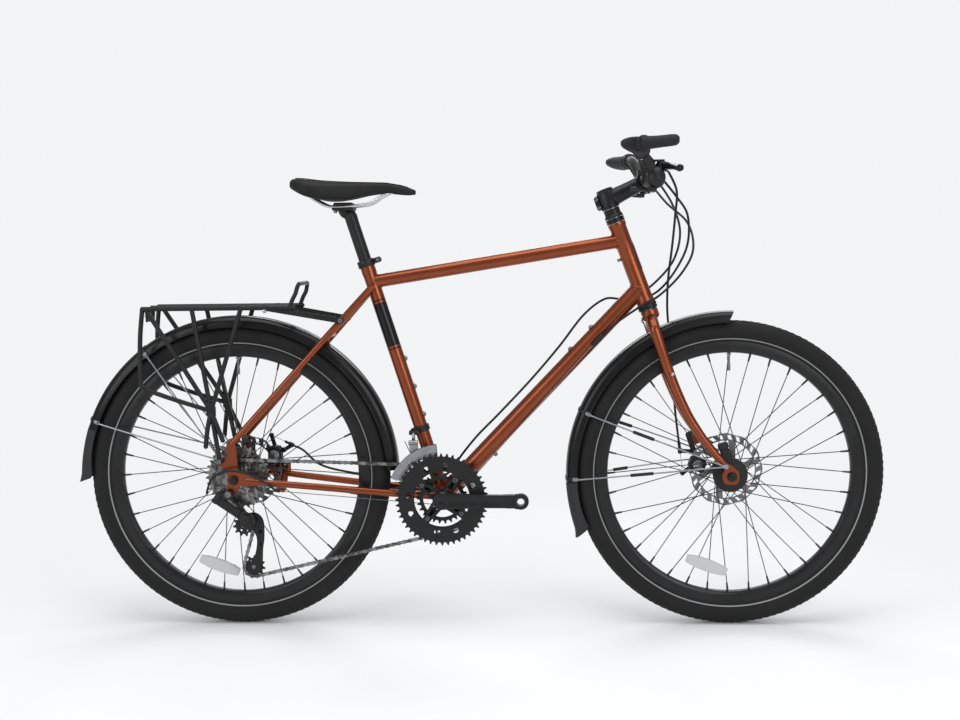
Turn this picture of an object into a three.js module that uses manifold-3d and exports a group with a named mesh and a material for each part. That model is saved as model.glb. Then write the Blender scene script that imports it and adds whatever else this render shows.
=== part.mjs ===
// A steel touring bicycle with 26 inch wheels, disc brakes, mudguards and a rear rack.
// X runs forward, Y to the rider's left and Z up, in millimetres. The rear axle lies above X = 0
// while the pieces are made, and the finished group is then moved to the middle of its footprint.
import * as THREE from 'three';
import { mergeVertices } from 'three/addons/utils/BufferGeometryUtils.js';
import Module from 'manifold-3d';

const wasm = await Module();
wasm.setup();

// Shared clearances
const gap = 0.3;
const overrun = 6;
const mergeDistance = 0.0001;
const facetTolerance = 0.02;

// Layout
const degree = Math.PI / 180;
const wheelbase = 1062;
const tyreRadius = 330;
const tyreWidth = 50;
const chainstayLength = 447.5;
const bottomBracketDrop = 47;
const headAngle = 69.8 * degree;
const seatAngle = 72.5 * degree;
const forkRake = 38.5;
const forkLength = 391;

// Frame tubes
const headTubeLength = 183;
const headTubeRadius = 18;
const headTubeBore = 16;
const lowerStackHeight = 14;
const upperStackHeight = 11;
const cupRadius = 21;
const upperCupRadius = 20;
const topTubeRadius = 14.5;
const topTubeDropAtHead = 40;
const topTubeDropAtSeat = 47;
const downTubeRadius = 18.5;
const downTubeRiseAtHead = 35;
const seatTubeLength = 536;
const seatTubeRadius = 15;
const seatTubeBoreDepth = 250;
const shellRadius = 20.5;
const shellWidth = 68;
const shellBore = 17.3;
const stayRadius = 8;
const stayEndRadius = 6.5;
const seatClusterDrop = 56;
const bridgeRadius = 6;
const bossRadius = 3.6;
const bossHeight = 4;
const bossSides = 4;

// Axles, hubs and wheels
const rearHubWidth = 135;
const frontHubWidth = 100;
const axleRadius = 4.9;
const axleNutRadius = 9;
const axleNutHeight = 7;
const dropoutThickness = 5;
const dropoutHeight = 76;
const rimInnerRadius = 259.2;
const rimFlangeRadius = 285.2;
const rimWidth = 24.6;
const rimWall = 2.3;
const rimWellDepth = 8.2;
const spokeRadius = 0.9;
const spokesPerFlange = 18;
const flangeThickness = 5.6;
const spokeOffset = 1.7;
const spokeHoleInset = 4;
const nippleOffset = 3;
const flangeRadius = 30;
const dynamoFlangeRadius = 37;
const rearFlangeRight = 23;
const rearFlangeLeft = 33;
const frontFlangeRight = 30;
const frontFlangeLeft = 22;
const rotorRadius = 80;
const rotorThickness = 1.8;
const rotorBore = 17.3;
const rotorTrackWidth = 15;
const rotorInset = 10.5;
const rearRotorInset = 15.6;

// Drive train
const chainPitch = 12.7;
const chainPlane = 47;
const chainInnerWidth = 3.6;
const chainWidth = 6.4;
const chainPlateHeight = 8.4;
const toothTip = 2.4;
const toothRoot = 3.8;
const toothThickness = 1.8;
const cogSpacing = 4.34;
const cassetteTeeth = [11, 13, 15, 17, 20, 23, 26, 30, 34];
const engagedCog = 4;
const outerTeeth = 48;
const middleTeeth = 36;
const innerTeeth = 26;
const ringSpacing = 7.4;
const ringThickness = 2;
const boltCircle = 104;
const innerBoltCircle = 64;
const ringBoltPad = 6;
const outerRingInnerRadius = 45;
const middleRingInnerRadius = 45;
const innerRingInnerRadius = 26;
const spiderThickness = 4.5;
const spiderAngles = [55, 144, 233, 324].map((angle) => angle * degree);
const crankLength = 170;
const crankWidth = 34;
const crankThickness = 13;
const crankEyeRadius = 18;
const crankOuterFace = 80;
const pedalHoleRadius = 7.1;
const spindleRadius = 8.5;
const cupLipWidth = 4;
const bracketCupRadius = 19.5;

// Derailleurs
const pulleyTeeth = 11;
const pulleyHubRadius = 7;
const pulleyHubWidth = 7;
const pulleyPinRadius = 2.5;
const cagePlateThickness = 1.5;
const cageInnerWidth = 10;
const hangerDrop = 29;
const hangerSetback = 10;
const pinBarrelRadius = 7;
const pinBarrelLength = 20;
const linkThickness = 10;
const frontPinRadius = 5;
const frontCageClearance = 4;
const frontCageHeight = 15;
const frontBandHeight = 154;

// Seat
const postRadius = 13.6;
const postLength = 262;
const postInsertion = 156;
const clampHeight = 15;
const clampWall = 3.4;
const railRadius = 3.5;
const railSpread = 22;
const saddleLength = 271;
const saddleWidth = 152;
const saddleDepth = 52;
const saddleRise = 63;
const saddleSetback = 113;
const headSetback = 12;
const headRise = 15.7;

// Steering and bar
const steererRadius = 14.3;
const bladeRadius = 12.3;
const bladeTipRadius = 8;
const forkEndThickness = 5.4;
const spacerHeight = 20.5;
const spacerRadius = 17.5;
const stemLength = 90;
const stemRise = 6 * degree;
const stemRadius = 15.5;
const stemClampHeight = 38;
const stemClampRadius = 19.5;
const barClampRadius = 21;
const barClampWidth = 44;
const capHeight = 6;
const barRadius = 11.1;
const barCentreRadius = 15.9;
const barHalfWidth = 298;
const barRise = 52;
const barSweep = 24;
const gripLength = 126;
const gripRadius = 15.5;
const gripWingDepth = 56;
const gripWingHeight = 20;
const hornLength = 70;
const hornRadius = 12;
const controlClampWidth = 14;
const controlClampRadius = 16;
const controlInset = 16;
const gripOverhang = 4;

// Mudguards, rack and wires
const mudguardClearance = 20;
const mudguardRadius = tyreRadius + mudguardClearance;
const mudguardWidth = 58;
const mudguardDepth = 24;
const mudguardWall = 1.5;
const flapLength = 118;
const stayWireRadius = 1.7;
const stayEyeRadius = 5;
const stayEyeWidth = 4;
const strapWidth = 12;
const rackTubeRadius = 5;
const rackRise = 18;
const rackLength = 322;
const rackBehindAxle = 189;
const rackHalfWidth = 60;
const rackFootSpread = 80;
const hoopHeight = 50;
const housingRadius = 2.5;
const wireRadius = 0.9;

// Faceting
const wheelSides = 30;
const turnedSides = 12;
const tubeSides = 10;
const barSides = 8;
const smallSides = 6;
const wireSides = 5;

// Reference places
const xyz = (x, y, z) => new THREE.Vector3(x, y, z);
const rearAxle = xyz(0, 0, tyreRadius);
const frontAxle = xyz(wheelbase, 0, tyreRadius);
const crankAhead = Math.sqrt(chainstayLength ** 2 - bottomBracketDrop ** 2);
const crankAxis = xyz(crankAhead, 0, tyreRadius - bottomBracketDrop);
const steerUp = xyz(-Math.cos(headAngle), 0, Math.sin(headAngle));
const steerForward = xyz(Math.sin(headAngle), 0, Math.cos(headAngle));
const steerFoot = frontAxle.clone().addScaledVector(steerForward, -forkRake);
const seatUp = xyz(-Math.cos(seatAngle), 0, Math.sin(seatAngle));
const seatForward = xyz(Math.sin(seatAngle), 0, Math.cos(seatAngle));
const sideways = xyz(0, 1, 0);

// A point beside the steering axis: height along it, distance forward of it, and to the left
function onSteer(height, forward = 0, left = 0) {
  const place = steerFoot.clone().addScaledVector(steerUp, height);
  return place.addScaledVector(steerForward, forward).add(xyz(0, left, 0));
}

// A point beside the seat tube's axis, in the same terms, measured from the crank axis
function onSeat(height, forward = 0, left = 0) {
  const place = crankAxis.clone().addScaledVector(seatUp, height);
  return place.addScaledVector(seatForward, forward).add(xyz(0, left, 0));
}

// A point near a centre, moved forward, left and up
const beside = (centre, forward, left, up) => centre.clone().add(xyz(forward, left, up));

const headTubeFoot = forkLength + lowerStackHeight + 2 * gap;
const headTubeTop = headTubeFoot + headTubeLength;
const stemFoot = headTubeTop + upperStackHeight + spacerHeight + 3 * gap;
const stemCentre = stemFoot + stemClampHeight / 2;
const stemTop = stemFoot + stemClampHeight;
const stemDirection = steerForward.clone().applyAxisAngle(sideways, -stemRise);
const barCentre = onSteer(stemCentre).addScaledVector(stemDirection, stemLength);
const controlOffset = barHalfWidth + gripOverhang - gripLength - controlInset;
const topTubeSeatHeight = seatTubeLength - topTubeDropAtSeat;
const seatClusterHeight = seatTubeLength - seatClusterDrop;
const postTop = seatTubeLength - postInsertion + postLength;
const seatClampCentre = beside(onSeat(postTop), -headSetback, 0, headRise);
const rackRear = rearAxle.x - rackBehindAxle;
const rackHeight = rearAxle.z + mudguardRadius + rackRise;
const saddleRear = seatClampCentre.x - saddleSetback;
const saddleTopHeight = seatClampCentre.z + saddleRise;

const cogRadius = (teeth) => chainPitch / (2 * Math.sin(Math.PI / teeth));
const dropoutFace = rearHubWidth / 2;
const forkFace = frontHubWidth / 2;

// The radius of a faceted bore that a shaft turns in: its flats, not its corners, keep the clearance
const runningBore = (radius, sides = turnedSides) => (radius + gap) / Math.cos(Math.PI / sides);

// Solids and booleans

function solidOf(geometry) {
  const bare = geometry.clone();
  bare.deleteAttribute('normal');
  bare.deleteAttribute('uv');
  const merged = mergeVertices(bare, mergeDistance);
  const vertProperties = merged.attributes.position.array;
  const triVerts = new Uint32Array(merged.index.array);
  const made = new wasm.Manifold(new wasm.Mesh({ numProp: 3, vertProperties, triVerts }));
  if (made.volume() > 0) return made;
  for (let i = 0; i < triVerts.length; i += 3) {
    [triVerts[i + 1], triVerts[i + 2]] = [triVerts[i + 2], triVerts[i + 1]];
  }
  return new wasm.Manifold(new wasm.Mesh({ numProp: 3, vertProperties, triVerts }));
}

function geometryOf(made) {
  const mesh = made.getMesh();
  const geometry = new THREE.BufferGeometry();
  geometry.setAttribute('position', new THREE.BufferAttribute(new Float32Array(mesh.vertProperties), 3));
  geometry.setIndex(Array.from(mesh.triVerts));
  return geometry;
}

const solidsOf = (pieces) => pieces.flat().map(solidOf);

const join = (...pieces) => geometryOf(solidsOf(pieces).reduce((whole, piece) => whole.add(piece)));

const cut = (piece, ...tools) =>
  geometryOf(solidsOf(tools).reduce((rest, tool) => rest.subtract(tool), solidOf(piece)));

const common = (piece, other) => geometryOf(solidOf(piece).intersect(solidOf(other)));

const mirror = (point) => xyz(point.x, -point.y, point.z);

// The same piece on the other side of the bicycle
const mirrored = (piece) => geometryOf(solidOf(piece.clone().scale(1, -1, 1)));

const bothSides = (piece) => [piece, mirrored(piece)];

// Basic forms

// A straight round bar between two points, tapered where the end radius differs
function rod(from, to, radius, sides = smallSides, endRadius = radius) {
  const along = to.clone().sub(from);
  const turn = new THREE.Quaternion().setFromUnitVectors(sideways, along.clone().normalize());
  const middle = from.clone().add(to).multiplyScalar(0.5);
  return new THREE.CylinderGeometry(endRadius, radius, along.length(), sides, 1)
    .applyQuaternion(turn)
    .translate(middle.x, middle.y, middle.z);
}

// A round bar along Y through a point in the bicycle's plane
const crossBar = (centre, from, to, radius, sides = turnedSides) =>
  rod(beside(centre, 0, from, 0), beside(centre, 0, to, 0), radius, sides);

// A block whose length lies along one direction and whose width is sideways
function block(centre, direction, length, width, height) {
  const along = direction.clone().normalize();
  const across = xyz(0, 1, 0).addScaledVector(along, -along.y).normalize();
  const up = along.clone().cross(across);
  const turn = new THREE.Matrix4().makeBasis(along, across, up).setPosition(centre);
  return new THREE.BoxGeometry(length, width, height).applyMatrix4(turn);
}

// A block that runs from one point to another
function bar(from, to, width, height) {
  const along = to.clone().sub(from);
  return block(from.clone().add(to).multiplyScalar(0.5), along, along.length(), width, height);
}

function ball(centre, radiusX, radiusY, radiusZ, sides = 10, rows = 6) {
  return new THREE.SphereGeometry(1, sides, rows)
    .scale(radiusX, radiusY, radiusZ)
    .translate(centre.x, centre.y, centre.z);
}

// A ring turned about Y from a closed profile of [radius, place along Y]
function turned(profile, centre, sides = turnedSides) {
  const points = [...profile, profile[0]].map(([radius, along]) => new THREE.Vector2(radius, along));
  return new THREE.LatheGeometry(points, sides).translate(centre.x, centre.y, centre.z);
}

// A ring about a slanted axis: inner and outer radius, from one height to another
function collar(place, from, to, inner, outer, sides = turnedSides) {
  const around = rod(place(from), place(to), outer, sides);
  const bore = rod(place(from - overrun), place(to + overrun), inner, sides);
  return cut(around, bore);
}

// A flat plate in the bicycle's plane: its outline in X and Z, its middle along Y
function plate(outline, middle, thickness, holes = []) {
  const shape = new THREE.Shape(outline.map(([x, z]) => new THREE.Vector2(x, z)));
  shape.holes = holes.map((hole) => new THREE.Path(hole.map(([x, z]) => new THREE.Vector2(x, z))));
  return new THREE.ExtrudeGeometry(shape, { depth: thickness, bevelEnabled: false })
    .translate(0, 0, -thickness / 2)
    .rotateX(Math.PI / 2)
    .translate(0, middle, 0);
}

function circle(centre, radius, sides, start = 0) {
  return Array.from({ length: sides }, (_, i) => {
    const angle = start + (i * 2 * Math.PI) / sides;
    return [centre.x + radius * Math.cos(angle), centre.z + radius * Math.sin(angle)];
  });
}

// A place on a circle in the bicycle's plane
const polar = (centre, radius, angle, left = 0) =>
  beside(centre, radius * Math.cos(angle), left, radius * Math.sin(angle));

// A tube of even thickness along a smooth route
function tube(points, radius, steps, sides = wireSides) {
  const ring = Array.from({ length: sides }, (_, i) => {
    const angle = (i * 2 * Math.PI) / sides;
    return new THREE.Vector2(radius * Math.cos(angle), radius * Math.sin(angle));
  });
  const extrudePath = new THREE.CatmullRomCurve3(points, false, 'centripetal');
  return new THREE.ExtrudeGeometry(new THREE.Shape(ring), { steps, extrudePath, bevelEnabled: false });
}

// A skin over a row of closed rings, with a flat cap on each end
function loft(rings) {
  const count = rings[0].length;
  const last = (rings.length - 1) * count;
  const faces = [];
  for (let start = 0; start < last; start += count) {
    for (let i = 0; i < count; i += 1) {
      const j = (i + 1) % count;
      faces.push(start + i, start + j, start + count + j, start + i, start + count + j, start + count + i);
    }
  }
  for (let i = 1; i < count - 1; i += 1) {
    faces.push(0, i + 1, i, last, last + i, last + i + 1);
  }
  const geometry = new THREE.BufferGeometry();
  const places = rings.flat().flatMap((point) => [point.x, point.y, point.z]);
  geometry.setAttribute('position', new THREE.Float32BufferAttribute(places, 3));
  geometry.setIndex(faces);
  return geometry;
}

// A tube that tapers: a ring at each point, square to the route there
function taperedTube(points, radii, sides = tubeSides) {
  let across = sideways.clone();
  const rings = points.map((point, i) => {
    const before = points[Math.max(i - 1, 0)];
    const after = points[Math.min(i + 1, points.length - 1)];
    const along = after.clone().sub(before).normalize();
    across = across.clone().addScaledVector(along, -along.dot(across)).normalize();
    const up = along.clone().cross(across);
    return Array.from({ length: sides }, (_, k) => {
      const angle = (k * 2 * Math.PI) / sides;
      return point
        .clone()
        .addScaledVector(across, radii[i] * Math.cos(angle))
        .addScaledVector(up, radii[i] * Math.sin(angle));
    });
  });
  return loft(rings);
}

// The outline of a sprocket about a centre, one point per root and one per tip
function toothedOutline(centre, teeth) {
  const pitchRadius = cogRadius(teeth);
  return Array.from({ length: 2 * teeth }, (_, i) => {
    const angle = (i * Math.PI) / teeth;
    const radius = i % 2 ? pitchRadius + toothTip : pitchRadius - toothRoot;
    return [centre.x + radius * Math.cos(angle), centre.z + radius * Math.sin(angle)];
  });
}

// Finishes, as seen in the photograph

const finish = (color, roughness, metalness) =>
  new THREE.MeshStandardMaterial({ color, roughness, metalness });
const copperPaint = () => finish(0x8a3a1a, 0.32, 0.55);
const satinBlack = () => finish(0x1c1c1f, 0.45, 0.3);
const glossBlack = () => finish(0x0d0d0f, 0.18, 0.1);
const rubberBlack = () => finish(0x17181a, 0.85, 0);
const tyreBlack = () => finish(0x1b1b1d, 0.9, 0);
const brightSteel = () => finish(0xb9bcc0, 0.25, 1);
const darkSteel = () => finish(0x4e4f52, 0.4, 0.9);
const castGrey = () => finish(0x8c9096, 0.4, 0.8);

const bicycle = new THREE.Group();

function add(name, geometry, material) {
  const mesh = new THREE.Mesh(geometryOf(solidOf(geometry).simplify(facetTolerance)), material);
  mesh.name = name;
  bicycle.add(mesh);
}

// Wheels

const tyreHeight = tyreRadius - rimFlangeRadius;
const tyreSideShares = [
  [0.03, 0.48],
  [0.42, 1],
  [0.82, 0.76],
];

function tyre(axle) {
  const bead = [rimFlangeRadius - rimWellDepth + gap, rimWidth / 2 - rimWall - 3 * gap];
  const side = tyreSideShares.map(([up, out]) => [rimFlangeRadius + up * tyreHeight, (out * tyreWidth) / 2]);
  const right = [bead, ...side].map(([radius, along]) => [radius, -along]);
  const left = [bead, ...side].reverse();
  return turned([...right, [tyreRadius, 0], ...left], axle, wheelSides);
}

const rimCrownShare = 0.66;

function rim(axle) {
  const half = rimWidth / 2;
  const side = [
    [rimInnerRadius, half * rimCrownShare],
    [rimFlangeRadius, half],
    [rimFlangeRadius - rimWellDepth, half - rimWall],
  ];
  const right = side.map(([radius, along]) => [radius, -along]);
  return turned([...right, ...side.reverse()], axle, wheelSides);
}

// Spokes leave each flange in pairs that cross three others on the way to the rim
const crossAngle = 60 * degree;
const rimInnerFlat = rimInnerRadius * Math.cos(Math.PI / wheelSides);

function spokes(axle, places) {
  const spacing = (2 * Math.PI) / spokesPerFlange;
  return places.flatMap(([along, radius], side) =>
    Array.from({ length: spokesPerFlange }, (_, i) => {
      const hubAngle = (i + side / 2) * spacing;
      const lead = i % 2 ? -1 : 1;
      const hub = polar(axle, radius - spokeHoleInset, hubAngle, along + lead * spokeOffset);
      const rimAngle = hubAngle + lead * crossAngle;
      const nipple = polar(axle, rimInnerFlat - gap, rimAngle, Math.sign(along) * nippleOffset);
      return rod(hub, nipple, spokeRadius, 3);
    }),
  );
}

const hubBore = axleRadius + gap;
const barrelRadius = 15;
const capRadius = 9;
const rotorSpigot = rotorBore - gap;
const freehubRadius = 14.9;
const cassetteBore = runningBore(freehubRadius);
const innermostCog = chainPlane - (cassetteTeeth.length - 1 - engagedCog) * cogSpacing;
const outermostCog = chainPlane + engagedCog * cogSpacing;
const lockringFace = outermostCog + toothThickness;

// The place along Y of the face of a rotor that is nearer the middle
const rearRotorFace = dropoutFace - rearRotorInset - rotorThickness / 2;
const frontRotorFace = forkFace - rotorInset - rotorThickness / 2;
const rotorBossRadius = 22;

// Each flange has one flat for every spoke, turned so that each pair of spokes leaves through one flat
function flanges(axle, places) {
  return places.map(([along, radius], side) =>
    plate(circle(axle, radius, spokesPerFlange, (side * Math.PI) / spokesPerFlange), along, flangeThickness),
  );
}

function leftEnd(face, end) {
  return [
    [rotorBossRadius, face - gap],
    [rotorSpigot, face - gap],
    [rotorSpigot, face + rotorThickness + gap],
    [capRadius, face + rotorThickness + gap],
    [capRadius, end - gap],
    [hubBore, end - gap],
  ];
}

function rearHub() {
  const shell = turned(
    [
      [hubBore, -dropoutFace + gap],
      [capRadius, -dropoutFace + gap],
      [capRadius, -lockringFace],
      [freehubRadius, -lockringFace],
      [freehubRadius, rearFlangeLeft],
      [rotorBossRadius, rearFlangeLeft + 2 * flangeThickness],
      ...leftEnd(rearRotorFace, dropoutFace),
    ],
    rearAxle,
  );
  const places = [[-rearFlangeRight, flangeRadius], [rearFlangeLeft, flangeRadius]];
  return cut(join(shell, flanges(rearAxle, places), spokes(rearAxle, places)), axleBore(rearAxle));
}

const axleBore = (axle) => crossBar(axle, -rearHubWidth, rearHubWidth, hubBore);

const dynamoRadius = 31;
const plugWidth = 12;
const dynamoFace = forkFace - plugWidth - gap;
const dynamoHubRadius = 14;

function frontHub() {
  const shell = turned(
    [
      [hubBore, -dynamoFace],
      [dynamoHubRadius, -dynamoFace],
      [dynamoRadius, -frontFlangeRight],
      [dynamoRadius, 0],
      [barrelRadius, frontFlangeLeft],
      [rotorBossRadius, frontFlangeLeft + flangeThickness],
      ...leftEnd(frontRotorFace, forkFace),
    ],
    frontAxle,
  );
  const places = [[-frontFlangeRight, dynamoFlangeRadius], [frontFlangeLeft, flangeRadius]];
  return cut(join(shell, flanges(frontAxle, places), spokes(frontAxle, places)), axleBore(frontAxle));
}

const rotorWaves = 12;
const rotorWaveDepth = 3;
const rotorHubRadius = 29;
const rotorArms = 6;
const rotorArmShare = 0.24;
const rotorLean = 18 * degree;

function rotor(axle, face) {
  const outline = Array.from({ length: 2 * rotorWaves }, (_, i) => {
    const place = polar(axle, rotorRadius - (i % 2) * rotorWaveDepth, (i * Math.PI) / rotorWaves);
    return [place.x, place.z];
  });
  const armSpacing = (2 * Math.PI) / rotorArms;
  const windows = Array.from({ length: rotorArms }, (_, i) => {
    const start = (i + rotorArmShare / 2) * armSpacing;
    const end = (i + 1 - rotorArmShare / 2) * armSpacing;
    const outerRadius = rotorRadius - rotorTrackWidth;
    const middle = (start + end) / 2;
    return [
      polar(axle, rotorHubRadius, middle),
      polar(axle, outerRadius, start + rotorLean),
      polar(axle, outerRadius, middle + rotorLean),
      polar(axle, outerRadius, end + rotorLean),
    ].map((place) => [place.x, place.z]);
  });
  const bore = circle(axle, rotorBore, turnedSides);
  return plate(outline, face + rotorThickness / 2, rotorThickness, [bore, ...windows]);
}

function axleWithNuts(axle, outer) {
  return join(
    crossBar(axle, -outer - axleNutHeight, outer + axleNutHeight, axleRadius),
    crossBar(axle, -outer - axleNutHeight, -outer, axleNutRadius, 6),
    crossBar(axle, outer, outer + axleNutHeight, axleNutRadius, 6),
  );
}

// The generator's fixed terminal sits between the hub and the right fork end, with its plug standing up
const plugHeight = 72;
const plugLean = 105 * degree;
const plugThickness = 6;
const plugDepth = 20;

function frontAxleWithPlug() {
  const middle = -dynamoFace - gap - plugThickness / 2;
  const ring = crossBar(frontAxle, -forkFace + gap, -dynamoFace - gap, dynamoHubRadius);
  const plugTop = polar(frontAxle, plugHeight, plugLean, middle);
  const stalk = bar(beside(frontAxle, 0, middle, 0), plugTop, plugThickness, plugDepth);
  return join(axleWithNuts(frontAxle, forkFace + forkEndThickness + gap), ring, stalk);
}

// Frame

function headTube() {
  return rod(onSteer(headTubeFoot), onSteer(headTubeTop), headTubeRadius, turnedSides);
}

const downTubeTop = () => onSteer(headTubeFoot + downTubeRiseAtHead);
const topTubeFront = () => onSteer(headTubeTop - topTubeDropAtHead);

const chainstayShares = [
  [0.02, 0.29],
  [0.13, 0.41],
  [0.235, 0.55],
  [0.33, 0.62],
  [0.62, 0.79],
  [0.8, 0.92],
  [0.94, 1],
];
const seatstayShares = [
  [0, 0.2],
  [0.12, 0.38],
  [0.31, 0.63],
  [0.6, 0.8],
  [1, 1],
];

// A stay runs from one point to another in the bicycle's plane and spreads sideways by its shares
function stay(from, to, spread, shares) {
  const points = shares.map(([along, out]) => beside(from.clone().lerp(to, along), 0, -out * spread, 0));
  const radii = shares.map(([along]) => (along > stayNarrowShare ? stayEndRadius : stayRadius));
  return taperedTube(points, radii, smallSides);
}

const stayInset = 1;
const stayEndShare = -0.0625;
const stayNarrowShare = 0.9;
const staySpread = dropoutFace + dropoutThickness / 2 - stayInset;
const seatstayEnd = beside(rearAxle, stayEndShare * dropoutHeight, 0, dropoutHeight);

function chainstay() {
  return stay(crankAxis, rearAxle, staySpread, chainstayShares);
}

function seatstay() {
  return stay(onSeat(seatClusterHeight), seatstayEnd, staySpread, seatstayShares);
}

// Outlines in shares of the height from the axle to the seatstay, going round from the top
const dropoutShares = [
  [-0.17, 1.04],
  [0.06, 1.04],
  [0.12, 0.53],
  [0.18, 0.24],
  [0.6, 0.1],
  [0.6, -0.16],
  [0.21, -0.17],
  [0.11, -0.26],
  [-0.08, -0.5],
  [-0.22, -0.5],
  [-0.26, -0.32],
  [-0.18, -0.1],
  [-0.2, 0.22],
  [-0.44, 0.46],
  [-0.44, 0.64],
  [-0.19, 0.66],
];
const leftDropoutShares = [
  [-0.17, 1.04],
  [0.06, 1.04],
  [0.14, 0.53],
  [0.24, 0.26],
  [1.1, 0.12],
  [1.1, -0.64],
  [0.86, -0.64],
  [0.7, -0.18],
  [0.11, -0.26],
  [-0.16, -0.24],
  [-0.18, -0.1],
  [-0.2, 0.22],
  [-0.44, 0.46],
  [-0.44, 0.64],
  [-0.19, 0.66],
];
const rackEyeletShares = [-0.35, 0.55];
const rackEyelet = beside(
  rearAxle,
  rackEyeletShares[0] * dropoutHeight,
  0,
  rackEyeletShares[1] * dropoutHeight,
);

function dropout(side, shares) {
  const outline = shares.map(([x, z]) => [rearAxle.x + x * dropoutHeight, rearAxle.z + z * dropoutHeight]);
  const middle = side * (dropoutFace + dropoutThickness / 2);
  const slotWidth = 2 * hubBore;
  const below = beside(rearAxle, 0, middle, -dropoutHeight / 2);
  const slot = block(below, xyz(1, 0, 0), slotWidth, dropoutHeight, dropoutHeight);
  const seat = crossBar(rearAxle, middle - dropoutThickness, middle + dropoutThickness, hubBore);
  return cut(plate(outline, middle, dropoutThickness), slot, seat);
}

const seatBridgeShare = 0.31;
const seatBridgeWidthShare = 0.6;
const chainBridgeShare = 0.155;
const chainBridgeWidthShare = 0.45;

function bridge(place, halfWidth) {
  return crossBar(place, -halfWidth, halfWidth, bridgeRadius, smallSides);
}

const seatBridge = () => onSeat(seatClusterHeight).lerp(seatstayEnd, seatBridgeShare);
const chainBridge = () => crankAxis.clone().lerp(rearAxle, chainBridgeShare);

// Threaded bosses stand on the tubes for bottle cages, cable clips and the pump
const seatBossHeights = [182, 246, 310];
const downBossLengths = [422, 486];
const underBossLength = 144;
const pumpPegRise = 106.5;

function bosses() {
  const downDirection = downTubeTop().sub(crankAxis).normalize();
  const downNormal = xyz(-downDirection.z, 0, downDirection.x);
  const onDown = (length, out) =>
    crankAxis.clone().addScaledVector(downDirection, length).addScaledVector(downNormal, out);
  const boss = (foot, top) => rod(foot, top, bossRadius, bossSides);
  const onSeatFront = seatBossHeights.map((height) =>
    boss(onSeat(height, seatTubeRadius / 2), onSeat(height, seatTubeRadius + bossHeight)),
  );
  const onDownTop = downBossLengths.map((length) =>
    boss(onDown(length, downTubeRadius / 2), onDown(length, downTubeRadius + bossHeight)),
  );
  const underDown = boss(
    onDown(underBossLength, -downTubeRadius / 2),
    onDown(underBossLength, -downTubeRadius - 2 * bossHeight),
  );
  const pumpPeg = boss(
    onSteer(headTubeFoot + pumpPegRise, -headTubeBore - gap),
    onSteer(headTubeFoot + pumpPegRise, -headTubeRadius - 2 * bossHeight),
  );
  return [...onSeatFront, ...onDownTop, underDown, pumpPeg];
}

// Two posts on the left chainstay carry the rear brake
const brakePostPlaces = [58, 92];
const brakePostRise = 12;
const brakePostLength = 16;
const brakePostY = 62;
const brakePostRadius = 6;

function brakePosts() {
  return brakePostPlaces.map((ahead) => {
    const top = beside(rearAxle, ahead, brakePostY, brakePostRise);
    return rod(beside(top, 0, 0, -brakePostLength), top, brakePostRadius);
  });
}

// The rack's front struts bolt to a boss on each seatstay
const rackBossShare = 0.215;
const rackBossY = 40;
const rackBossLength = 10;

const rackBoss = () => onSeat(seatClusterHeight).lerp(seatstayEnd, rackBossShare);

function frame() {
  const mainTubes = [
    headTube(),
    rod(onSeat(0), onSeat(seatTubeLength), seatTubeRadius, turnedSides),
    rod(onSeat(topTubeSeatHeight), topTubeFront(), topTubeRadius, tubeSides),
    rod(crankAxis, downTubeTop(), downTubeRadius, tubeSides),
    crossBar(crankAxis, -shellWidth / 2, shellWidth / 2, shellRadius),
  ];
  const rackBossBar = crossBar(
    rackBoss(),
    -rackBossY - rackBossLength,
    -rackBossY + rackBossLength,
    bossRadius,
    wireSides,
  );
  const rearTriangle = [
    ...bothSides(chainstay()),
    ...bothSides(seatstay()),
    dropout(-1, dropoutShares),
    dropout(1, leftDropoutShares),
    bridge(seatBridge(), staySpread * seatBridgeWidthShare),
    bridge(chainBridge(), staySpread * chainBridgeWidthShare),
    ...bothSides(rackBossBar),
  ];
  const postBoreFoot = onSeat(seatTubeLength - seatTubeBoreDepth);
  const bores = [
    rod(onSteer(headTubeFoot - overrun), onSteer(headTubeTop + overrun), headTubeBore, turnedSides),
    crossBar(crankAxis, -shellWidth, shellWidth, shellBore),
    rod(postBoreFoot, onSeat(seatTubeLength + overrun), postRadius + gap, turnedSides),
  ];
  return cut(join(mainTubes, rearTriangle, bosses(), brakePosts()), bores);
}

function lowerCup() {
  return collar(onSteer, forkLength + gap, headTubeFoot - gap, runningBore(steererRadius), cupRadius);
}

function upperCup() {
  const bore = runningBore(steererRadius);
  return collar(onSteer, headTubeTop + gap, headTubeTop + upperStackHeight, bore, upperCupRadius);
}

function bottomBracket() {
  const lip = shellWidth / 2 + gap;
  const end = lip + cupLipWidth;
  return turned(
    [
      [spindleRadius + gap, -end],
      [bracketCupRadius, -end],
      [bracketCupRadius, -lip],
      [shellBore - gap, -lip],
      [shellBore - gap, lip],
      [bracketCupRadius, lip],
      [bracketCupRadius, end],
      [spindleRadius + gap, end],
    ],
    crankAxis,
  );
}

// The collar's bolt lug points forward, split by a narrow slot
const clampLugLength = 16;
const clampLugWidth = 16;
const clampLugHeight = 12;
const clampSlot = 3;
const clampRise = 2;

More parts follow.
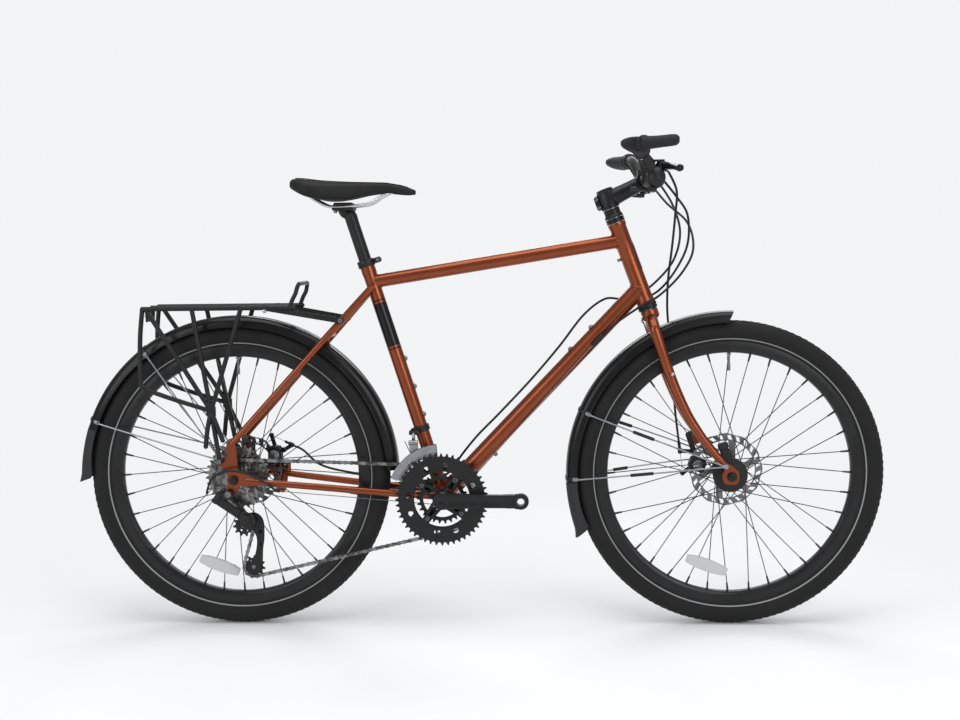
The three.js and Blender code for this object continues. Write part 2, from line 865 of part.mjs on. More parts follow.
function seatClamp() {
  const top = seatTubeLength + clampRise;
  const foot = top - clampHeight;
  const middle = (foot + top) / 2;
  const outer = seatTubeRadius + gap + clampWall;
  const lugEnd = onSeat(middle, outer + clampLugLength);
  const lug = bar(onSeat(middle, seatTubeRadius), lugEnd, clampLugWidth, clampLugHeight);
  const ring = rod(onSeat(foot), onSeat(top), outer, turnedSides);
  const bore = rod(onSeat(foot - overrun), onSeat(top + overrun), seatTubeRadius + gap, turnedSides);
  const slotEnd = onSeat(middle, outer + 2 * clampLugLength);
  const slot = bar(onSeat(middle, seatTubeRadius), slotEnd, clampSlot, 2 * clampHeight);
  return cut(join(ring, lug), bore, slot);
}

// Seat

const clampLength = 48;
const clampHalfWidth = 27;
const cradleHeight = 18;
const cradleBoltRadius = 4;
const cradleBoltInset = 5;
const cradleRelief = 2;

// The route of both rails, one wire bent round under the nose: forward place, height and spread
const railShares = [
  [0.15, -0.75, 1],
  [0.21, -0.97, 1],
  [0.33, -1.22, 1],
  [0.56, -1.17, 1],
  [0.64, -1.08, 1],
  [0.71, -0.86, 0.773],
  [0.78, -0.68, 0.545],
];
const railNoseShares = [0.805, -0.64, 0];
const railSteps = 20;

function railRoute() {
  const place = ([along, down, out]) =>
    xyz(saddleRear + along * saddleLength, -out * railSpread, saddleTopHeight + down * saddleDepth);
  const side = railShares.map(place);
  const nose = place(railNoseShares);
  const otherSide = side.map(mirror).reverse();
  return [...side, nose, ...otherSide];
}

const rails = (radius) => tube(railRoute(), radius, railSteps, wireSides);

function seatpost() {
  const centre = seatClampCentre;
  const foot = seatTubeLength - postInsertion;
  const post = rod(onSeat(foot), onSeat(postTop), postRadius, turnedSides);
  const neckFoot = onSeat(postTop - headSetback);
  const neck = bar(neckFoot, beside(centre, 0, 0, -headSetback / 2), 2 * postRadius, 2 * postRadius);
  const cradle = block(centre, xyz(1, 0, 0), clampLength, 2 * clampHalfWidth, cradleHeight);
  const boltTop = beside(centre, -clampLength / 2 + cradleBoltInset, 0, 0);
  const bolt = rod(beside(boltTop, 0, 0, -cradleHeight), boltTop, cradleBoltRadius);
  return cut(join(post, neck, cradle, bolt), rails(railRadius + gap));
}

// Each row: place along the saddle, height of the crown, height of the skirt's edge (both below the
// highest point, as shares of the depth) and half width as a share of the half width
const saddleShares = [
  [0, 0.17, 0.4, 0.42],
  [0.04, 0.02, 0.56, 0.78],
  [0.14, 0.05, 0.84, 1],
  [0.26, 0.13, 1, 0.94],
  [0.38, 0.17, 1.01, 0.72],
  [0.5, 0.2, 0.92, 0.48],
  [0.62, 0.22, 0.78, 0.34],
  [0.76, 0.25, 0.7, 0.27],
  [0.88, 0.36, 0.78, 0.25],
  [0.96, 0.5, 0.8, 0.2],
  [1, 0.62, 0.72, 0.1],
];
// The section, from the skirt's edge over the crown: place across and height
const saddleSectionShares = [
  [0.86, 0],
  [1, 0.22],
  [1, 0.55],
  [0.86, 0.86],
  [0.5, 0.99],
];
const saddleDishShare = 0.35;

function saddle() {
  const rings = saddleShares.map(([along, crown, skirt, wide]) => {
    const x = saddleRear + along * saddleLength;
    const top = saddleTopHeight - crown * saddleDepth;
    const bottom = saddleTopHeight - skirt * saddleDepth;
    const half = (wide * saddleWidth) / 2;
    const side = saddleSectionShares.map(([out, up]) => xyz(x, out * half, bottom + up * (top - bottom)));
    const crownMiddle = xyz(x, 0, top);
    const underMiddle = xyz(x, 0, bottom + saddleDishShare * (top - bottom));
    const otherSide = side.map((point) => xyz(point.x, -point.y, point.z)).reverse();
    return [...side, crownMiddle, ...otherSide, underMiddle];
  });
  return cut(loft(rings), rails(railRadius + gap), seatClampRelief());
}

// The shell keeps clear of the clamp below it
function seatClampRelief() {
  const centre = seatClampCentre;
  const length = clampLength + 2 * cradleRelief;
  const width = 2 * (clampHalfWidth + cradleRelief);
  const height = cradleHeight + 2 * cradleRelief;
  return block(beside(centre, 0, 0, 2 * cradleRelief), xyz(1, 0, 0), length, width, height);
}

// Crankset and cassette

const outerRingY = -chainPlane - ringSpacing;
const innerRingY = -chainPlane + ringSpacing;
const spiderY = (outerRingY - chainPlane) / 2;

function chainring(teeth, y, innerRadius) {
  const bore = circle(crankAxis, innerRadius, turnedSides);
  return plate(toothedOutline(crankAxis, teeth), y, ringThickness, [bore]);
}

// An arm of the spider: radius as a share of the bolt circle's, half width as a share of the arm's
const spiderArmHalfWidth = 8;
const spiderArmShares = [
  [0.19, -1],
  [1, -1],
  [1.115, -0.5],
  [1.115, 0.5],
  [1, 1],
  [0.19, 1],
];

function spider() {
  const arms = spiderAngles.map((angle) => {
    const outline = spiderArmShares.map(([out, side]) => {
      const radius = (out * boltCircle) / 2;
      const place = polar(crankAxis, radius, angle + (side * spiderArmHalfWidth) / radius);
      return [place.x, place.z];
    });
    return plate(outline, spiderY, spiderThickness);
  });
  const pads = spiderAngles.map((angle) =>
    crossBar(
      polar(crankAxis, innerBoltCircle / 2, angle),
      spiderY,
      innerRingY - ringThickness / 2 - gap,
      ringBoltPad,
      bossSides,
    ),
  );
  return [...arms, ...pads];
}

// The arm's stations, as shares: of its length, of half its height, of how far its middle line moves
// out towards the pedal, and of half its thickness
const crankArmShares = [
  [0, 1.12, -0.5, 1.23],
  [0.3, 0.97, 0, 1],
  [0.7, 0.88, 0.67, 0.92],
  [1, 1, 1, 1],
];
const crankFlare = 3;
const crankCornerShare = 0.55;
const spindleInset = 1;

function crankArm(direction) {
  const half = crankThickness / 2;
  const middle = crankOuterFace - half;
  const rings = crankArmShares.map(([share, height, flare, width]) => {
    const x = crankAxis.x + direction * share * crankLength;
    const tall = (height * crankWidth) / 2;
    const y = middle + flare * crankFlare;
    const thick = width * half;
    const corner = crankCornerShare;
    return [
      [thick, -tall * corner],
      [thick, tall * corner],
      [thick * corner, tall],
      [-thick * corner, tall],
      [-thick, tall * corner],
      [-thick, -tall * corner],
      [-thick * corner, -tall],
      [thick * corner, -tall],
    ].map(([out, up]) => xyz(x, y + out, crankAxis.z + up));
  });
  const end = beside(crankAxis, direction * crankLength, 0, 0);
  const eyeMiddle = middle + crankFlare;
  const eye = crossBar(end, eyeMiddle - half, eyeMiddle + half, crankWidth / 2, turnedSides);
  const hole = crossBar(end, middle - 2 * half, middle + 4 * half, pedalHoleRadius, tubeSides);
  return cut(join(loft(rings), eye), hole);
}

const crankBossGap = 1;
const crankBossInner = shellWidth / 2 + gap + cupLipWidth + crankBossGap;

function crankRight() {
  const boss = crossBar(crankAxis, -crankOuterFace, -crankBossInner, crankEyeRadius);
  const bore = crossBar(crankAxis, -crankOuterFace - overrun, 0, spindleRadius + gap);
  return cut(join(boss, mirrored(crankArm(1)), spider()), bore);
}

function crankLeft() {
  const boss = crossBar(crankAxis, crankBossInner, crankOuterFace, crankEyeRadius);
  const spindleEnd = crankOuterFace - spindleInset;
  const spindle = crossBar(crankAxis, -spindleEnd, spindleEnd, spindleRadius);
  return join(boss, crankArm(-1), spindle);
}

function cassette() {
  const cogs = cassetteTeeth.map((teeth, i) => {
    const outline = circle(rearAxle, cogRadius(teeth) + toothTip / 2, Math.min(teeth, turnedSides));
    return plate(outline, -outermostCog + i * cogSpacing, toothThickness);
  });
  const coreRadius = cogRadius(cassetteTeeth[0]) - toothRoot - gap;
  const core = crossBar(rearAxle, -lockringFace, -innermostCog, coreRadius);
  const bore = crossBar(rearAxle, -lockringFace - overrun, overrun, cassetteBore);
  return cut(join(core, cogs), bore);
}

// Rear derailleur, its cage and its pulleys

const hangerBolt = beside(rearAxle, -hangerSetback, 0, -hangerDrop);
const derailleurFace = dropoutFace + dropoutThickness + gap;
const cagePivotAhead = 28;
const cagePivotDrop = 90;
const guideAhead = 14;
const guideDrop = 104;
const tensionAhead = 34;
const tensionDrop = 194;
const upperPinBehind = 36;
const upperPinDrop = 39;
const upperPinOut = 33;
const lowerPinAhead = 16;
const lowerPinDrop = 78;
const lowerPinOut = 24;
const cagePivot = beside(rearAxle, cagePivotAhead, 0, -cagePivotDrop);
const guideCentre = beside(rearAxle, guideAhead, 0, -guideDrop);
const tensionCentre = beside(rearAxle, tensionAhead, 0, -tensionDrop);
const upperPin = beside(rearAxle, -upperPinBehind, -chainPlane - upperPinOut, -upperPinDrop);
const lowerPin = beside(rearAxle, lowerPinAhead, -chainPlane - lowerPinOut, -lowerPinDrop);
const hangerKnuckleWidth = 14;
const hangerKnuckleRadius = 9;
const hangerArmWidth = 12;
const hangerArmHeight = 8;
const shoulderShare = 0.7;
const barrelOverlap = 2;
const linkHeight = 15;
const knuckleClearRadius = 16.5;
const cageKnuckleRadius = 13;
const cageKnuckleWidth = 8;
const cageKnuckleGap = 4;
const linkDirection = lowerPin.clone().sub(upperPin);
const pinDirection = xyz(-linkDirection.z, 0, linkDirection.x).normalize();

function pinBarrel(centre, radius, length) {
  const half = pinDirection.clone().multiplyScalar(length / 2);
  return rod(centre.clone().sub(half), centre.clone().add(half), radius, tubeSides);
}

function hangerKnuckle() {
  const outer = -derailleurFace - hangerKnuckleWidth;
  const bolt = crossBar(hangerBolt, outer, -derailleurFace, hangerKnuckleRadius);
  const pivotSide = beside(hangerBolt, 0, (outer - derailleurFace) / 2, 0);
  const shoulder = upperPin.clone().addScaledVector(pinDirection, pinBarrelLength * shoulderShare);
  const barrel = rod(
    upperPin.clone().addScaledVector(pinDirection, -pinBarrelLength / 2),
    shoulder.clone().addScaledVector(pinDirection, barrelOverlap),
    pinBarrelRadius,
    tubeSides,
  );
  return join(bolt, bar(pivotSide, shoulder, hangerArmWidth, hangerArmHeight), barrel);
}

function derailleurLink() {
  const body = bar(upperPin, lowerPin, linkThickness, linkHeight);
  const clear = pinBarrelLength + 2 * overrun;
  const knuckleClear = crossBar(cagePivot, -2 * derailleurFace, 0, knuckleClearRadius);
  return cut(
    body,
    pinBarrel(upperPin, pinBarrelRadius + 2 * gap, clear),
    pinBarrel(lowerPin, pinBarrelRadius + 2 * gap, clear),
    knuckleClear,
  );
}

const cageOuterY = -chainPlane - cageInnerWidth / 2 - cagePlateThickness / 2;
const cageInnerY = -chainPlane + cageInnerWidth / 2 + cagePlateThickness / 2;
const knuckleFace = cageOuterY - cagePlateThickness / 2 - cageKnuckleGap;

function cageKnuckle() {
  const body = crossBar(cagePivot, lowerPin.y - cageKnuckleWidth, knuckleFace, cageKnuckleRadius);
  return join(body, pinBarrel(lowerPin, pinBarrelRadius, pinBarrelLength));
}

// The cage plate, as shares of the distance between the pulleys, from the guide pulley's centre
const cageLength = guideCentre.distanceTo(tensionCentre);
const cageShares = [
  [-0.13, 0],
  [-0.08, 0.13],
  [0.1, 0.28],
  [0.3, 0.28],
  [0.45, 0.1],
  [0.46, -0.3],
  [0.42, -0.6],
  [0.4, -0.93],
  [0.33, -1.1],
  [0.2, -1.14],
  [0.07, -1.07],
  [0.06, -0.93],
  [0.2, -0.8],
  [0.29, -0.55],
  [0.3, -0.25],
  [0.15, -0.05],
  [0.05, -0.12],
];

function derailleurCage() {
  const outline = cageShares.map(([x, z]) => {
    const place = beside(guideCentre, x * cageLength, 0, z * cageLength);
    return [place.x, place.z];
  });
  const pins = [guideCentre, tensionCentre].map((centre) =>
    crossBar(centre, cageOuterY, cageInnerY, pulleyPinRadius, smallSides),
  );
  const pivot = crossBar(cagePivot, knuckleFace + gap, cageOuterY, pinBarrelRadius, tubeSides);
  const plates = [cageOuterY, cageInnerY].map((y) => plate(outline, y, cagePlateThickness));
  return join(plates, pins, pivot);
}

function pulley(centre) {
  const wheel = plate(toothedOutline(centre, pulleyTeeth), -chainPlane, toothThickness);
  const half = pulleyHubWidth / 2;
  const hub = crossBar(centre, -chainPlane - half, -chainPlane + half, pulleyHubRadius, tubeSides);
  const bore = crossBar(centre, -2 * chainPlane, 0, runningBore(pulleyPinRadius, smallSides), smallSides);
  return cut(join(wheel, hub), bore);
}

// Chain: two runs of side plates round the sprockets, held together by rollers on the straight runs

const ringPitchRadius = cogRadius(middleTeeth);
const cogPitchRadius = cogRadius(cassetteTeeth[engagedCog]);
const pulleyPitchRadius = cogRadius(pulleyTeeth);

// Where the straight run between two wheels leaves the first and meets the second, in the plane.
// A turn of +1 means that the chain passes round the wheel anticlockwise as the drawing plane shows it.
function tangentAngles(first, firstTurn, second, secondTurn) {
  const across = second.centre.clone().sub(first.centre);
  const distance = Math.hypot(across.x, across.z);
  const heading = Math.atan2(across.z, across.x);
  const lean = Math.asin((secondTurn * second.radius - firstTurn * first.radius) / distance);
  const direction = heading - lean;
  return [direction - (firstTurn * Math.PI) / 2, direction - (secondTurn * Math.PI) / 2];
}

const chainWheels = [
  { centre: crankAxis, radius: ringPitchRadius, turn: 1, arcs: 10 },
  { centre: rearAxle, radius: cogPitchRadius, turn: 1, arcs: 7 },
  { centre: guideCentre, radius: pulleyPitchRadius, turn: -1, arcs: 4 },
  { centre: tensionCentre, radius: pulleyPitchRadius, turn: 1, arcs: 5 },
];

// The chain's centre line as a closed list of points, with the ends of each straight run
function chainRoute() {
  const count = chainWheels.length;
  const leave = [];
  const meet = [];
  chainWheels.forEach((wheel, i) => {
    const next = chainWheels[(i + 1) % count];
    const [out, into] = tangentAngles(wheel, wheel.turn, next, next.turn);
    leave[i] = out;
    meet[(i + 1) % count] = into;
  });
  const points = [];
  const runs = [];
  chainWheels.forEach((wheel, i) => {
    const full = 2 * Math.PI;
    const sweep = ((((leave[i] - meet[i]) * wheel.turn) % full) + full) % full;
    for (let k = 0; k <= wheel.arcs; k += 1) {
      const angle = meet[i] + (wheel.turn * sweep * k) / wheel.arcs;
      points.push(polar(wheel.centre, wheel.radius, angle, -chainPlane));
    }
    const next = chainWheels[(i + 1) % count];
    const nextIndex = (i + 1) % count;
    runs.push([
      polar(wheel.centre, wheel.radius, leave[i], -chainPlane),
      polar(next.centre, next.radius, meet[nextIndex], -chainPlane),
    ]);
  });
  return { points, runs };
}

// The chain's band, as wide and as tall as asked, bent along the closed route
function chainBand(points, width, height) {
  const offset = (point, i, sign) => {
    const before = points[(i + points.length - 1) % points.length];
    const after = points[(i + 1) % points.length];
    const along = after.clone().sub(before).normalize();
    return [point.x - (sign * along.z * height) / 2, point.z + (sign * along.x * height) / 2];
  };
  const outer = points.map((point, i) => offset(point, i, -1));
  const inner = points.map((point, i) => offset(point, i, 1));
  return plate(outer, -chainPlane, width, [inner]);
}

const rollerRadius = 3.9;
const rollerOverlap = 0.5;
const rollerEndMargin = 34;
const rollersPerRun = 2;

function chain() {
  const { points, runs } = chainRoute();
  const band = chainBand(points, chainWidth, chainPlateHeight);
  const hollow = chainBand(points, chainInnerWidth, chainPlateHeight + overrun);
  const rollers = runs.flatMap(([from, to]) => {
    const length = from.distanceTo(to) - 2 * rollerEndMargin;
    const along = to.clone().sub(from).normalize();
    const count = length > 2 * rollerEndMargin ? rollersPerRun : 1;
    return Array.from({ length: count }, (_, i) => {
      const place = count > 1 ? rollerEndMargin + (i * length) / (count - 1) : from.distanceTo(to) / 2;
      const centre = from.clone().addScaledVector(along, place);
      const half = chainInnerWidth / 2 + rollerOverlap;
      return rod(beside(centre, 0, -half, 0), beside(centre, 0, half, 0), rollerRadius, wireSides);
    });
  });
  return join(cut(band, hollow), rollers);
}

// Front derailleur

const frontPinBehind = 14;
const frontPinOut = 26;
const frontPinDrop = 6;
const frontLinkOut = 17;
const frontLinkDrop = 19;
const frontLinkHeight = 6;
const frontPinUpper = beside(onSeat(frontBandHeight), -frontPinBehind, -frontPinOut, -frontPinDrop);
const frontPinLower = beside(frontPinUpper, 0, -frontLinkOut, -frontLinkDrop);
const frontPinLength = 20;
const frontBandHalfHeight = 6;
const frontBandWall = 2.6;
const frontArmWidth = 14;
const frontArmHeight = 10;
const frontArmAhead = 8;
const frontArmIn = 12;
const frontLugDrop = 22;
const frontBridgeRadius = 2;
const frontCageOuter = chainPlane + cageInnerWidth / 2 + cagePlateThickness / 2;
const frontCageInner = chainPlane - cageInnerWidth / 2 - cagePlateThickness / 2;

function frontPin(centre, radius, length) {
  return rod(beside(centre, -length / 2, 0, 0), beside(centre, length / 2, 0, 0), radius, tubeSides);
}

function frontBracket() {
  const band = rod(
    onSeat(frontBandHeight - frontBandHalfHeight),
    onSeat(frontBandHeight + frontBandHalfHeight),
    seatTubeRadius + gap + frontBandWall,
    turnedSides,
  );
  const armStart = beside(frontPinUpper, frontArmAhead, frontArmIn, frontPinDrop);
  const armEnd = beside(frontPinUpper, -frontArmAhead / 2, 0, frontArmAhead / 2);
  const arm = bar(armStart, armEnd, frontArmWidth, frontArmHeight);
  const bore = rod(onSeat(0), onSeat(2 * frontBandHeight), seatTubeRadius + gap, turnedSides);
  return cut(join(band, arm, frontPin(frontPinUpper, frontPinRadius, frontPinLength)), bore);
}

function frontLink() {
  const along = frontPinLower.clone().sub(frontPinUpper);
  const middle = frontPinUpper.clone().add(frontPinLower).multiplyScalar(0.5);
  const across = xyz(0, -along.z, along.y).normalize();
  const turn = new THREE.Matrix4()
    .makeBasis(xyz(1, 0, 0), along.clone().normalize(), across)
    .setPosition(middle);
  const width = frontPinLength - frontBridgeRadius;
  const arm = new THREE.BoxGeometry(width, along.length(), frontLinkHeight).applyMatrix4(turn);
  const clear = frontPinLength + overrun;
  return cut(
    arm,
    frontPin(frontPinUpper, frontPinRadius + 2 * gap, clear),
    frontPin(frontPinLower, frontPinRadius + 2 * gap, clear),
  );
}

// The cage's plates are arcs about the crank axis, just clear of the largest ring's teeth
const frontCageStart = 95 * degree;
const frontCageEnd = 157 * degree;
const innerPlateExtra = 10;
const arcPlateSteps = 8;

function arcPlate(y, innerRadius, outerRadius) {
  const steps = arcPlateSteps;
  const sweep = frontCageEnd - frontCageStart;
  const at = (radius, k) => {
    const place = polar(crankAxis, radius, frontCageStart + (sweep * k) / steps);
    return [place.x, place.z];
  };
  const outer = Array.from({ length: steps + 1 }, (_, k) => at(outerRadius, k));
  const inner = Array.from({ length: steps + 1 }, (_, k) => at(innerRadius, steps - k));
  return plate([...outer, ...inner], y, cagePlateThickness);
}

function frontCage() {
  const innerRadius = cogRadius(outerTeeth) + toothTip + frontCageClearance;
  const outerRadius = innerRadius + frontCageHeight;
  const bridgeAt = (angle) => {
    const place = polar(crankAxis, outerRadius - frontBridgeRadius, angle);
    return crossBar(place, -frontCageOuter, -frontCageInner, frontBridgeRadius, wireSides);
  };
  const lug = bar(
    frontPinLower,
    beside(frontPinLower, frontBridgeRadius, frontBridgeRadius / 2, -frontLugDrop),
    cagePlateThickness * 2,
    frontPinLength,
  );
  return join(
    arcPlate(-frontCageOuter, innerRadius, outerRadius),
    arcPlate(-frontCageInner, innerRadius - innerPlateExtra, outerRadius),
    bridgeAt(frontCageStart + 4 * degree),
    bridgeAt(frontCageEnd - 2 * degree),
    lug,
    frontPin(frontPinLower, frontPinRadius, frontPinLength),
  );
}

// Mudguards

// A curve round a wheel: from one angle to another, drawn out straight past the end by a tail
class GuardPath extends THREE.Curve {
  constructor(axle, radius, start, end) {
    super();
    Object.assign(this, { axle, radius, start, end });
  }

  getPoint(t) {
    return polar(this.axle, this.radius, this.start + (this.end - this.start) * t);
  }
}

const guardSectionShares = [
  [1, -1],
  [0.8, -0.24],
  [0, 0],
];

// The guard's half round section as an outline of the given width, depth and wall
function guardSection(width, depth, wall) {
  const half = guardSectionShares.map(([out, down]) => [(out * width) / 2, down * depth]);
  const outer = [...half, ...half.slice(0, -1).reverse().map(([x, y]) => [-x, y])];
  const inner = outer.map(([x, y]) => [x * (1 - (2 * wall) / width), y === -depth ? y : y - wall]).reverse();
  return [...outer, ...inner].map(([x, y]) => new THREE.Vector2(x, y));
}

function guardArc(axle, radius, start, end, steps, section) {
  const extrudePath = new GuardPath(axle, radius, start, end);
  return new THREE.ExtrudeGeometry(new THREE.Shape(section), { steps, extrudePath, bevelEnabled: false });
}

const guardShape = () => guardSection(mudguardWidth, mudguardDepth, mudguardWall);

// The flap hangs from the guard's end, nearly straight. Each row: share of its length, share of the
// guard's section that stays, how far the section's hollow slants its edge, and how far it kicks out
const flapShares = [
  [-0.04, 1, 0, 0],
  [0.5, 1, 0, 0],
  [0.88, 1, 0.6, 0.88],
  [1, 0.8, 0.6, 1],
];
const flapKick = 6;

function flap(axle, end) {
  const top = polar(axle, mudguardRadius, end);
  const down = xyz(-Math.sin(end), 0, Math.cos(end));
  const out = xyz(down.z, 0, -down.x);
  const section = guardShape();
  const rings = flapShares.map(([along, shrink, slant, kick]) =>
    section.map(({ x, y }) =>
      top
        .clone()
        .addScaledVector(down, along * flapLength + slant * y)
        .addScaledVector(out, y * shrink + kick * flapKick)
        .add(xyz(0, x * shrink, 0)),
    ),
  );
  return openLoft(rings, section);
}

// A skin over rings whose outline isn't convex, capped by triangles worked out from that outline
function openLoft(rings, outline) {
  const count = outline.length;
  const skin = loft(rings);
  const sides = (rings.length - 1) * count * 6;
  const faces = Array.from(skin.index.array).slice(0, sides);
  const last = (rings.length - 1) * count;
  THREE.ShapeUtils.triangulateShape(outline, []).forEach(([a, b, c]) => {
    faces.push(a, c, b, last + a, last + b, last + c);
  });
  skin.setIndex(faces);
  return skin;
}

const rearGuardStart = 2 * degree;
const rearGuardEnd = 163 * degree;
const frontGuardStart = 88.6 * degree;
const frontGuardEnd = 184 * degree;
const rearGuardSteps = 16;
const frontGuardSteps = 12;
const guardPostRadius = 3;

function rearMudguard() {
  const arc = guardArc(rearAxle, mudguardRadius, rearGuardStart, rearGuardEnd, rearGuardSteps, guardShape());
  const top = seatBridge();
  const topAngle = Math.atan2(top.z - rearAxle.z, top.x);
  const topRadius = top.distanceTo(rearAxle) - bridgeRadius - gap;
  const postFoot = mudguardRadius - 2 * mudguardWall;
  const upperPost = rod(
    polar(rearAxle, postFoot, topAngle),
    polar(rearAxle, topRadius, topAngle),
    guardPostRadius,
    wireSides,
  );
  const low = chainBridge();
  const foot = polar(rearAxle, postFoot, rearGuardStart + degree);
  const toBridge = low.clone().sub(foot);
  const lowerEnd = foot.clone().addScaledVector(toBridge, 1 - (bridgeRadius + gap) / toBridge.length());
  const lowerPost = rod(foot, lowerEnd, guardPostRadius, wireSides);
  return join(arc, upperPost, lowerPost, flap(rearAxle, rearGuardEnd));
}

const guardBracketWidth = 14;
const guardBracketThickness = 2;
const guardBracketFoot = 9;
const guardBracketTop = 12;
const crownBehind = 20;

function frontMudguard() {
  const section = guardShape();
  const arc = guardArc(frontAxle, mudguardRadius, frontGuardStart, frontGuardEnd, frontGuardSteps, section);
  const bracket = bar(
    onSteer(mudguardRadius - guardBracketFoot, -crownBehind),
    onSteer(forkLength - guardBracketTop, -crownBehind),
    guardBracketWidth,
    guardBracketThickness,
  );
  return join(arc, bracket, flap(frontAxle, frontGuardEnd));
}

// Wire stays: a strap over the guard at each place, and from its ends a wire down each side to an eye.
// Each side gives the eye's place along Y and how far the wire runs straight back from it.
const stayFootRise = 3;
const stayKneeDrop = 20;
const stayKneeOut = 2;

function mudguardStays(axle, strapAngles, eyelet, sides) {
  const half = strapWidth / 2 / mudguardRadius;
  const outer = mudguardRadius + gap + mudguardWall;
  const section = guardSection(mudguardWidth + 2 * (gap + mudguardWall), mudguardDepth, mudguardWall);
  const straps = strapAngles.map((angle) => guardArc(axle, outer, angle - half, angle + half, 1, section));
  const clip = mudguardWidth / 2 + stayWireRadius + 2 * gap;
  const wires = sides.flatMap(({ sign, wireY, straightShare }) =>
    strapAngles.map((angle) => {
      const edge = mudguardRadius - mudguardDepth;
      const foot = polar(axle, edge + stayFootRise, angle, sign * clip);
      const knee = polar(axle, edge - stayKneeDrop, angle, sign * (clip + stayKneeOut));
      const eye = beside(eyelet, 0, sign * wireY, 0);
      const near = eye.clone().lerp(knee, straightShare);
      near.y = eye.y;
      return taperedTube([foot, knee, near, eye], Array(4).fill(stayWireRadius), bossSides);
    }),
  );
  const eyes = sides.map(({ sign, eyeFrom, eyeTo }) =>
    crossBar(eyelet, sign * eyeFrom, sign * eyeTo, stayEyeRadius, smallSides),
  );
  return join(straps, wires, eyes);
}

// The rear stays end inside the frame's eyelets
const rearStayAngles = [126 * degree, 158.5 * degree];
const stayStraightShare = 0.12;

function rearMudguardStays() {
  const eyeFrom = dropoutFace - stayEyeWidth - gap;
  const eyeTo = eyeFrom + stayEyeWidth;
  const side = { eyeFrom, eyeTo, wireY: (eyeFrom + eyeTo) / 2, straightShare: stayStraightShare };
  return mudguardStays(rearAxle, rearStayAngles, rackEyelet, [{ sign: -1, ...side }, { sign: 1, ...side }]);
}

// The front stays end outside the fork's eyelets, and the left ones pass outside the brake
const frontStayAngles = [156.3 * degree, 181.5 * degree];
const brakePassOut = 19;
const stayPassShare = 0.42;

function frontMudguardStays() {
  const eyeFrom = forkFace + forkEndThickness + forkEyeletWidth + gap;
  const eyeTo = eyeFrom + stayEyeWidth;
  const right = { sign: -1, eyeFrom, eyeTo, wireY: (eyeFrom + eyeTo) / 2, straightShare: stayStraightShare };
  const passY = forkFace + brakePassOut;
  const left = {
    sign: 1,
    eyeFrom,
    eyeTo: passY + stayEyeWidth / 2,
    wireY: passY,
    straightShare: stayPassShare,
  };
  return mudguardStays(frontAxle, frontStayAngles, forkEyelet, [right, left]);
}

// Rack

const rackFoot = () => beside(rackEyelet, 0, -rackFootSpread, 0);

// A place on the right side: forward of the rack's rear end as a share of its length, down as a share
// of the drop from the platform to the leg's foot, and out as a share of the legs' spread
function rackPoint([along, down, out]) {
  const drop = rackHeight - rackEyelet.z;
  const y = -(rackHalfWidth + out * (rackFootSpread - rackHalfWidth));
  return xyz(rackRear + along * rackLength, y, rackHeight - down * drop);
}

const rackKnotShares = [0.45, 0.67, 0.62];
const rackLegShares = [
  [0.66, 0, 0],
  [0.33, 0, 0],
  [0.02, 0, 0],
  [0.53, 0.86, 1.1],
];
const rackHipShares = [-0.015, 0.49, 0.4];
const rackHookShares = [
  [0.43, 0.78, 1],
  [0.415, 0.9, 1.1],
];
const rackStrutShares = [0.82, 0, 0.1];
const rackStrutWidth = 4;
const rackStrutHeight = 12;
const rackStrutEyeRadius = 7;
const rackGussetLength = 20;
const rackGussetWidth = 10.5;
const rackGussetHeight = 25;
const rackFootRadius = 6;

function rackSide() {
  const knot = rackPoint(rackKnotShares);
  const rear = rackPoint([0, 0, 0]);
  const gusset = block(knot, xyz(1, 0, 0), rackGussetLength, rackGussetWidth, rackGussetHeight);
  const straight = [
    [rear, rackPoint([1, 0, 0])],
    [knot, rackFoot()],
    ...rackLegShares.map((place) => [rackPoint(place), knot]),
  ].map(([from, to]) => rod(from, to, rackTubeRadius, wireSides));
  const radii = Array(3).fill(rackTubeRadius);
  const bent = [
    taperedTube([rear, rackPoint(rackHipShares), knot], radii, wireSides),
    taperedTube([knot, ...rackHookShares.map(rackPoint)], radii, wireSides),
  ];
  const footInner = dropoutFace + dropoutThickness + gap;
  const footOuter = rackFootSpread + rackTubeRadius;
  const foot = crossBar(rackEyelet, -footOuter, -footInner, rackFootRadius, smallSides);
  const boss = rackBoss();
  const half = rackStrutWidth / 2;
  const strutEnd = beside(boss, 0, -rackBossY - rackBossLength - gap - half, 0);
  const strut = bar(rackPoint(rackStrutShares), strutEnd, rackStrutWidth, rackStrutHeight);
  const strutEye = crossBar(boss, strutEnd.y - half, strutEnd.y + half, rackStrutEyeRadius, smallSides);
  return [...straight, ...bent, gusset, foot, strut, strutEye];
}

const rackCrossShares = [0, 0.33, 0.66, 0.985];
const rackHoopLeanShare = 1.04;
const lampPlateHeight = 28;
const lampPlateWidth = 60;
const lampPlateThickness = 3;
const lampPlateSetback = 2;
const lampStayOut = 20;
const lampStayRadius = 4;
const lampStayLength = 22;

function rackHoop() {
  const foot = rackPoint([rackCrossShares.at(-1), 0, 0]);
  const top = beside(rackPoint([rackHoopLeanShare, 0, 0]), 0, 0, hoopHeight);
  const corner = beside(top, 0, 2 * rackTubeRadius, 0);
  const bend = beside(top, 0, 0, -2 * rackTubeRadius);
  const half = [foot, bend, corner];
  const route = [...half, ...half.map(mirror).reverse()];
  return taperedTube(route, Array(route.length).fill(rackTubeRadius), wireSides);
}

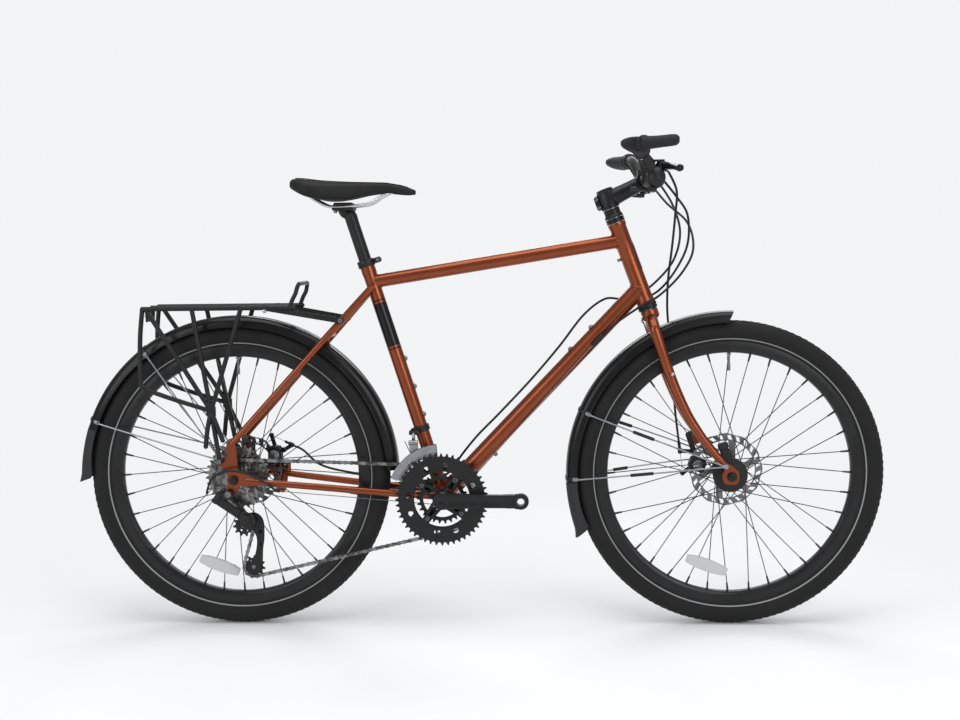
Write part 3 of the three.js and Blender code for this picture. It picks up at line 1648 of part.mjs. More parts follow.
function lampPlate() {
  const top = xyz(rackRear - lampPlateSetback, 0, rackHeight - lampPlateSetback);
  const centre = beside(top, 0, 0, -lampPlateHeight / 2);
  const sheet = block(centre, xyz(1, 0, 0), lampPlateThickness, lampPlateWidth, lampPlateHeight);
  const stays = [-1, 1].map((sign) => {
    const start = xyz(rackRear, sign * lampStayOut, rackHeight);
    const end = beside(start, -lampPlateSetback, 0, -lampStayLength);
    return rod(start, end, lampStayRadius, wireSides);
  });
  return [sheet, ...stays];
}

function rearRack() {
  const side = join(rackSide());
  const crossMembers = rackCrossShares.map((along) => {
    const end = rackPoint([along, 0, 0]);
    return rod(end, mirror(end), rackTubeRadius, wireSides);
  });
  const railEnd = rackPoint([rackCrossShares.at(-1), 0, 0]).setY(0);
  const centreRail = rod(xyz(rackRear, 0, rackHeight), railEnd, rackTubeRadius, wireSides);
  return join(side, mirrored(side), crossMembers, centreRail, rackHoop(), lampPlate());
}

// Fork

const bladeShares = [
  [0.965, -0.02, 0],
  [0.955, -0.06, 0.42],
  [0.925, -0.1, 0.7],
  [0.87, -0.14, 0.82],
  [0.62, -0.23, 0.85],
  [0.43, -0.12, 0.9],
  [0.31, 0.1, 0.94],
  [0.21, 0.38, 0.97],
  [0.065, 0.87, 1],
];

const bladeTopDrop = 6;
const bladeTaper = 1.7;

function forkBlade() {
  const spread = forkFace + forkEndThickness / 2;
  const length = forkLength - bladeTopDrop;
  const places = bladeShares.map(([up, forward, out]) =>
    onSteer(up * length, forward * forkRake, -out * spread),
  );
  const radii = bladeShares.map(([up]) =>
    THREE.MathUtils.lerp(bladeTipRadius, bladeRadius, Math.min(1, up * bladeTaper)),
  );
  return taperedTube(places, radii, barSides);
}

const forkEndShares = [
  [-0.5, 1],
  [-0.2, 1.15],
  [0.25, 0.75],
  [0.62, 0.4],
  [0.62, -0.4],
  [0.2, -0.72],
  [-0.62, -0.6],
  [-0.85, 0.1],
  [-0.72, 0.45],
];
const forkEndSize = 24;

function forkEnd(side) {
  const outline = forkEndShares.map(([x, z]) => {
    const place = beside(frontAxle, x * forkEndSize, 0, z * forkEndSize);
    return [place.x, place.z];
  });
  const middle = side * (forkFace + forkEndThickness / 2);
  const below = beside(frontAxle, 0, middle, -forkEndSize);
  const slot = block(below, xyz(1, 0, 0), 2 * hubBore, 4 * forkEndThickness, 2 * forkEndSize);
  const seat = crossBar(frontAxle, middle - forkEndThickness, middle + forkEndThickness, hubBore);
  return cut(plate(outline, middle, forkEndThickness), slot, seat);
}

const forkEyeletShares = [-0.58, 0.98];
const forkEyelet = beside(
  frontAxle,
  forkEyeletShares[0] * forkEndSize,
  0,
  forkEyeletShares[1] * forkEndSize,
);
const forkEyeletWidth = 6;
const brakeTabWidth = 24;
const brakeTabTopBehind = 74;
const brakeTabTopRise = 84;
const brakeTabFootBehind = 62;
const brakeTabFootRise = 54;
const brakeTabTop = beside(frontAxle, -brakeTabTopBehind, 0, brakeTabTopRise);
const brakeTabFoot = beside(frontAxle, -brakeTabFootBehind, 0, brakeTabFootRise);
const crownRadius = 18;
const crownDepth = 22;
const steererOverlap = 2;
const steererInset = 1;

function fork() {
  const crown = rod(onSteer(forkLength - crownDepth), onSteer(forkLength), crownRadius, turnedSides);
  const steererFoot = onSteer(forkLength - steererOverlap);
  const steerer = rod(steererFoot, onSteer(stemTop - steererInset), steererRadius, turnedSides);
  const eyeletOuter = forkFace + forkEndThickness + forkEyeletWidth;
  const eyelet = crossBar(forkEyelet, -eyeletOuter, -forkFace, stayEyeRadius, smallSides);
  const tabMiddle = forkFace + forkEndThickness / 2;
  const tab = bar(
    beside(brakeTabTop, 0, tabMiddle, 0),
    beside(brakeTabFoot, 0, tabMiddle, 0),
    forkEndThickness,
    brakeTabWidth,
  );
  return join(crown, steerer, bothSides(forkBlade()), forkEnd(-1), forkEnd(1), bothSides(eyelet), tab);
}

const coverHeight = 7;

function headsetTop() {
  const foot = headTubeTop + upperStackHeight + gap;
  const top = foot + spacerHeight;
  const cover = rod(onSteer(foot), onSteer(foot + coverHeight), upperCupRadius, turnedSides);
  const spacer = rod(onSteer(foot + coverHeight / 2), onSteer(top), spacerRadius, turnedSides);
  const bore = rod(onSteer(foot - overrun), onSteer(top + overrun), steererRadius + gap, turnedSides);
  return cut(join(cover, spacer), bore);
}

const capRim = 2;
const pinchReach = 7;
const pinchWidth = 18;
const pinchHeight = 30;

function stem() {
  const column = rod(onSteer(stemFoot), onSteer(stemTop), stemClampRadius, turnedSides);
  const capRadius = stemClampRadius - capRim;
  const cap = rod(onSteer(stemTop - steererInset), onSteer(stemTop + capHeight), capRadius, turnedSides);
  const arm = rod(onSteer(stemCentre), barCentre, stemRadius, tubeSides);
  const clamp = crossBar(barCentre, -barClampWidth / 2, barClampWidth / 2, barClampRadius);
  const pinchEnd = onSteer(stemCentre, -stemClampRadius - pinchReach);
  const pinch = bar(onSteer(stemCentre, -stemClampRadius / 2), pinchEnd, pinchWidth, pinchHeight);
  const barBore = crossBar(barCentre, -barClampWidth, barClampWidth, barCentreRadius + gap);
  const boreTop = onSteer(stemTop - steererInset + gap);
  const steererBore = rod(onSteer(stemFoot - overrun), boreTop, steererRadius + gap, turnedSides);
  return cut(join(column, cap, arm, clamp, pinch), barBore, steererBore, facePlateSpace(-1));
}

// Everything ahead of the bar clamp's split belongs to the faceplate
const splitGap = 1;

function facePlateSpace(margin) {
  const depth = 2 * barClampRadius;
  const start = margin < 0 ? -splitGap : splitGap;
  const centre = barCentre.clone().addScaledVector(stemDirection, start + depth / 2);
  return block(centre, stemDirection, depth, 2 * barClampWidth, 3 * barClampRadius);
}

function stemFaceplate() {
  const clamp = crossBar(barCentre, -barClampWidth / 2, barClampWidth / 2, barClampRadius);
  const barBore = crossBar(barCentre, -barClampWidth, barClampWidth, barCentreRadius + gap);
  return common(cut(clamp, barBore), facePlateSpace(1));
}

// The bar's right half: share of the half width, share of the sweep and share of the rise
const barShares = [
  [1, 1.2, 1.04],
  [0.62, 1, 1],
  [0.46, 0.86, 0.95],
  [0.33, 0.5, 0.62],
  [0.23, 0.12, 0.16],
  [0.15, 0, 0],
];

const barSteps = 18;
const barSearchSteps = 800;
const barBulgeReach = 6;
const barEndInset = 2;
const barEndRoom = 1.5;

function barRoute() {
  const right = barShares.map(([out, back, up]) =>
    beside(barCentre, -back * barSweep, -out * barHalfWidth, up * barRise),
  );
  return [...right, ...right.map(mirror).reverse()];
}

function handlebar() {
  const half = barClampWidth / 2 + barBulgeReach;
  const bulge = crossBar(barCentre, -half, half, barCentreRadius);
  return join(tube(barRoute(), barRadius, barSteps, barSides), bulge);
}

// Where the bar's axis lies at a distance from the middle, on the right
function onBar(distance) {
  const curve = new THREE.CatmullRomCurve3(barRoute(), false, 'centripetal');
  let best = curve.getPoint(0);
  for (let i = 0; i <= barSearchSteps / 2; i += 1) {
    const point = curve.getPoint(i / barSearchSteps);
    if (Math.abs(point.y + distance) < Math.abs(best.y + distance)) best = point;
  }
  return xyz(best.x, -distance, best.z);
}

// Everything on the bar is cut by the bar itself, a clearance larger
const barClearance = () => join(
  tube(barRoute(), barRadius + gap, barSteps, barSides),
  rod(onBar(barHalfWidth - barEndInset), onBar(barHalfWidth + barEndRoom), barRadius + gap),
);

const gripEnd = 5;
const wingPlaceShare = 0.32;
const wingBackShare = 0.28;
const wingHalfShares = [0.5, 0.38, 0.5];
const wingRise = 3;
const hornFootShare = 0.8;
const hornSag = 3;
const hornRise = 11;
const hornEndShare = 0.7;
const hornPointShare = 0.3;

function grip() {
  const inner = onBar(barHalfWidth + gripOverhang - gripLength);
  const outer = beside(onBar(barHalfWidth), -gap, -gripEnd, gap);
  const sleeve = rod(inner, outer, gripRadius, tubeSides);
  const wingCentre = beside(
    onBar(barHalfWidth - gripLength * wingPlaceShare),
    -gripWingDepth * wingBackShare,
    0,
    wingRise,
  );
  const [halfDepth, halfLength, halfHeight] = wingHalfShares;
  const wing = ball(
    wingCentre,
    gripWingDepth * halfDepth,
    gripLength * halfLength,
    gripWingHeight * halfHeight,
    tubeSides,
    wireSides,
  );
  const foot = beside(outer, 0, hornRadius * hornFootShare, barEndInset);
  const tip = beside(foot, hornLength - hornRadius, -hornSag, hornRise);
  const route = [
    beside(foot, -hornRadius / 2, 0, 0),
    foot,
    tip,
    beside(tip, hornRadius * hornEndShare, 0, gap),
    beside(tip, hornRadius, 0, gap),
  ];
  const radii = [hornEndShare, 1, 1, hornEndShare, hornPointShare].map((share) => share * hornRadius);
  return cut(join(sleeve, wing, taperedTube(route, radii, smallSides)), barClearance());
}

// Brake and shift controls: a clamp on the bar, the lever's bracket ahead of it and the shifter below
const leverInward = 22;
const leverAhead = 40;
const bracketDrop = 26;
const podInward = 12;
const podForward = 30;
const podDrop = 52;
const podNeckWidth = 14;
const podNeckHeight = 20;

const leverPivot = () => beside(onBar(controlOffset - leverInward), leverAhead, 0, -bracketDrop);

// The lever turns on a pin between two ears, and the shift lever on a pin below its pod
const knuckleRadius = 9;
const knuckleHeight = 16;
const earThickness = 3.6;
const earWidth = 14;
const earReach = 15;
const leverPinRadius = 2.6;
const podRadiusX = 19;
const podRadiusY = 17;
const podRadiusZ = 22;
const shiftPivotBack = 8;
const shiftPivotDrop = 26;
const shiftDiscHeight = 6;

const podCentre = () => beside(onBar(controlOffset - podInward), podForward, 0, -podDrop);
const shiftPivot = () => beside(podCentre(), -shiftPivotBack, 0, -shiftPivotDrop);

function control() {
  const place = onBar(controlOffset);
  const half = controlClampWidth / 2;
  const clamp = rod(onBar(controlOffset + half), onBar(controlOffset - half), controlClampRadius, tubeSides);
  const pivot = leverPivot();
  const earTop = knuckleHeight / 2 + gap + earThickness / 2;
  const ears = [-1, 1].flatMap((sign) => [
    block(
      beside(pivot, -earReach / 2, 0, sign * earTop),
      xyz(1, 0, 0),
      earReach,
      earWidth,
      earThickness,
    ),
    rod(
      beside(pivot, 0, 0, sign * (earTop - earThickness / 2)),
      beside(pivot, 0, 0, sign * (earTop + earThickness / 2)),
      earWidth / 2,
      barSides,
    ),
  ]);
  const webHeight = 2 * earTop + earThickness;
  const web = block(beside(pivot, -earReach, 0, 0), xyz(1, 0, 0), earThickness, earWidth, webHeight);
  const bracket = bar(place, beside(pivot, -earReach, 0, 0), earWidth, earWidth);
  const pod = ball(podCentre(), podRadiusX, podRadiusY, podRadiusZ, barSides, wireSides);
  const neck = bar(place, podCentre(), podNeckWidth, podNeckHeight);
  const upright = (centre, from, to, radius, sides) =>
    rod(beside(centre, 0, 0, from), beside(centre, 0, 0, to), radius, sides);
  const clear = knuckleHeight / 2 + gap;
  const leverSpace = upright(pivot, -clear, clear, knuckleRadius + 2 * gap, tubeSides);
  const pin = upright(pivot, -earTop, earTop, leverPinRadius, smallSides);
  const shiftShaft = upright(shiftPivot(), shiftPivotDrop, -shiftDiscHeight / 2, leverPinRadius, smallSides);
  const body = cut(join(clamp, bracket, web, ears, neck, pod), barClearance(), leverSpace);
  return join(body, pin, shiftShaft);
}

// The lever's blade: outward, forward and up from the pivot, and its radius, as shares
const leverShares = [
  [0, 0, 0, 1],
  [0.22, 0.55, -0.025, 1],
  [0.52, 0.9, -0.06, 0.92],
  [1.02, 1, -0.11, 0.83],
];
const leverReach = 96;
const leverForward = 26;
const leverRadius = 6;

function pinBore(pivot, half) {
  const reach = half + overrun;
  const radius = runningBore(leverPinRadius, smallSides);
  return rod(beside(pivot, 0, 0, -reach), beside(pivot, 0, 0, reach), radius, smallSides);
}

function brakeLever() {
  const pivot = leverPivot();
  const points = leverShares.map(([out, forward, up]) =>
    beside(pivot, forward * leverForward, -out * leverReach, up * leverReach),
  );
  const radii = leverShares.map(([, , , share]) => share * leverRadius);
  const half = knuckleHeight / 2;
  const knuckle = rod(beside(pivot, 0, 0, -half), beside(pivot, 0, 0, half), knuckleRadius, tubeSides);
  const blade = taperedTube(points, radii, smallSides);
  return cut(join(blade, knuckle), pinBore(pivot, half));
}

const paddleReach = 34;
const paddleIn = 8;
const paddleRise = 4;
const paddleWidth = 10;
const paddleHeight = 5;
const padLength = 9;

function shiftLever() {
  const pivot = shiftPivot();
  const tip = beside(pivot, -paddleReach, paddleIn, paddleRise);
  const half = shiftDiscHeight / 2;
  const disc = rod(beside(pivot, 0, 0, -half), beside(pivot, 0, 0, half), knuckleRadius, tubeSides);
  const arm = bar(pivot, tip, paddleWidth, paddleHeight);
  const pad = ball(tip, padLength, paddleIn, paddleHeight, smallSides, wireSides);
  return cut(join(disc, arm, pad), pinBore(pivot, half));
}

// Brakes

const frontBrakeBehind = 62;
const frontBrakeRise = 12;
const rearBrakeAhead = 66;
const rearBrakeRise = 36;
const frontBrake = beside(frontAxle, -frontBrakeBehind, 0, frontBrakeRise);
const rearBrake = beside(rearAxle, rearBrakeAhead, 0, rearBrakeRise);
const frontRotorMiddle = frontRotorFace + rotorThickness / 2;
const rearRotorMiddle = rearRotorFace + rotorThickness / 2;
const brakeHalfWidth = 14;
const brakeHeight = 36;
const brakeLength = 30;
const rotorSlot = 4.4;
const discRoom = 2;
const armThickness = 4;
const armHeight = 9;
const armEyeRadius = 10;
const armTipRadius = 5;
const armTipReach = 4;
const brakeKnobReach = 2;
const brakeKnobRadius = 11;
const brakeArmBossRadius = 12;
const frontBrakeTilt = 70 * degree;

function brakeBody(place, middle, tilt) {
  const along = xyz(Math.cos(tilt), 0, Math.sin(tilt));
  const body = block(beside(place, 0, middle, 0), along, brakeLength, 2 * brakeHalfWidth, brakeHeight);
  const reach = brakeHalfWidth + brakeKnobReach;
  const knob = crossBar(place, middle - reach, middle, brakeKnobRadius, tubeSides);
  const outer = crossBar(place, middle, middle + reach, brakeArmBossRadius, tubeSides);
  return [body, knob, outer];
}

// A wide gap for the disc runs right through the body
function discSlot(axle, middle) {
  return crossBar(axle, middle - rotorSlot / 2, middle + rotorSlot / 2, rotorRadius + discRoom, wheelSides);
}

const frontStopBehind = 36;
const frontStopOut = 20.5;
const frontStopRise = 32;
const rearStopAhead = 38;
const rearStopOut = 18.3;
const rearStopRise = 16;
const frontTipBehind = 30;
const frontTipDrop = 24;
const rearTipBehind = 12;
const rearTipRise = 40;
const tipWireRise = 8;
const tipWireAhead = 6;
const frontStop = beside(frontBrake, -frontStopBehind, frontRotorMiddle + frontStopOut, frontStopRise);
const rearStop = beside(rearBrake, rearStopAhead, rearRotorMiddle + rearStopOut, rearStopRise);
const frontArmTip = beside(frontBrake, -frontTipBehind, 0, -frontTipDrop);
const rearArmTip = beside(rearBrake, -rearTipBehind, 0, rearTipRise);
const stopLength = 12;
const stopRadius = 5;

// A cable stop: a short tube that the housing seats on, with the bare wire running through it
function cableStop(top, direction) {
  const foot = top.clone().addScaledVector(direction, stopLength);
  const bore = rod(
    top.clone().addScaledVector(direction, -overrun),
    foot.clone().addScaledVector(direction, overrun),
    wireRadius + gap,
    smallSides,
  );
  return { stop: rod(top, foot, stopRadius), bore };
}

const frontWireEnd = () => beside(frontArmTip, 0, frontStop.y, tipWireRise);
const rearWireEnd = () => beside(rearArmTip, tipWireAhead, rearStop.y, -discRoom);
const frontWireDirection = () => frontWireEnd().sub(frontStop).normalize();
const rearWireDirection = () => rearWireEnd().sub(rearStop).normalize();
const brakeMountThickness = 5;
const brakeMountRise = 14;
const brakeMountDrop = 4;
const stopArmWidth = 5;
const stopArmHeight = 9;
const stopArmInset = 6;
const stopBossRadius = 5.5;
const frontShoulderBehind = 4;
const frontShoulderRise = 24;
const rearShoulderAhead = 18;
const rearShoulderRise = 8;
const brakeFootMargin = 14;
const brakeFootWidth = 10;
const brakeFootHeight = 6;
const brakeRiserInset = 4;
const brakeRiserRise = 12;
const brakeRiserWidth = 12;
const brakeRiserHeight = 20;

// The arm that holds a cable stop, on a boss beside the brake's body
function stopHolder(armEnd, shoulder, rotorMiddle, stop) {
  const start = rotorMiddle + rotorSlot;
  return [
    bar(armEnd, beside(shoulder, 0, stop.y, 0), stopArmWidth, stopArmHeight),
    crossBar(shoulder, start, stop.y + stopArmWidth / 2, stopBossRadius, smallSides),
  ];
}

function frontCaliper() {
  const mountMiddle = forkFace - gap - brakeMountThickness / 2;
  const shift = -brakeTabWidth / 3;
  const mount = bar(
    beside(brakeTabTop, shift, mountMiddle, -brakeMountDrop),
    beside(frontBrake, shift / 4, mountMiddle, brakeMountRise),
    brakeMountThickness,
    brakeTabWidth / 2,
  );
  const { stop, bore } = cableStop(frontStop, frontWireDirection());
  const shoulder = beside(frontBrake, -frontShoulderBehind, 0, frontShoulderRise);
  const holder = stopHolder(beside(frontStop, 0, 0, -stopArmInset), shoulder, frontRotorMiddle, frontStop);
  const pieces = [...brakeBody(frontBrake, frontRotorMiddle, frontBrakeTilt), mount, stop, ...holder];
  return cut(join(pieces), discSlot(frontAxle, frontRotorMiddle), bore);
}

function rearCaliper() {
  const [rearPost, frontPost] = brakePostPlaces;
  const postTop = beside(rearAxle, (rearPost + frontPost) / 2, brakePostY, brakePostRise);
  const footMiddle = beside(postTop, 0, 0, gap + brakeFootHeight / 2);
  const footLength = frontPost - rearPost + brakeFootMargin;
  const foot = block(footMiddle, xyz(1, 0, 0), footLength, brakeFootWidth, brakeFootHeight);
  const riserMiddle = beside(rearBrake, 0, brakePostY - brakeRiserInset, 0);
  riserMiddle.z = postTop.z + brakeRiserRise;
  const riser = block(riserMiddle, xyz(1, 0, 0), brakeLength, brakeRiserWidth, brakeRiserHeight);
  const { stop, bore } = cableStop(rearStop, rearWireDirection());
  const shoulder = beside(rearBrake, rearShoulderAhead, 0, rearShoulderRise);
  const holder = stopHolder(beside(rearStop, -stopArmInset, 0, 0), shoulder, rearRotorMiddle, rearStop);
  const pieces = [...brakeBody(rearBrake, rearRotorMiddle, 0), foot, riser, stop, ...holder];
  return cut(join(pieces), discSlot(rearAxle, rearRotorMiddle), bore);
}

// The arm turns on the outer end of its brake and pulls the pads together
function brakeArm(place, middle, tip) {
  const face = middle + brakeHalfWidth + brakeKnobReach + gap;
  const centre = face + armThickness / 2;
  const eye = crossBar(place, face, face + armThickness, armEyeRadius, tubeSides);
  const arm = bar(beside(place, 0, centre, 0), beside(tip, 0, centre, 0), armThickness, armHeight);
  const end = crossBar(tip, face, face + armThickness + armTipReach, armTipRadius, smallSides);
  return join(eye, arm, end);
}

// Cables, along their routes on the bicycle. A route's points are chosen by hand, in steps of a
// centimetre from the piece that they run beside.

const routeStep = 10;
const stopApproach = 30;
const stopApproachRear = 24;
const wireOverlap = 3;
const cableSteps = 20;
const longCableSteps = 32;
const shiftCableSteps = 17;
const loopSteps = 10;

const route = (anchor, places) =>
  places.map(([forward, left, up]) => beside(anchor, forward * routeStep, left * routeStep, up * routeStep));

// Places beside the down tube: share of its length, out from its axis and left, in route steps
function downTubeRoute(places) {
  const along = downTubeTop().sub(crankAxis).normalize();
  const out = xyz(-along.z, 0, along.x);
  return places.map(([share, above, left]) =>
    crankAxis
      .clone()
      .lerp(downTubeTop(), share)
      .addScaledVector(out, above * routeStep)
      .add(xyz(0, left * routeStep, 0)),
  );
}

const rightLeverEnd = () => route(leverPivot(), [[1.4, -0.2, -1.2]])[0];

function frontBrakeCable() {
  const back = frontWireDirection().negate();
  const seat = frontStop.clone().addScaledVector(back, gap);
  const points = [
    rightLeverEnd(),
    ...route(barCentre, [
      [5.24, -11.8, -2.71],
      [5.24, -9, -7.71],
      [5.04, -5.2, -13.71],
      [4.64, -0.8, -20.71],
      [4.84, 3.4, -26.71],
      [5.44, 6.6, -31.71],
    ]),
    ...route(frontAxle, [
      [-11.6, 7.8, 23],
      [-10.6, 7.2, 12],
    ]),
    seat.clone().addScaledVector(back, stopApproach),
    seat,
  ];
  const wireTop = seat.clone().addScaledVector(back, wireOverlap);
  const wire = rod(wireTop, frontWireEnd(), wireRadius, wireSides);
  return join(tube(points, housingRadius, cableSteps, bossSides), wire);
}

function rearBrakeCable() {
  const back = rearWireDirection().negate();
  const seat = rearStop.clone().addScaledVector(back, gap);
  const points = [
    mirror(rightLeverEnd()),
    ...route(barCentre, [
      [6.64, 11.2, -4.51],
      [8.04, 7.6, -10.71],
      [6.44, 4.8, -16.71],
      [2.64, 3.6, -21.31],
      [-1.36, 3.3, -24.21],
      [-4.96, 3, -25.11],
      [-8.76, 2.2, -25.11],
    ]),
    ...downTubeRoute([
      [0.796, 4.76, 1.3],
      [0.661, 3.95, 0.8],
      [0.513, 3.43, 0.8],
      [0.348, 3.37, 0.9],
      [0.233, 3.45, 1.4],
      [0.14, 2.93, 2.6],
    ]),
    ...route(crankAxis, [
      [1.5, 4.2, 4.7],
      [-2, 5, 2.5],
      [-7.5, 5.4, 2.3],
    ]),
    ...route(rearAxle, [
      [30, 6.2, -1.6],
      [22, 7.4, -0.8],
      [16, 8, 0.8],
    ]),
    seat.clone().addScaledVector(back, stopApproachRear),
    seat,
  ];
  const wireTop = seat.clone().addScaledVector(back, wireOverlap);
  const wire = rod(wireTop, rearWireEnd(), wireRadius, wireSides);
  return join(tube(points, housingRadius, longCableSteps, bossSides), wire);
}

// The adjusters stand below the down tube's top: share of its length, out from its axis, to each side
const adjusterShare = 0.7943;
const adjusterOut = -0.9;
const adjusterSide = 2.2;
const adjusterRadius = 5;
const underCrankSide = 6;
const underCrankShare = 0.46;
const underCrankEndShare = -0.4;

const adjusterTop = (side) => downTubeRoute([[adjusterShare, adjusterOut, side * adjusterSide]])[0];

// Bare wire bends round the underside of the crank's shell
const underCrank = (side, share = underCrankShare) =>
  beside(crankAxis, share * shellRadius, side * underCrankSide, -shellRadius - wireRadius - 2 * gap);

// A shift cable: housing from the shifter to the adjuster, then bare wire to a point under the crank
function shiftFront(side, points) {
  const adjuster = adjusterTop(side);
  const [lead, end] = route(adjuster, [[1.2, 0, 1.1], [-2.2, 0, -2.4]]);
  return [
    tube([...points, lead, adjuster], housingRadius, shiftCableSteps, bossSides),
    rod(adjuster, end, adjusterRadius, smallSides),
    rod(end, underCrank(side), wireRadius, wireSides),
  ];
}

// Bare wire from one point to the next
function wireRun(points) {
  return taperedTube(points, Array(points.length).fill(wireRadius), bossSides);
}

function podEnd(side) {
  const [end] = route(podCentre(), [[1.6, 2.2, -0.4]]);
  return side < 0 ? end : mirror(end);
}

function rearShiftCable() {
  const points = [
    podEnd(-1),
    ...route(barCentre, [
      [5.44, -9.2, -3.71],
      [8.24, -5, -7.51],
      [8.84, 0.4, -13.51],
      [6.64, 2.6, -18.91],
      [3.04, 2.7, -23.31],
      [-1.56, 2.7, -25.91],
    ]),
    ...downTubeRoute([
      [0.879, -1.15, 2.5],
    ]),
  ];
  const [stayEnd, capStart, capEnd] = route(rearAxle, [
    [9.6, -7.2, -2.4],
    [10, -7.2, -2.4],
    [8.8, -7.3, -2.2],
  ]);
  const shellEnd = route(underCrank(1, underCrankEndShare), [[0, -0.8, 0]])[0];
  const under = [
    wireRun([underCrank(1), shellEnd, stayEnd]),
    rod(capStart, capEnd, housingRadius + wireRadius, smallSides),
  ];
  const loopPoints = [
    ...route(rearAxle, [
      [9, -7.3, -2.2],
      [6.4, -7.7, -0.2],
      [2.6, -9.2, 2],
      [-1.4, -9.3, 2.3],
      [-4.2, -9, 0.6],
      [-5.4, -8.4, -1.8],
      [-5.6, -8.1, -2.8],
    ]),
  ];
  return join(shiftFront(1, points), under, tube(loopPoints, housingRadius, loopSteps, bossSides));
}

function frontShiftCable() {
  const points = [
    podEnd(1),
    ...route(barCentre, [
      [5.24, 8.8, -4.51],
      [9.24, 4, -8.91],
      [9.84, -1.4, -14.51],
      [7.24, -3.4, -19.51],
      [2.64, -3.6, -24.11],
      [-1.76, -3.5, -26.71],
    ]),
    ...downTubeRoute([
      [0.874, -1.42, -2.7],
    ]),
  ];
  const [bend, anchor] = route(crankAxis, [[-2.1, -0.7, -1.5], [-8.1, -2.2, 12.2]]);
  const under = wireRun([underCrank(-1), underCrank(-1, underCrankEndShare), bend, anchor]);
  return join(shiftFront(-1, points), under);
}

// Assembly

add('frame', frame(), copperPaint());
add('headset_upper_cup', upperCup(), satinBlack());
add('headset_lower_cup', lowerCup(), satinBlack());
add('bottom_bracket', bottomBracket(), satinBlack());
add('seat_clamp', seatClamp(), satinBlack());
add('seatpost', seatpost(), satinBlack());
add('saddle_rails', rails(railRadius), brightSteel());
add('saddle', saddle(), rubberBlack());

add('rear_tyre', tyre(rearAxle), tyreBlack());
add('rear_rim', rim(rearAxle), satinBlack());
add('rear_hub', rearHub(), darkSteel());
add('rear_rotor', rotor(rearAxle, rearRotorFace), brightSteel());
add('rear_axle', axleWithNuts(rearAxle, derailleurFace), darkSteel());
add('front_tyre', tyre(frontAxle), tyreBlack());
add('front_rim', rim(frontAxle), satinBlack());
add('front_hub', frontHub(), satinBlack());
add('front_rotor', rotor(frontAxle, frontRotorFace), brightSteel());
add('front_axle', frontAxleWithPlug(), darkSteel());

add('crank_right', crankRight(), satinBlack());
add('chainring_outer', chainring(outerTeeth, outerRingY, outerRingInnerRadius), satinBlack());
add('chainring_middle', chainring(middleTeeth, -chainPlane, middleRingInnerRadius), darkSteel());
add('chainring_inner', chainring(innerTeeth, innerRingY, innerRingInnerRadius), darkSteel());
add('crank_left', crankLeft(), satinBlack());
add('cassette', cassette(), castGrey());
add('chain', chain(), darkSteel());

add('front_derailleur_bracket', frontBracket(), castGrey());
add('front_derailleur_link', frontLink(), castGrey());
add('front_derailleur_cage', frontCage(), brightSteel());
add('rear_derailleur_knuckle', hangerKnuckle(), satinBlack());
add('rear_derailleur_link', derailleurLink(), satinBlack());
add('rear_derailleur_cage_knuckle', cageKnuckle(), satinBlack());
add('rear_derailleur_cage', derailleurCage(), satinBlack());
add('guide_pulley', pulley(guideCentre), rubberBlack());
add('tension_pulley', pulley(tensionCentre), rubberBlack());

add('fork', fork(), copperPaint());
add('headset_top', headsetTop(), satinBlack());
add('stem', stem(), satinBlack());
add('stem_faceplate', stemFaceplate(), satinBlack());
add('handlebar', handlebar(), satinBlack());
add('grip_right', grip(), rubberBlack());
add('grip_left', mirrored(grip()), rubberBlack());
add('control_right', control(), satinBlack());
add('control_left', mirrored(control()), satinBlack());
add('brake_lever_right', brakeLever(), satinBlack());
add('brake_lever_left', mirrored(brakeLever()), satinBlack());
add('shift_lever_right', shiftLever(), satinBlack());
add('shift_lever_left', mirrored(shiftLever()), satinBlack());

add('rear_mudguard', rearMudguard(), glossBlack());
add('front_mudguard', frontMudguard(), glossBlack());
add('rear_mudguard_stays', rearMudguardStays(), brightSteel());
add('front_mudguard_stays', frontMudguardStays(), brightSteel());
add('rear_rack', rearRack(), satinBlack());

add('front_caliper', frontCaliper(), satinBlack());
add('rear_caliper', rearCaliper(), satinBlack());
add('caliper_arm_front', brakeArm(frontBrake, frontRotorMiddle, frontArmTip), satinBlack());
add('caliper_arm_rear', brakeArm(rearBrake, rearRotorMiddle, rearArmTip), satinBlack());
add('front_brake_cable', frontBrakeCable(), rubberBlack());
add('rear_brake_cable', rearBrakeCable(), rubberBlack());
add('front_shift_cable', frontShiftCable(), rubberBlack());
add('rear_shift_cable', rearShiftCable(), rubberBlack());

const bicycleBox = new THREE.Box3().setFromObject(bicycle);
const middle = bicycleBox.getCenter(xyz(0, 0, 0));
bicycle.position.set(-middle.x, 0, -bicycleBox.min.z);

export default bicycle;
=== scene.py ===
# %% [markdown]
# # A touring bicycle, dressed for the camera
#
# The CAD frame already holds every piece of the bicycle as a plain solid. This lesson lays finer
# shapes over those solids: round tubes, a chain of real links, spokes, tread and bolts. Each new
# piece rides on the same body as the solid that it stands for, so it moves as that does.

# %% Load the frame
import math

import bmesh
import bpy
from mathutils import Matrix, Vector


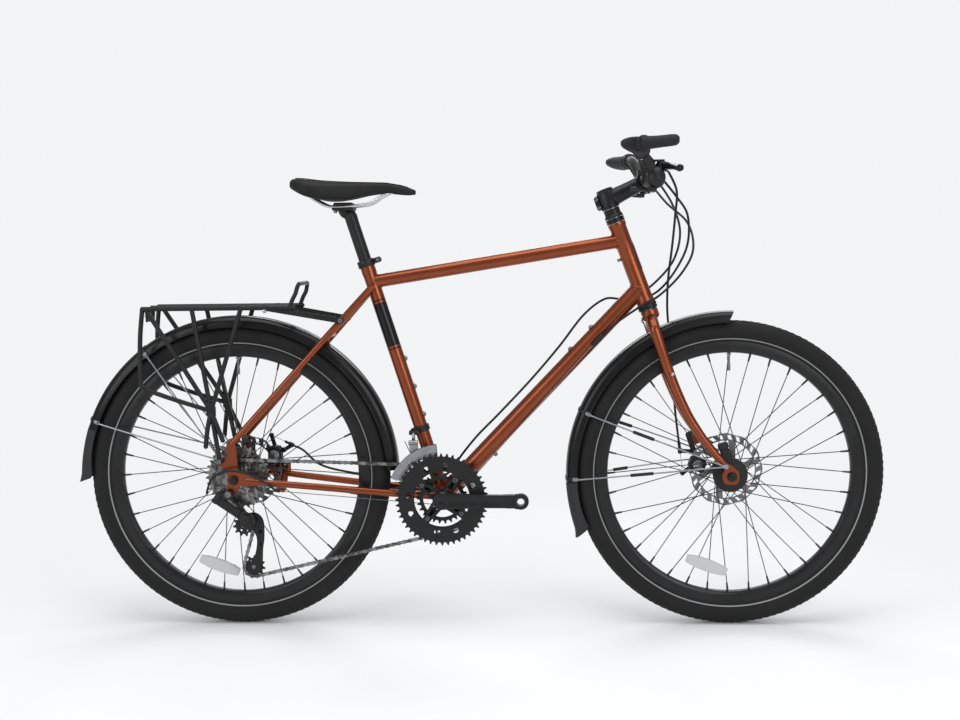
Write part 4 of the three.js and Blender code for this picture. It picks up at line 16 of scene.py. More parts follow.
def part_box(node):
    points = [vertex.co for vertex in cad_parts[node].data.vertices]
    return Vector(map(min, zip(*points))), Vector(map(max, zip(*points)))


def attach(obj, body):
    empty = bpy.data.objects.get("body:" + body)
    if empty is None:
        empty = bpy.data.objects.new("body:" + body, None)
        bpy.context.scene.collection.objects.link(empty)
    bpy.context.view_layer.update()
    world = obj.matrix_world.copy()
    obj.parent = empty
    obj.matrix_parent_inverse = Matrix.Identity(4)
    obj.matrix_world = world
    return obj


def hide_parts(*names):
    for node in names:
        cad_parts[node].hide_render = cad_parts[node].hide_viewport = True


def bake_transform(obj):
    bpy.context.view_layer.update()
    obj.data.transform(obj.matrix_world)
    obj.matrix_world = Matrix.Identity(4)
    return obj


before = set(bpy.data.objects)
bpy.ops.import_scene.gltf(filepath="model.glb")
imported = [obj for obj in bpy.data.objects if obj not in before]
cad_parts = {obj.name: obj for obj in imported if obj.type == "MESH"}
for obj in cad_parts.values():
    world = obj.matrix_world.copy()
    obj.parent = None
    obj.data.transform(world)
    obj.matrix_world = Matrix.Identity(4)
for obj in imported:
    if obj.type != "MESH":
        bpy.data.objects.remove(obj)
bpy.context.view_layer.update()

# %% [markdown]
# ## The drawing's own coordinates
#
# A bicycle is easiest to draw from its rear axle, in millimetres: X forward, Y to the rider's left
# and Z up from the ground. The axle's solid says where that drawing lies in the frame. Two tilted
# lines, the steering axis and the seat tube, carry most of the other parts, so each gets a helper
# that measures along it and ahead of it.

# %% Sizes of the drawing
MM = 0.001
DEG = math.pi / 180
FULL_TURN = 2 * math.pi
AXLE_LOW, AXLE_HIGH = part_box("rear_axle")
SHIFT = (AXLE_LOW[0] + AXLE_HIGH[0]) / 2
WHEELBASE = 1062
WHEEL = 330
CRANK_LENGTH = 170
CRANK = Vector((math.sqrt(447.5 ** 2 - 47 ** 2), 0, WHEEL - 47))
REAR = Vector((0, 0, WHEEL))
FRONT = Vector((WHEELBASE, 0, WHEEL))
HEAD = 69.8 * DEG
SEAT = 72.5 * DEG
STEER_UP = Vector((-math.cos(HEAD), 0, math.sin(HEAD)))
STEER_AHEAD = Vector((math.sin(HEAD), 0, math.cos(HEAD)))
STEER_FOOT = FRONT - STEER_AHEAD * 38.5
SEAT_UP = Vector((-math.cos(SEAT), 0, math.sin(SEAT)))
SEAT_AHEAD = Vector((math.sin(SEAT), 0, math.cos(SEAT)))
AHEAD, SIDE, UP = Vector((1, 0, 0)), Vector((0, 1, 0)), Vector((0, 0, 1))


def vec(x, y, z):
    return Vector((x, y, z))


def on_steer(height, ahead=0, left=0):
    """A point beside the steering axis."""
    return STEER_FOOT + STEER_UP * height + STEER_AHEAD * ahead + SIDE * left


def on_seat(height, ahead=0, left=0):
    """A point beside the seat tube's axis, measured from the crank axis."""
    return CRANK + SEAT_UP * height + SEAT_AHEAD * ahead + SIDE * left


def outward(angle):
    """The direction that an angle gives in the bicycle's plane."""
    return vec(math.cos(angle), 0, math.sin(angle))


def polar(centre, radius, angle, left=0):
    """A point on a circle in the bicycle's plane."""
    return centre + outward(angle) * radius + SIDE * left


def mirror(point):
    """The same point on the other side of the bicycle."""
    return vec(point[0], -point[1], point[2])


print("rear axle at X", round(SHIFT, 5), "m")

# %% [markdown]
# ## Camera
#
# The photograph was taken from the drive side, a little below the saddle. The two tyres' outlines
# give the camera: both are circles of known size, so their drawn ellipses fix where it stood.

# %% Camera
YAW, PITCH, ROLL = -2.7514 * DEG, -5.0866 * DEG, -0.7054 * DEG
look = vec(math.sin(YAW) * math.cos(PITCH), math.cos(YAW) * math.cos(PITCH), math.sin(PITCH))
level_right = vec(math.cos(YAW), -math.sin(YAW), 0)
level_up = level_right.cross(look)
camera_right = level_right * math.cos(ROLL) + level_up * math.sin(ROLL)
camera_up = level_up * math.cos(ROLL) - level_right * math.sin(ROLL)
camera_data = bpy.data.cameras.new("camera")
camera_data.lens = 47.85
camera_data.sensor_width = 36
camera_data.clip_end = 100
camera = bpy.data.objects.new("camera", camera_data)
camera_place = Matrix.Translation(vec(660.3 * MM + SHIFT, -2.7452, 0.8226))
camera.matrix_world = camera_place @ Matrix((camera_right, camera_up, -look)).transposed().to_4x4()
bpy.context.scene.collection.objects.link(camera)
bpy.context.scene.camera = camera
print("camera at", [round(v, 3) for v in camera.matrix_world.translation])

# %% [markdown]
# ## A small language for surfaces
#
# A material is a formula over the surface. It could be wired by hand, node by node, but such wiring
# is hard to read back. `Value` wraps a socket so that the formula is written as plain arithmetic:
# each operator adds the matching math node, also where the number stands first, as in 1 - mask.

# %% Shader arithmetic


def arithmetic(operation):
    """An operator's two methods: for this with the other, and for the other with this."""

    def plain(self, other):
        return self.node("ShaderNodeMath", [(0, self), (1, other)], operation=operation)

    def reflected(self, other):
        return self.node("ShaderNodeMath", [(0, other), (1, self)], operation=operation)

    return plain, reflected


class Value:
    """A socket that behaves like a number."""

    def __init__(self, tree, socket):
        self.tree = tree
        self.socket = socket

    def node(self, kind, inputs=(), out=0, **settings):
        """Adds any node: first its settings, then (socket, value or Value) for its inputs."""
        made = self.tree.nodes.new(kind)
        for name, value in settings.items():
            setattr(made, name, value)
        for key, value in inputs:
            if isinstance(value, Value):
                self.tree.links.new(value.socket, made.inputs[key])
            else:
                made.inputs[key].default_value = value
        return Value(self.tree, made.outputs[out])

    __add__, __radd__ = arithmetic("ADD")
    __sub__, __rsub__ = arithmetic("SUBTRACT")
    __mul__, __rmul__ = arithmetic("MULTIPLY")
    __truediv__, __rtruediv__ = arithmetic("DIVIDE")
    __pow__, __rpow__ = arithmetic("POWER")
    __gt__, __lt__ = arithmetic("GREATER_THAN")[0], arithmetic("LESS_THAN")[0]
    at_most = arithmetic("MINIMUM")[0]

    def __abs__(self):
        return self.node("ShaderNodeMath", [(0, self)], operation="ABSOLUTE")

    def sine(self):
        return self.node("ShaderNodeMath", [(0, self)], operation="SINE")

    def root(self):
        return self.node("ShaderNodeMath", [(0, self)], operation="SQRT")

    def ramp(self, low, high, to_low=0.0, to_high=1.0):
        """Runs smoothly from one value to another as this runs from low to high."""
        inputs = [("Value", self), ("From Min", low), ("From Max", high), ("To Min", to_low),
                  ("To Max", to_high)]
        return self.node("ShaderNodeMapRange", inputs, interpolation_type="SMOOTHSTEP")

    def blend(self, first, second):
        """Mixes two colours, this being the share of the second."""
        colors = [color if isinstance(color, Value) else (*color, 1) for color in (first, second)]
        inputs = [(0, self), (6, colors[0]), (7, colors[1])]
        return self.node("ShaderNodeMix", inputs, 2, data_type="RGBA")


print("shader arithmetic ready")

# %% [markdown]
# ## Surfaces
#
# `Surface` is a material together with its place on the piece in the drawing's millimetres. Every
# finish varies a little, because handling and dust leave soft patches on a real part, and paint,
# rubber and cast metal all have a fine grain that breaks up their highlights.

# %% Surface and its helpers


class Surface:
    """A new material with its place on the piece, in millimetres, ready for formulas."""

    def __init__(self, name, color, roughness, metallic=0.0, **fixed):
        self.material = bpy.data.materials.new(name)
        self.material.use_nodes = True
        self.material.diffuse_color = (*color, 1)
        self.color, self.roughness = color, roughness
        self.tree = self.material.node_tree
        self.shader = self.tree.nodes["Principled BSDF"]
        fixed.update(Base_Color=(*color, 1), Roughness=roughness, Metallic=metallic)
        for key, value in fixed.items():
            self.shader.inputs[key.replace("_", " ")].default_value = value
        coordinates = self.tree.nodes.new("ShaderNodeTexCoord")
        self.place = Value(self.tree, coordinates.outputs["Object"])
        parts = self.tree.nodes.new("ShaderNodeSeparateXYZ")
        self.tree.links.new(self.place.socket, parts.inputs[0])
        x, y, z = [Value(self.tree, output) for output in parts.outputs]
        self.x, self.y, self.z = (x - SHIFT) / MM, y / MM, z / MM

    def noise(self, size, detail=3.0):
        """Cloudy noise whose patches are about size millimetres across."""
        inputs = [("Vector", self.place), ("Scale", 1000 / size), ("Detail", detail)]
        return self.place.node("ShaderNodeTexNoise", inputs)

    def cells(self, size):
        """Cells about size millimetres across, 0 at each middle."""
        inputs = [("Vector", self.place), ("Scale", 1000 / size)]
        return self.place.node("ShaderNodeTexVoronoi", inputs)

    def along(self, origin, direction):
        """How far the place lies from a point, measured along a direction."""
        return (self.x - origin.x) * direction.x + (self.z - origin.z) * direction.z

    def around(self, centre):
        """Distance from an axle in the bicycle's plane."""
        return ((self.x - centre.x) ** 2.0 + (self.z - centre.z) ** 2.0).root()

    def around_nearer_axle(self):
        """Distance from the axle of the wheel that the place belongs to."""
        in_front = self.x > WHEELBASE / 2
        return self.around(FRONT) * in_front + self.around(REAR) * (1.0 - in_front)

    def set(self, key, value):
        self.tree.links.new(value.socket, self.shader.inputs[key])
        return self

    def bump(self, height, depth, strength=0.5):
        """Relief of up to depth millimetres."""
        inputs = [("Height", height), ("Distance", depth * MM), ("Strength", strength)]
        return self.set("Normal", self.place.node("ShaderNodeBump", inputs))

    def dusted(self, size, share):
        """Varies the colour and roughness in soft patches."""
        patches = self.noise(size, 4).ramp(0.35, 0.7)
        paler = tuple(min(1.0, channel * 1.35 + 0.004) for channel in self.color)
        self.set("Base Color", (patches * share).blend(self.color, paler))
        return self.set("Roughness", patches * 0.1 + (self.roughness - 0.04))


def finish(name, color, roughness, metallic, shine, patch, share, grain, depth, strength=0.5):
    """A plain material with dusty patches and a fine grain."""
    made = Surface(name, color, roughness, metallic, Specular_IOR_Level=shine)
    made.dusted(patch, share)
    return made.bump(made.noise(grain, 2), depth, strength)


print("surface tools ready")

# %% [markdown]
# ## Lines and loops
#
# Cables, stays and the bar are smooth curves through a few stations. A Catmull-Rom curve is used
# because it passes through its points, so each station can be read off the photograph.

# %% Curves


def smooth_path(points, steps=8, closed=False):
    """A Catmull-Rom curve through the points."""
    points = [Vector(p) for p in points]
    count = len(points)
    path = []
    for i in range(count if closed else count - 1):
        b, c = points[i], points[(i + 1) % count]
        a = points[i - 1] if closed or i else b
        d = points[(i + 2) % count] if closed or i + 2 < count else c
        for k in range(steps):
            t = k / steps
            path.append(0.5 * (2 * b + (c - a) * t + (2 * a - 5 * b + 4 * c - d) * t ** 2
                               + (3 * b - a - 3 * c + d) * t ** 3))
    return path if closed else path + [points[-1]]


def spread(values, count):
    """A value, or a list of values, stretched evenly to a number of stations."""
    if not isinstance(values, (list, tuple)):
        return [values] * count
    result = []
    for i in range(count):
        place = i * (len(values) - 1) / max(1, count - 1)
        low = min(int(place), len(values) - 2)
        result.append(values[low] + (values[low + 1] - values[low]) * (place - low))
    return result


def square_to(direction):
    """A direction square to another, sideways wherever it can be."""
    direction = Vector(direction).normalized()
    guide = SIDE if abs(direction.y) < 0.9 else AHEAD
    return (guide - direction * direction.dot(guide)).normalized()


def ellipse(centre, across, up, radius, sides, tall=1.0):
    """Points of a circle, or a taller ellipse, in the plane of two directions."""
    turns = [k * FULL_TURN / sides for k in range(sides)]
    return [centre + across * (radius * math.cos(turn)) + up * (radius * tall * math.sin(turn))
            for turn in turns]


def flat(points):
    """The (x, z) of points, for an outline."""
    return [(point[0], point[2]) for point in points]


def circle(centre, radius, count):
    """A circle in the bicycle's plane, as (x, z)."""
    return flat(ellipse(Vector(centre), AHEAD, UP, radius, count))


def rounded(outline, steps=5):
    """A smooth closed outline through corner points given as (x, z)."""
    return flat(smooth_path([vec(x, 0, z) for x, z in outline], steps, closed=True))


print("curves ready")

# %% [markdown]
# ## A kit for shaping metal, rubber and plastic
#
# Most of a bicycle is made of a few shapes: a bent tube, something turned on a lathe, a plate cut
# to an outline, and round or block-shaped bosses. `Form` gathers such shapes in one mesh, in
# millimetres. A tube bridges one loop to the next, a lathe spins its profile, a plate fills and
# extrudes its outline. `piece` hands over a finished object that sits at the origin, in metres.

# %% Shape kit


def loop_edges(part, corners, closed=True):
    """Edges from corner to corner."""
    ends = corners[1:] + corners[:1] if closed else corners[1:]
    return [part.edges.new(pair) for pair in zip(corners, ends)]


class Form:
    """A mesh in the making, in the drawing's millimetres."""

    def __init__(self):
        self.mesh = bmesh.new()

    def add(self, part, place=None):
        """Moves a closed shell in, turned by a matrix, with its faces outwards."""
        if place is not None:
            bmesh.ops.transform(part, matrix=place, verts=part.verts[:])
        bmesh.ops.recalc_face_normals(part, faces=part.faces[:])
        if part.calc_volume(signed=True) < 0:  # a long bent shell can come out inside out
            bmesh.ops.reverse_faces(part, faces=part.faces[:])
        held = bpy.data.meshes.new("held")
        part.to_mesh(held)
        part.free()
        self.mesh.from_mesh(held)
        bpy.data.meshes.remove(held)
        return self

    def skin(self, rings, closed=False):
        """Bridges closed rows of points into one skin, from the first to the last."""
        part = bmesh.new()
        loops = [loop_edges(part, [part.verts.new(point) for point in ring]) for ring in rings]
        for first, second in zip(loops, loops[1:] + loops[:1] if closed else loops[1:]):
            bmesh.ops.bridge_loops(part, edges=first + second)
        if not closed:
            bmesh.ops.holes_fill(part, edges=loops[0] + loops[-1])
        return self.add(part)

    def tube(self, points, radius, sides=20, closed=False, tall=1.0, across=SIDE):
        """A tube along points; radius may be a list, and tall stretches its section upwards."""
        points = [Vector(p) for p in points]
        count = len(points)
        rings = []
        for i, (point, size) in enumerate(zip(points, spread(radius, count))):
            before = points[i - 1] if closed or i else point
            after = points[(i + 1) % count] if closed or i + 1 < count else point
            along = (after - before).normalized()
            across = (across - along * along.dot(across)).normalized()
            rings.append(ellipse(point, across, along.cross(across), size, sides, tall))
        return self.skin(rings, closed)

    def rod(self, start, end, radius, sides=20, soft=0.0):
        """A straight bar; soft rounds its two ends by that many millimetres."""
        start, end = Vector(start), Vector(end)
        along = (end - start).normalized()
        first, last = radius if isinstance(radius, (list, tuple)) else (radius, radius)
        points, sizes = [start, end], [first, last]
        if soft:
            near, far = along * soft * 0.3, along * soft
            points = [start, start + near, start + far, end - far, end - near, end]
            sizes = [first - soft, first - soft * 0.3, first, last, last - soft * 0.3, last - soft]
        return self.tube(points, sizes, sides, across=square_to(along))

    def across(self, centre, start, end, radius, sides=32, soft=0.0):
        """A round bar along Y through a point in the bicycle's plane."""
        centre = Vector(centre)
        return self.rod(centre + SIDE * start, centre + SIDE * end, radius, sides, soft)

    def ring(self, centre, profile, segments=96, axis=SIDE, closed=True):
        """Spins a profile of (radius, place along the axis) about an axis."""
        centre, axis = Vector(centre), Vector(axis).normalized()
        out = square_to(axis)
        part = bmesh.new()
        corners = [part.verts.new(centre + out * radius + axis * along) for radius, along in profile]
        edges = loop_edges(part, corners, closed)
        bmesh.ops.spin(part, geom=corners + edges, cent=centre, axis=axis, angle=FULL_TURN,
                       steps=segments, use_merge=True)
        bmesh.ops.remove_doubles(part, verts=part.verts[:], dist=0.0005)
        if not closed:
            bmesh.ops.holes_fill(part, edges=part.edges[:])
        return self.add(part)

    def plate(self, outline, middle, thickness, holes=(), soft=0.0, place=None):
        """A plate in the bicycle's plane, or in a matrix's, filled, cut and extruded."""
        part = bmesh.new()
        edges = []
        for loop in (outline, *holes):
            edges += loop_edges(part, [part.verts.new((x, middle - thickness / 2, z)) for x, z in loop])
        if holes:
            bmesh.ops.triangle_fill(part, edges=edges, use_beauty=True)
        else:
            part.faces.new(part.verts)
        raised = bmesh.ops.extrude_face_region(part, geom=part.faces[:])["geom"]
        corners = [item for item in raised if isinstance(item, bmesh.types.BMVert)]
        bmesh.ops.translate(part, verts=corners, vec=(0, thickness, 0))
        bmesh.ops.recalc_face_normals(part, faces=part.faces[:])
        if soft:
            sharp = [edge for edge in part.edges
                     if len(edge.link_faces) == 2 and edge.calc_face_angle(0) > 1]
            bmesh.ops.bevel(part, geom=sharp, offset=soft, segments=2, affect="EDGES",
                            clamp_overlap=True)
        return self.add(part, place)

    def block(self, centre, along, length, width, height, soft=1.0):
        """A bevelled block whose length lies along a direction and whose width is sideways."""
        along = Vector(along).normalized()
        across = (SIDE - along * along.y).normalized()
        turn = Matrix((along, across, along.cross(across))).transposed().to_4x4()
        part = bmesh.new()
        bmesh.ops.create_cube(part, size=1, matrix=Matrix.Diagonal((length, width, height, 1)))
        bmesh.ops.bevel(part, geom=part.edges[:], offset=soft, segments=3, affect="EDGES",
                        clamp_overlap=True)
        return self.add(part, Matrix.Translation(Vector(centre)) @ turn)

    def bar(self, start, end, width, height, soft=1.0):
        """A block that runs from one point to another."""
        line = Vector(end) - Vector(start)
        return self.block(Vector(start) + line / 2, line, line.length, width, height, soft)

    def ball(self, centre, radii, detail=16):
        """A sphere, or an egg with three radii."""
        part = bmesh.new()
        bmesh.ops.create_uvsphere(part, u_segments=2 * detail, v_segments=detail, radius=1)
        size = radii if isinstance(radii, (list, tuple)) else (radii, radii, radii)
        return self.add(part, Matrix.Translation(Vector(centre)) @ Matrix.Diagonal((*size, 1)))

    def bolt(self, centre, out, radius=4.0, height=3.5):
        """A round-headed bolt whose head faces a direction, with a round socket."""
        profile = [(0, height * 0.35), (radius * 0.48, height * 0.35), (radius * 0.5, height * 0.95),
                   (radius * 0.8, height * 0.86), (radius, height * 0.45), (radius, 0)]
        return self.ring(centre, profile, 24, out, closed=False)

    def piece(self, name, surface, body, *nodes, angle=40, flip=False):
        """Ends the making: an object in metres on its body, or left on no body when body is not a name."""
        if flip:
            bmesh.ops.scale(self.mesh, vec=(1, -1, 1), verts=self.mesh.verts[:])
            bmesh.ops.reverse_faces(self.mesh, faces=self.mesh.faces[:])
        to_frame = Matrix.Translation((SHIFT, 0, 0)) @ Matrix.Scale(MM, 4)
        bmesh.ops.transform(self.mesh, matrix=to_frame, verts=self.mesh.verts[:])
        data = bpy.data.meshes.new(name)
        self.mesh.to_mesh(data)
        self.mesh.free()
        data.materials.append(surface.material)
        data.shade_smooth()
        data.set_sharp_from_angle(angle=angle * DEG)
        made = bpy.data.objects.new(name, data)
        bpy.context.scene.collection.objects.link(made)
        if isinstance(body, str):
            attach(made, body)
        else:
            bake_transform(made)
        if nodes:
            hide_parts(*nodes)
        return made


print("shape kit ready")

# %% [markdown]
# ## Plain finishes
#
# Black parts differ mainly in how rough they are: anodised alloy, powder coat and rubber each
# scatter light in their own way. They could each be wired apart, but one formula serves them all, so
# each is a line of numbers: colour, roughness, metal, shine, size and share of its dusty patches,
# then size and depth of its grain.

# %% Black parts and bare metal
satin = finish("satin_black", (0.007, 0.007, 0.0078), 0.42, 0.1, 0.35, 34, 0.5, 0.7, 0.05)
alloy = finish("black_alloy", (0.009, 0.009, 0.0105), 0.34, 0.3, 0.4, 26, 0.6, 0.5, 0.03)
plastic = finish("black_plastic", (0.008, 0.008, 0.0088), 0.45, 0, 0.35, 18, 0.5, 0.5, 0.06)
hood = finish("soft_hood", (0.012, 0.012, 0.013), 0.7, 0, 0.3, 22, 0.5, 0.9, 0.1)
flap_rubber = finish("flap_rubber", (0.013, 0.013, 0.014), 0.65, 0, 0.4, 40, 0.8, 1.4, 0.12)
sheath = finish("cable_sheath", (0.006, 0.006, 0.0068), 0.4, 0, 0.3, 30, 0.6, 1.2, 0.05)
steel = finish("bright_steel", (0.56, 0.57, 0.58), 0.24, 1.0, 0.5, 20, 0.5, 1.6, 0.02, 0.4)
dark_steel = finish("dark_steel", (0.17, 0.17, 0.175), 0.38, 0.95, 0.5, 9, 0.8, 1.2, 0.03)
silver = finish("silver_alloy", (0.27, 0.28, 0.295), 0.32, 0.9, 0.5, 14, 0.6, 0.9, 0.03, 0.4)
spoke = Surface("spoke_black", (0.018, 0.018, 0.02), 0.3, 0.3).dusted(40, 0.4)
gloss = Surface("gloss_black", (0.004, 0.004, 0.0045), 0.27, Coat_Weight=0.1, Coat_Roughness=0.08,
                Specular_IOR_Level=0.2).dusted(80, 0.6)
gloss.bump(gloss.noise(38, 2), 0.14, 0.3)
print("plain finishes:", len(bpy.data.materials))

# %% [markdown]
# ## Copper paint
#
# The frame's paint is a metallic base under a clear coat, with fine flakes. The dark band round the
# seat tube and its two pinstripes could be thin shells, but they are paint on the real frame too. So
# they are masks: three comparisons along and across the seat tube, multiplied together.

# %% Paint
paint = Surface("copper_paint", (0.23, 0.049, 0.014), 0.3, 0.85, Coat_Weight=0.3, Coat_Roughness=0.08)
up_seat_tube = paint.along(CRANK, SEAT_UP)
near_seat_tube = abs(paint.along(CRANK, SEAT_AHEAD)) < 18.0
band = (up_seat_tube > 344.0) * (up_seat_tube < 441.0) * near_seat_tube
low_stripe, high_stripe = [abs(up_seat_tube - height) < 1.6 for height in (338.0, 447.0)]
pinstripes = (low_stripe + high_stripe) * near_seat_tube
flakes = paint.cells(1.1).ramp(0.0, 0.6)
shade = paint.noise(60).ramp(0.35, 0.7).blend((0.21, 0.043, 0.012), (0.265, 0.057, 0.017))
sparkle = (flakes * 0.3).blend((0.19, 0.038, 0.011), (0.36, 0.088, 0.028))
base = shade.node("ShaderNodeMix", [(0, 0.5), (6, shade), (7, sparkle)], 2, data_type="RGBA")
paint.set("Base Color", (band + pinstripes).at_most(1.0).blend(base, (0.012, 0.011, 0.012)))
paint.set("Roughness", paint.noise(30) * 0.08 + 0.27)
paint.bump(flakes, 0.02, 0.25)
print("paint:", len(paint.tree.nodes), "nodes")

# %% [markdown]
# ## Turned and worn surfaces
#
# A brake disc keeps fine rings from grinding, a rim from its lathe, and a tyre has ribs on its
# sidewall, a pale reflecting line and a scuffed tread. All of them follow the distance from the
# axle, so each is a function of that one number.

# %% Chain, discs, rims and tyres
chain_steel = Surface("chain_steel", (0.2, 0.2, 0.205), 0.36, 0.95)
oil = chain_steel.noise(16, 4).ramp(0.4, 0.62)
chain_steel.set("Base Color", oil.blend((0.26, 0.26, 0.262), (0.075, 0.07, 0.065)))
chain_steel.set("Roughness", oil * 0.16 + 0.28)

disc = Surface("brake_disc", (0.2, 0.2, 0.205), 0.3, 1.0)
grinding = (disc.around(FRONT) * 3.2).sine() + (disc.around(REAR) * 3.2).sine()
disc.set("Roughness", grinding * 0.045 + 0.31)
disc.bump(grinding, 0.02, 0.4)

rim_black = Surface("rim_black", (0.007, 0.007, 0.0078), 0.3, 0.2, Specular_IOR_Level=0.4)
rim_radius = rim_black.dusted(60, 0.7).around_nearer_axle()
rim_black.bump((rim_radius * 9.0).sine() * (rim_radius > 272.0), 0.03)

tyre_rubber = Surface("tyre_black", (0.009, 0.009, 0.0095), 0.8, Specular_IOR_Level=0.3)
from_axle = tyre_rubber.around_nearer_axle()
stripe = abs(from_axle - 290.5).ramp(0.9, 1.4, 1.0, 0.0)
scuffed = (from_axle > 322.0) * tyre_rubber.noise(7, 4).ramp(0.4, 0.6)
worn = (scuffed * 0.6).blend((0.009, 0.009, 0.0095), (0.024, 0.023, 0.022))
dusty = tyre_rubber.noise(55, 4).ramp(0.35, 0.75)
sidewall = (dusty * 0.3).blend(worn, (0.019, 0.0185, 0.018))
tyre_rubber.set("Base Color", (stripe * 0.85).blend(sidewall, (0.3, 0.31, 0.31)))
tyre_rubber.set("Roughness", stripe * -0.35 + 0.82)
ribs = (from_axle * 4.4).sine() * (from_axle < 312.0)
tyre_rubber.bump(ribs * 0.3 + tyre_rubber.noise(0.9, 2), 0.12)
print("ring-like finishes done")

# %% [markdown]
# ## Grip, saddle and reflector
#
# Two sine waves multiplied give a diamond pattern: shallow and fine it is the hatching of a grip,
# and hard and clear it is the prisms behind a reflector's lens. The saddle's cover has a leather-like
# grain of small cells.

# %% Soft and clear finishes
grip_rubber = Surface("grip_rubber", (0.013, 0.013, 0.0145), 0.7, Specular_IOR_Level=0.35)
hatch = ((grip_rubber.x * 2.1).sine() * (grip_rubber.y * 2.1).sine()).ramp(0.0, 0.7)
handled = grip_rubber.noise(30) * 0.6
grip_rubber.set("Base Color", handled.blend((0.011, 0.011, 0.0125), (0.02, 0.02, 0.022)))
grip_rubber.set("Roughness", grip_rubber.noise(16) * 0.16 + 0.64)
grip_rubber.bump(hatch, 0.35, 0.7)

cover = Surface("saddle_cover", (0.006, 0.006, 0.007), 0.5, Specular_IOR_Level=0.25)
sat_on = cover.noise(45, 4) * 0.6
cover.set("Base Color", sat_on.blend((0.005, 0.005, 0.006), (0.012, 0.0115, 0.0115)))
cover.set("Roughness", cover.noise(24) * 0.14 + 0.48)
cover.bump(cover.cells(1.5).ramp(0.1, 0.6), 0.14, 0.55)

glass = Surface("reflector_grey", (0.5, 0.5, 0.51), 0.16, 0.0, Coat_Weight=0.8, Coat_Roughness=0.04)
prisms = ((glass.x * 1.9).sine() * (glass.z * 1.9).sine()).ramp(-0.5, 0.7)
glass.set("Base Color", prisms.blend((0.38, 0.39, 0.4), (0.66, 0.67, 0.68)))
glass.bump(prisms, 0.3)
print("finishes:", len(bpy.data.materials))

# %% [markdown]
# ## The studio
#
# A pale floor and a pale backdrop that only the camera sees. Large soft lamps give the long
# highlights on the tubes. The floor keeps a faint shadow under the tyres, and fades into the backdrop
# with the distance from the bicycle, so that no edge shows.

# %% Backdrop and floor
PALE = (0.895, 0.9, 0.91, 1)
bpy.context.scene.view_settings.view_transform = "Standard"
world = bpy.data.worlds.new("studio")
bpy.context.scene.world = world
world.use_nodes = True
sky = world.node_tree
backdrop = sky.nodes["Background"]
backdrop.inputs["Color"].default_value = (0.84, 0.85, 0.87, 1)
backdrop.inputs["Strength"].default_value = 0.5
seen = Value(sky, sky.nodes.new("ShaderNodeLightPath").outputs["Is Camera Ray"])
pale = seen.node("ShaderNodeBackground", [("Color", PALE), ("Strength", 1.0)])
mixed = seen.node("ShaderNodeMixShader", [(0, seen), (1, Value(sky, backdrop.outputs[0])), (2, pale)])
sky.links.new(mixed.socket, sky.nodes["World Output"].inputs["Surface"])

ground = Surface("floor_pale", (0.86, 0.865, 0.875), 0.75)
ground.set("Roughness", ground.noise(300, 2) * 0.1 + 0.7)
glow = ground.place.node("ShaderNodeEmission", [("Color", PALE)])
lit = Value(ground.tree, ground.shader.outputs[0])
distance = ((ground.x - 530.0) ** 2.0 + ground.y ** 2.0).root()
faded = glow.node("ShaderNodeMixShader", [(0, distance.ramp(900.0, 1500.0)), (1, lit), (2, glow)])
ground.tree.links.new(faded.socket, ground.tree.nodes["Material Output"].inputs["Surface"])
floor_mesh = bpy.data.meshes.new("floor")
floor_form = bmesh.new()
bmesh.ops.create_grid(floor_form, x_segments=1, y_segments=1, size=6)
floor_form.to_mesh(floor_mesh)
floor_form.free()
floor_mesh.materials.append(ground.material)
floor = bpy.data.objects.new("floor", floor_mesh)
bpy.context.scene.collection.objects.link(floor)
print("stage:", floor.name)

# %% [markdown]
# ## Lamps
#
# Photographers light a bicycle with broad soft boxes, because a small lamp gives each tube only a
# thin hard line. Four area lamps do the same here: above, in front, behind, and one on the far side
# that rims the dark parts.

# %% Lamps


def lamp(name, place, aim, size, power):
    """A rectangular area lamp, in metres and watts, that looks at a point."""
    data = bpy.data.lights.new(name, "AREA")
    data.shape = "RECTANGLE"
    data.size, data.size_y = size
    data.energy = power
    made = bpy.data.objects.new(name, data)
    turn = (vec(*aim) - vec(*place)).to_track_quat("-Z", "Y").to_matrix().to_4x4()
    made.matrix_world = Matrix.Translation(place) @ turn
    bpy.context.scene.collection.objects.link(made)


lamp("lamp_above", (0.1, -0.4, 3.2), (0, 0, 0.4), (3.4, 2.2), 62)
lamp("lamp_front", (1.9, -2.6, 1.7), (0.1, 0, 0.5), (1.8, 1.8), 34)
lamp("lamp_rear", (-2.3, -2.2, 1.5), (-0.2, 0, 0.5), (1.6, 1.8), 26)
lamp("lamp_far", (0.2, 2.8, 2.2), (0, 0, 0.5), (2.6, 1.2), 30)
print("lamps:", len(bpy.data.lights))

# %% [markdown]
# ## Tyres
#
# A tyre is moulded as a carcass with tread blocks standing on its crown. The carcass is a lathe
# profile. The tread could be a displaced surface, but real blocks catch the light at their edges, so
# one block of each row is shaped and then spun round the axle in copies.

# %% Tyres
TYRE_PROFILE = [(277.5, 9.4), (281, 11.4), (285.4, 12.6), (288, 14.6), (293, 18.8), (299, 22.6),
                (305, 24.7), (311, 24.9), (316.5, 23.2), (321, 19.8), (324.6, 15.2), (327, 9.4), (328, 3.6)]
TREAD_ROWS = [(328.3, 0.0, 4.6, 9.5, 0), (327.3, 8.2, 4.0, 8.5, 0.5), (324.4, 14.3, 3.6, 8.0, 0),
              (320.0, 19.4, 3.0, 6.0, 0.5)]
TREAD_COUNT = 132
BLOCK_HEIGHT, BLOCK_TAPER = 2.4, 0.8


def both_sides(profile):
    """A profile of (radius, half width), closed by its mirror image."""
    return [(r, -y) for r, y in profile] + [(r, y) for r, y in reversed(profile) if y]


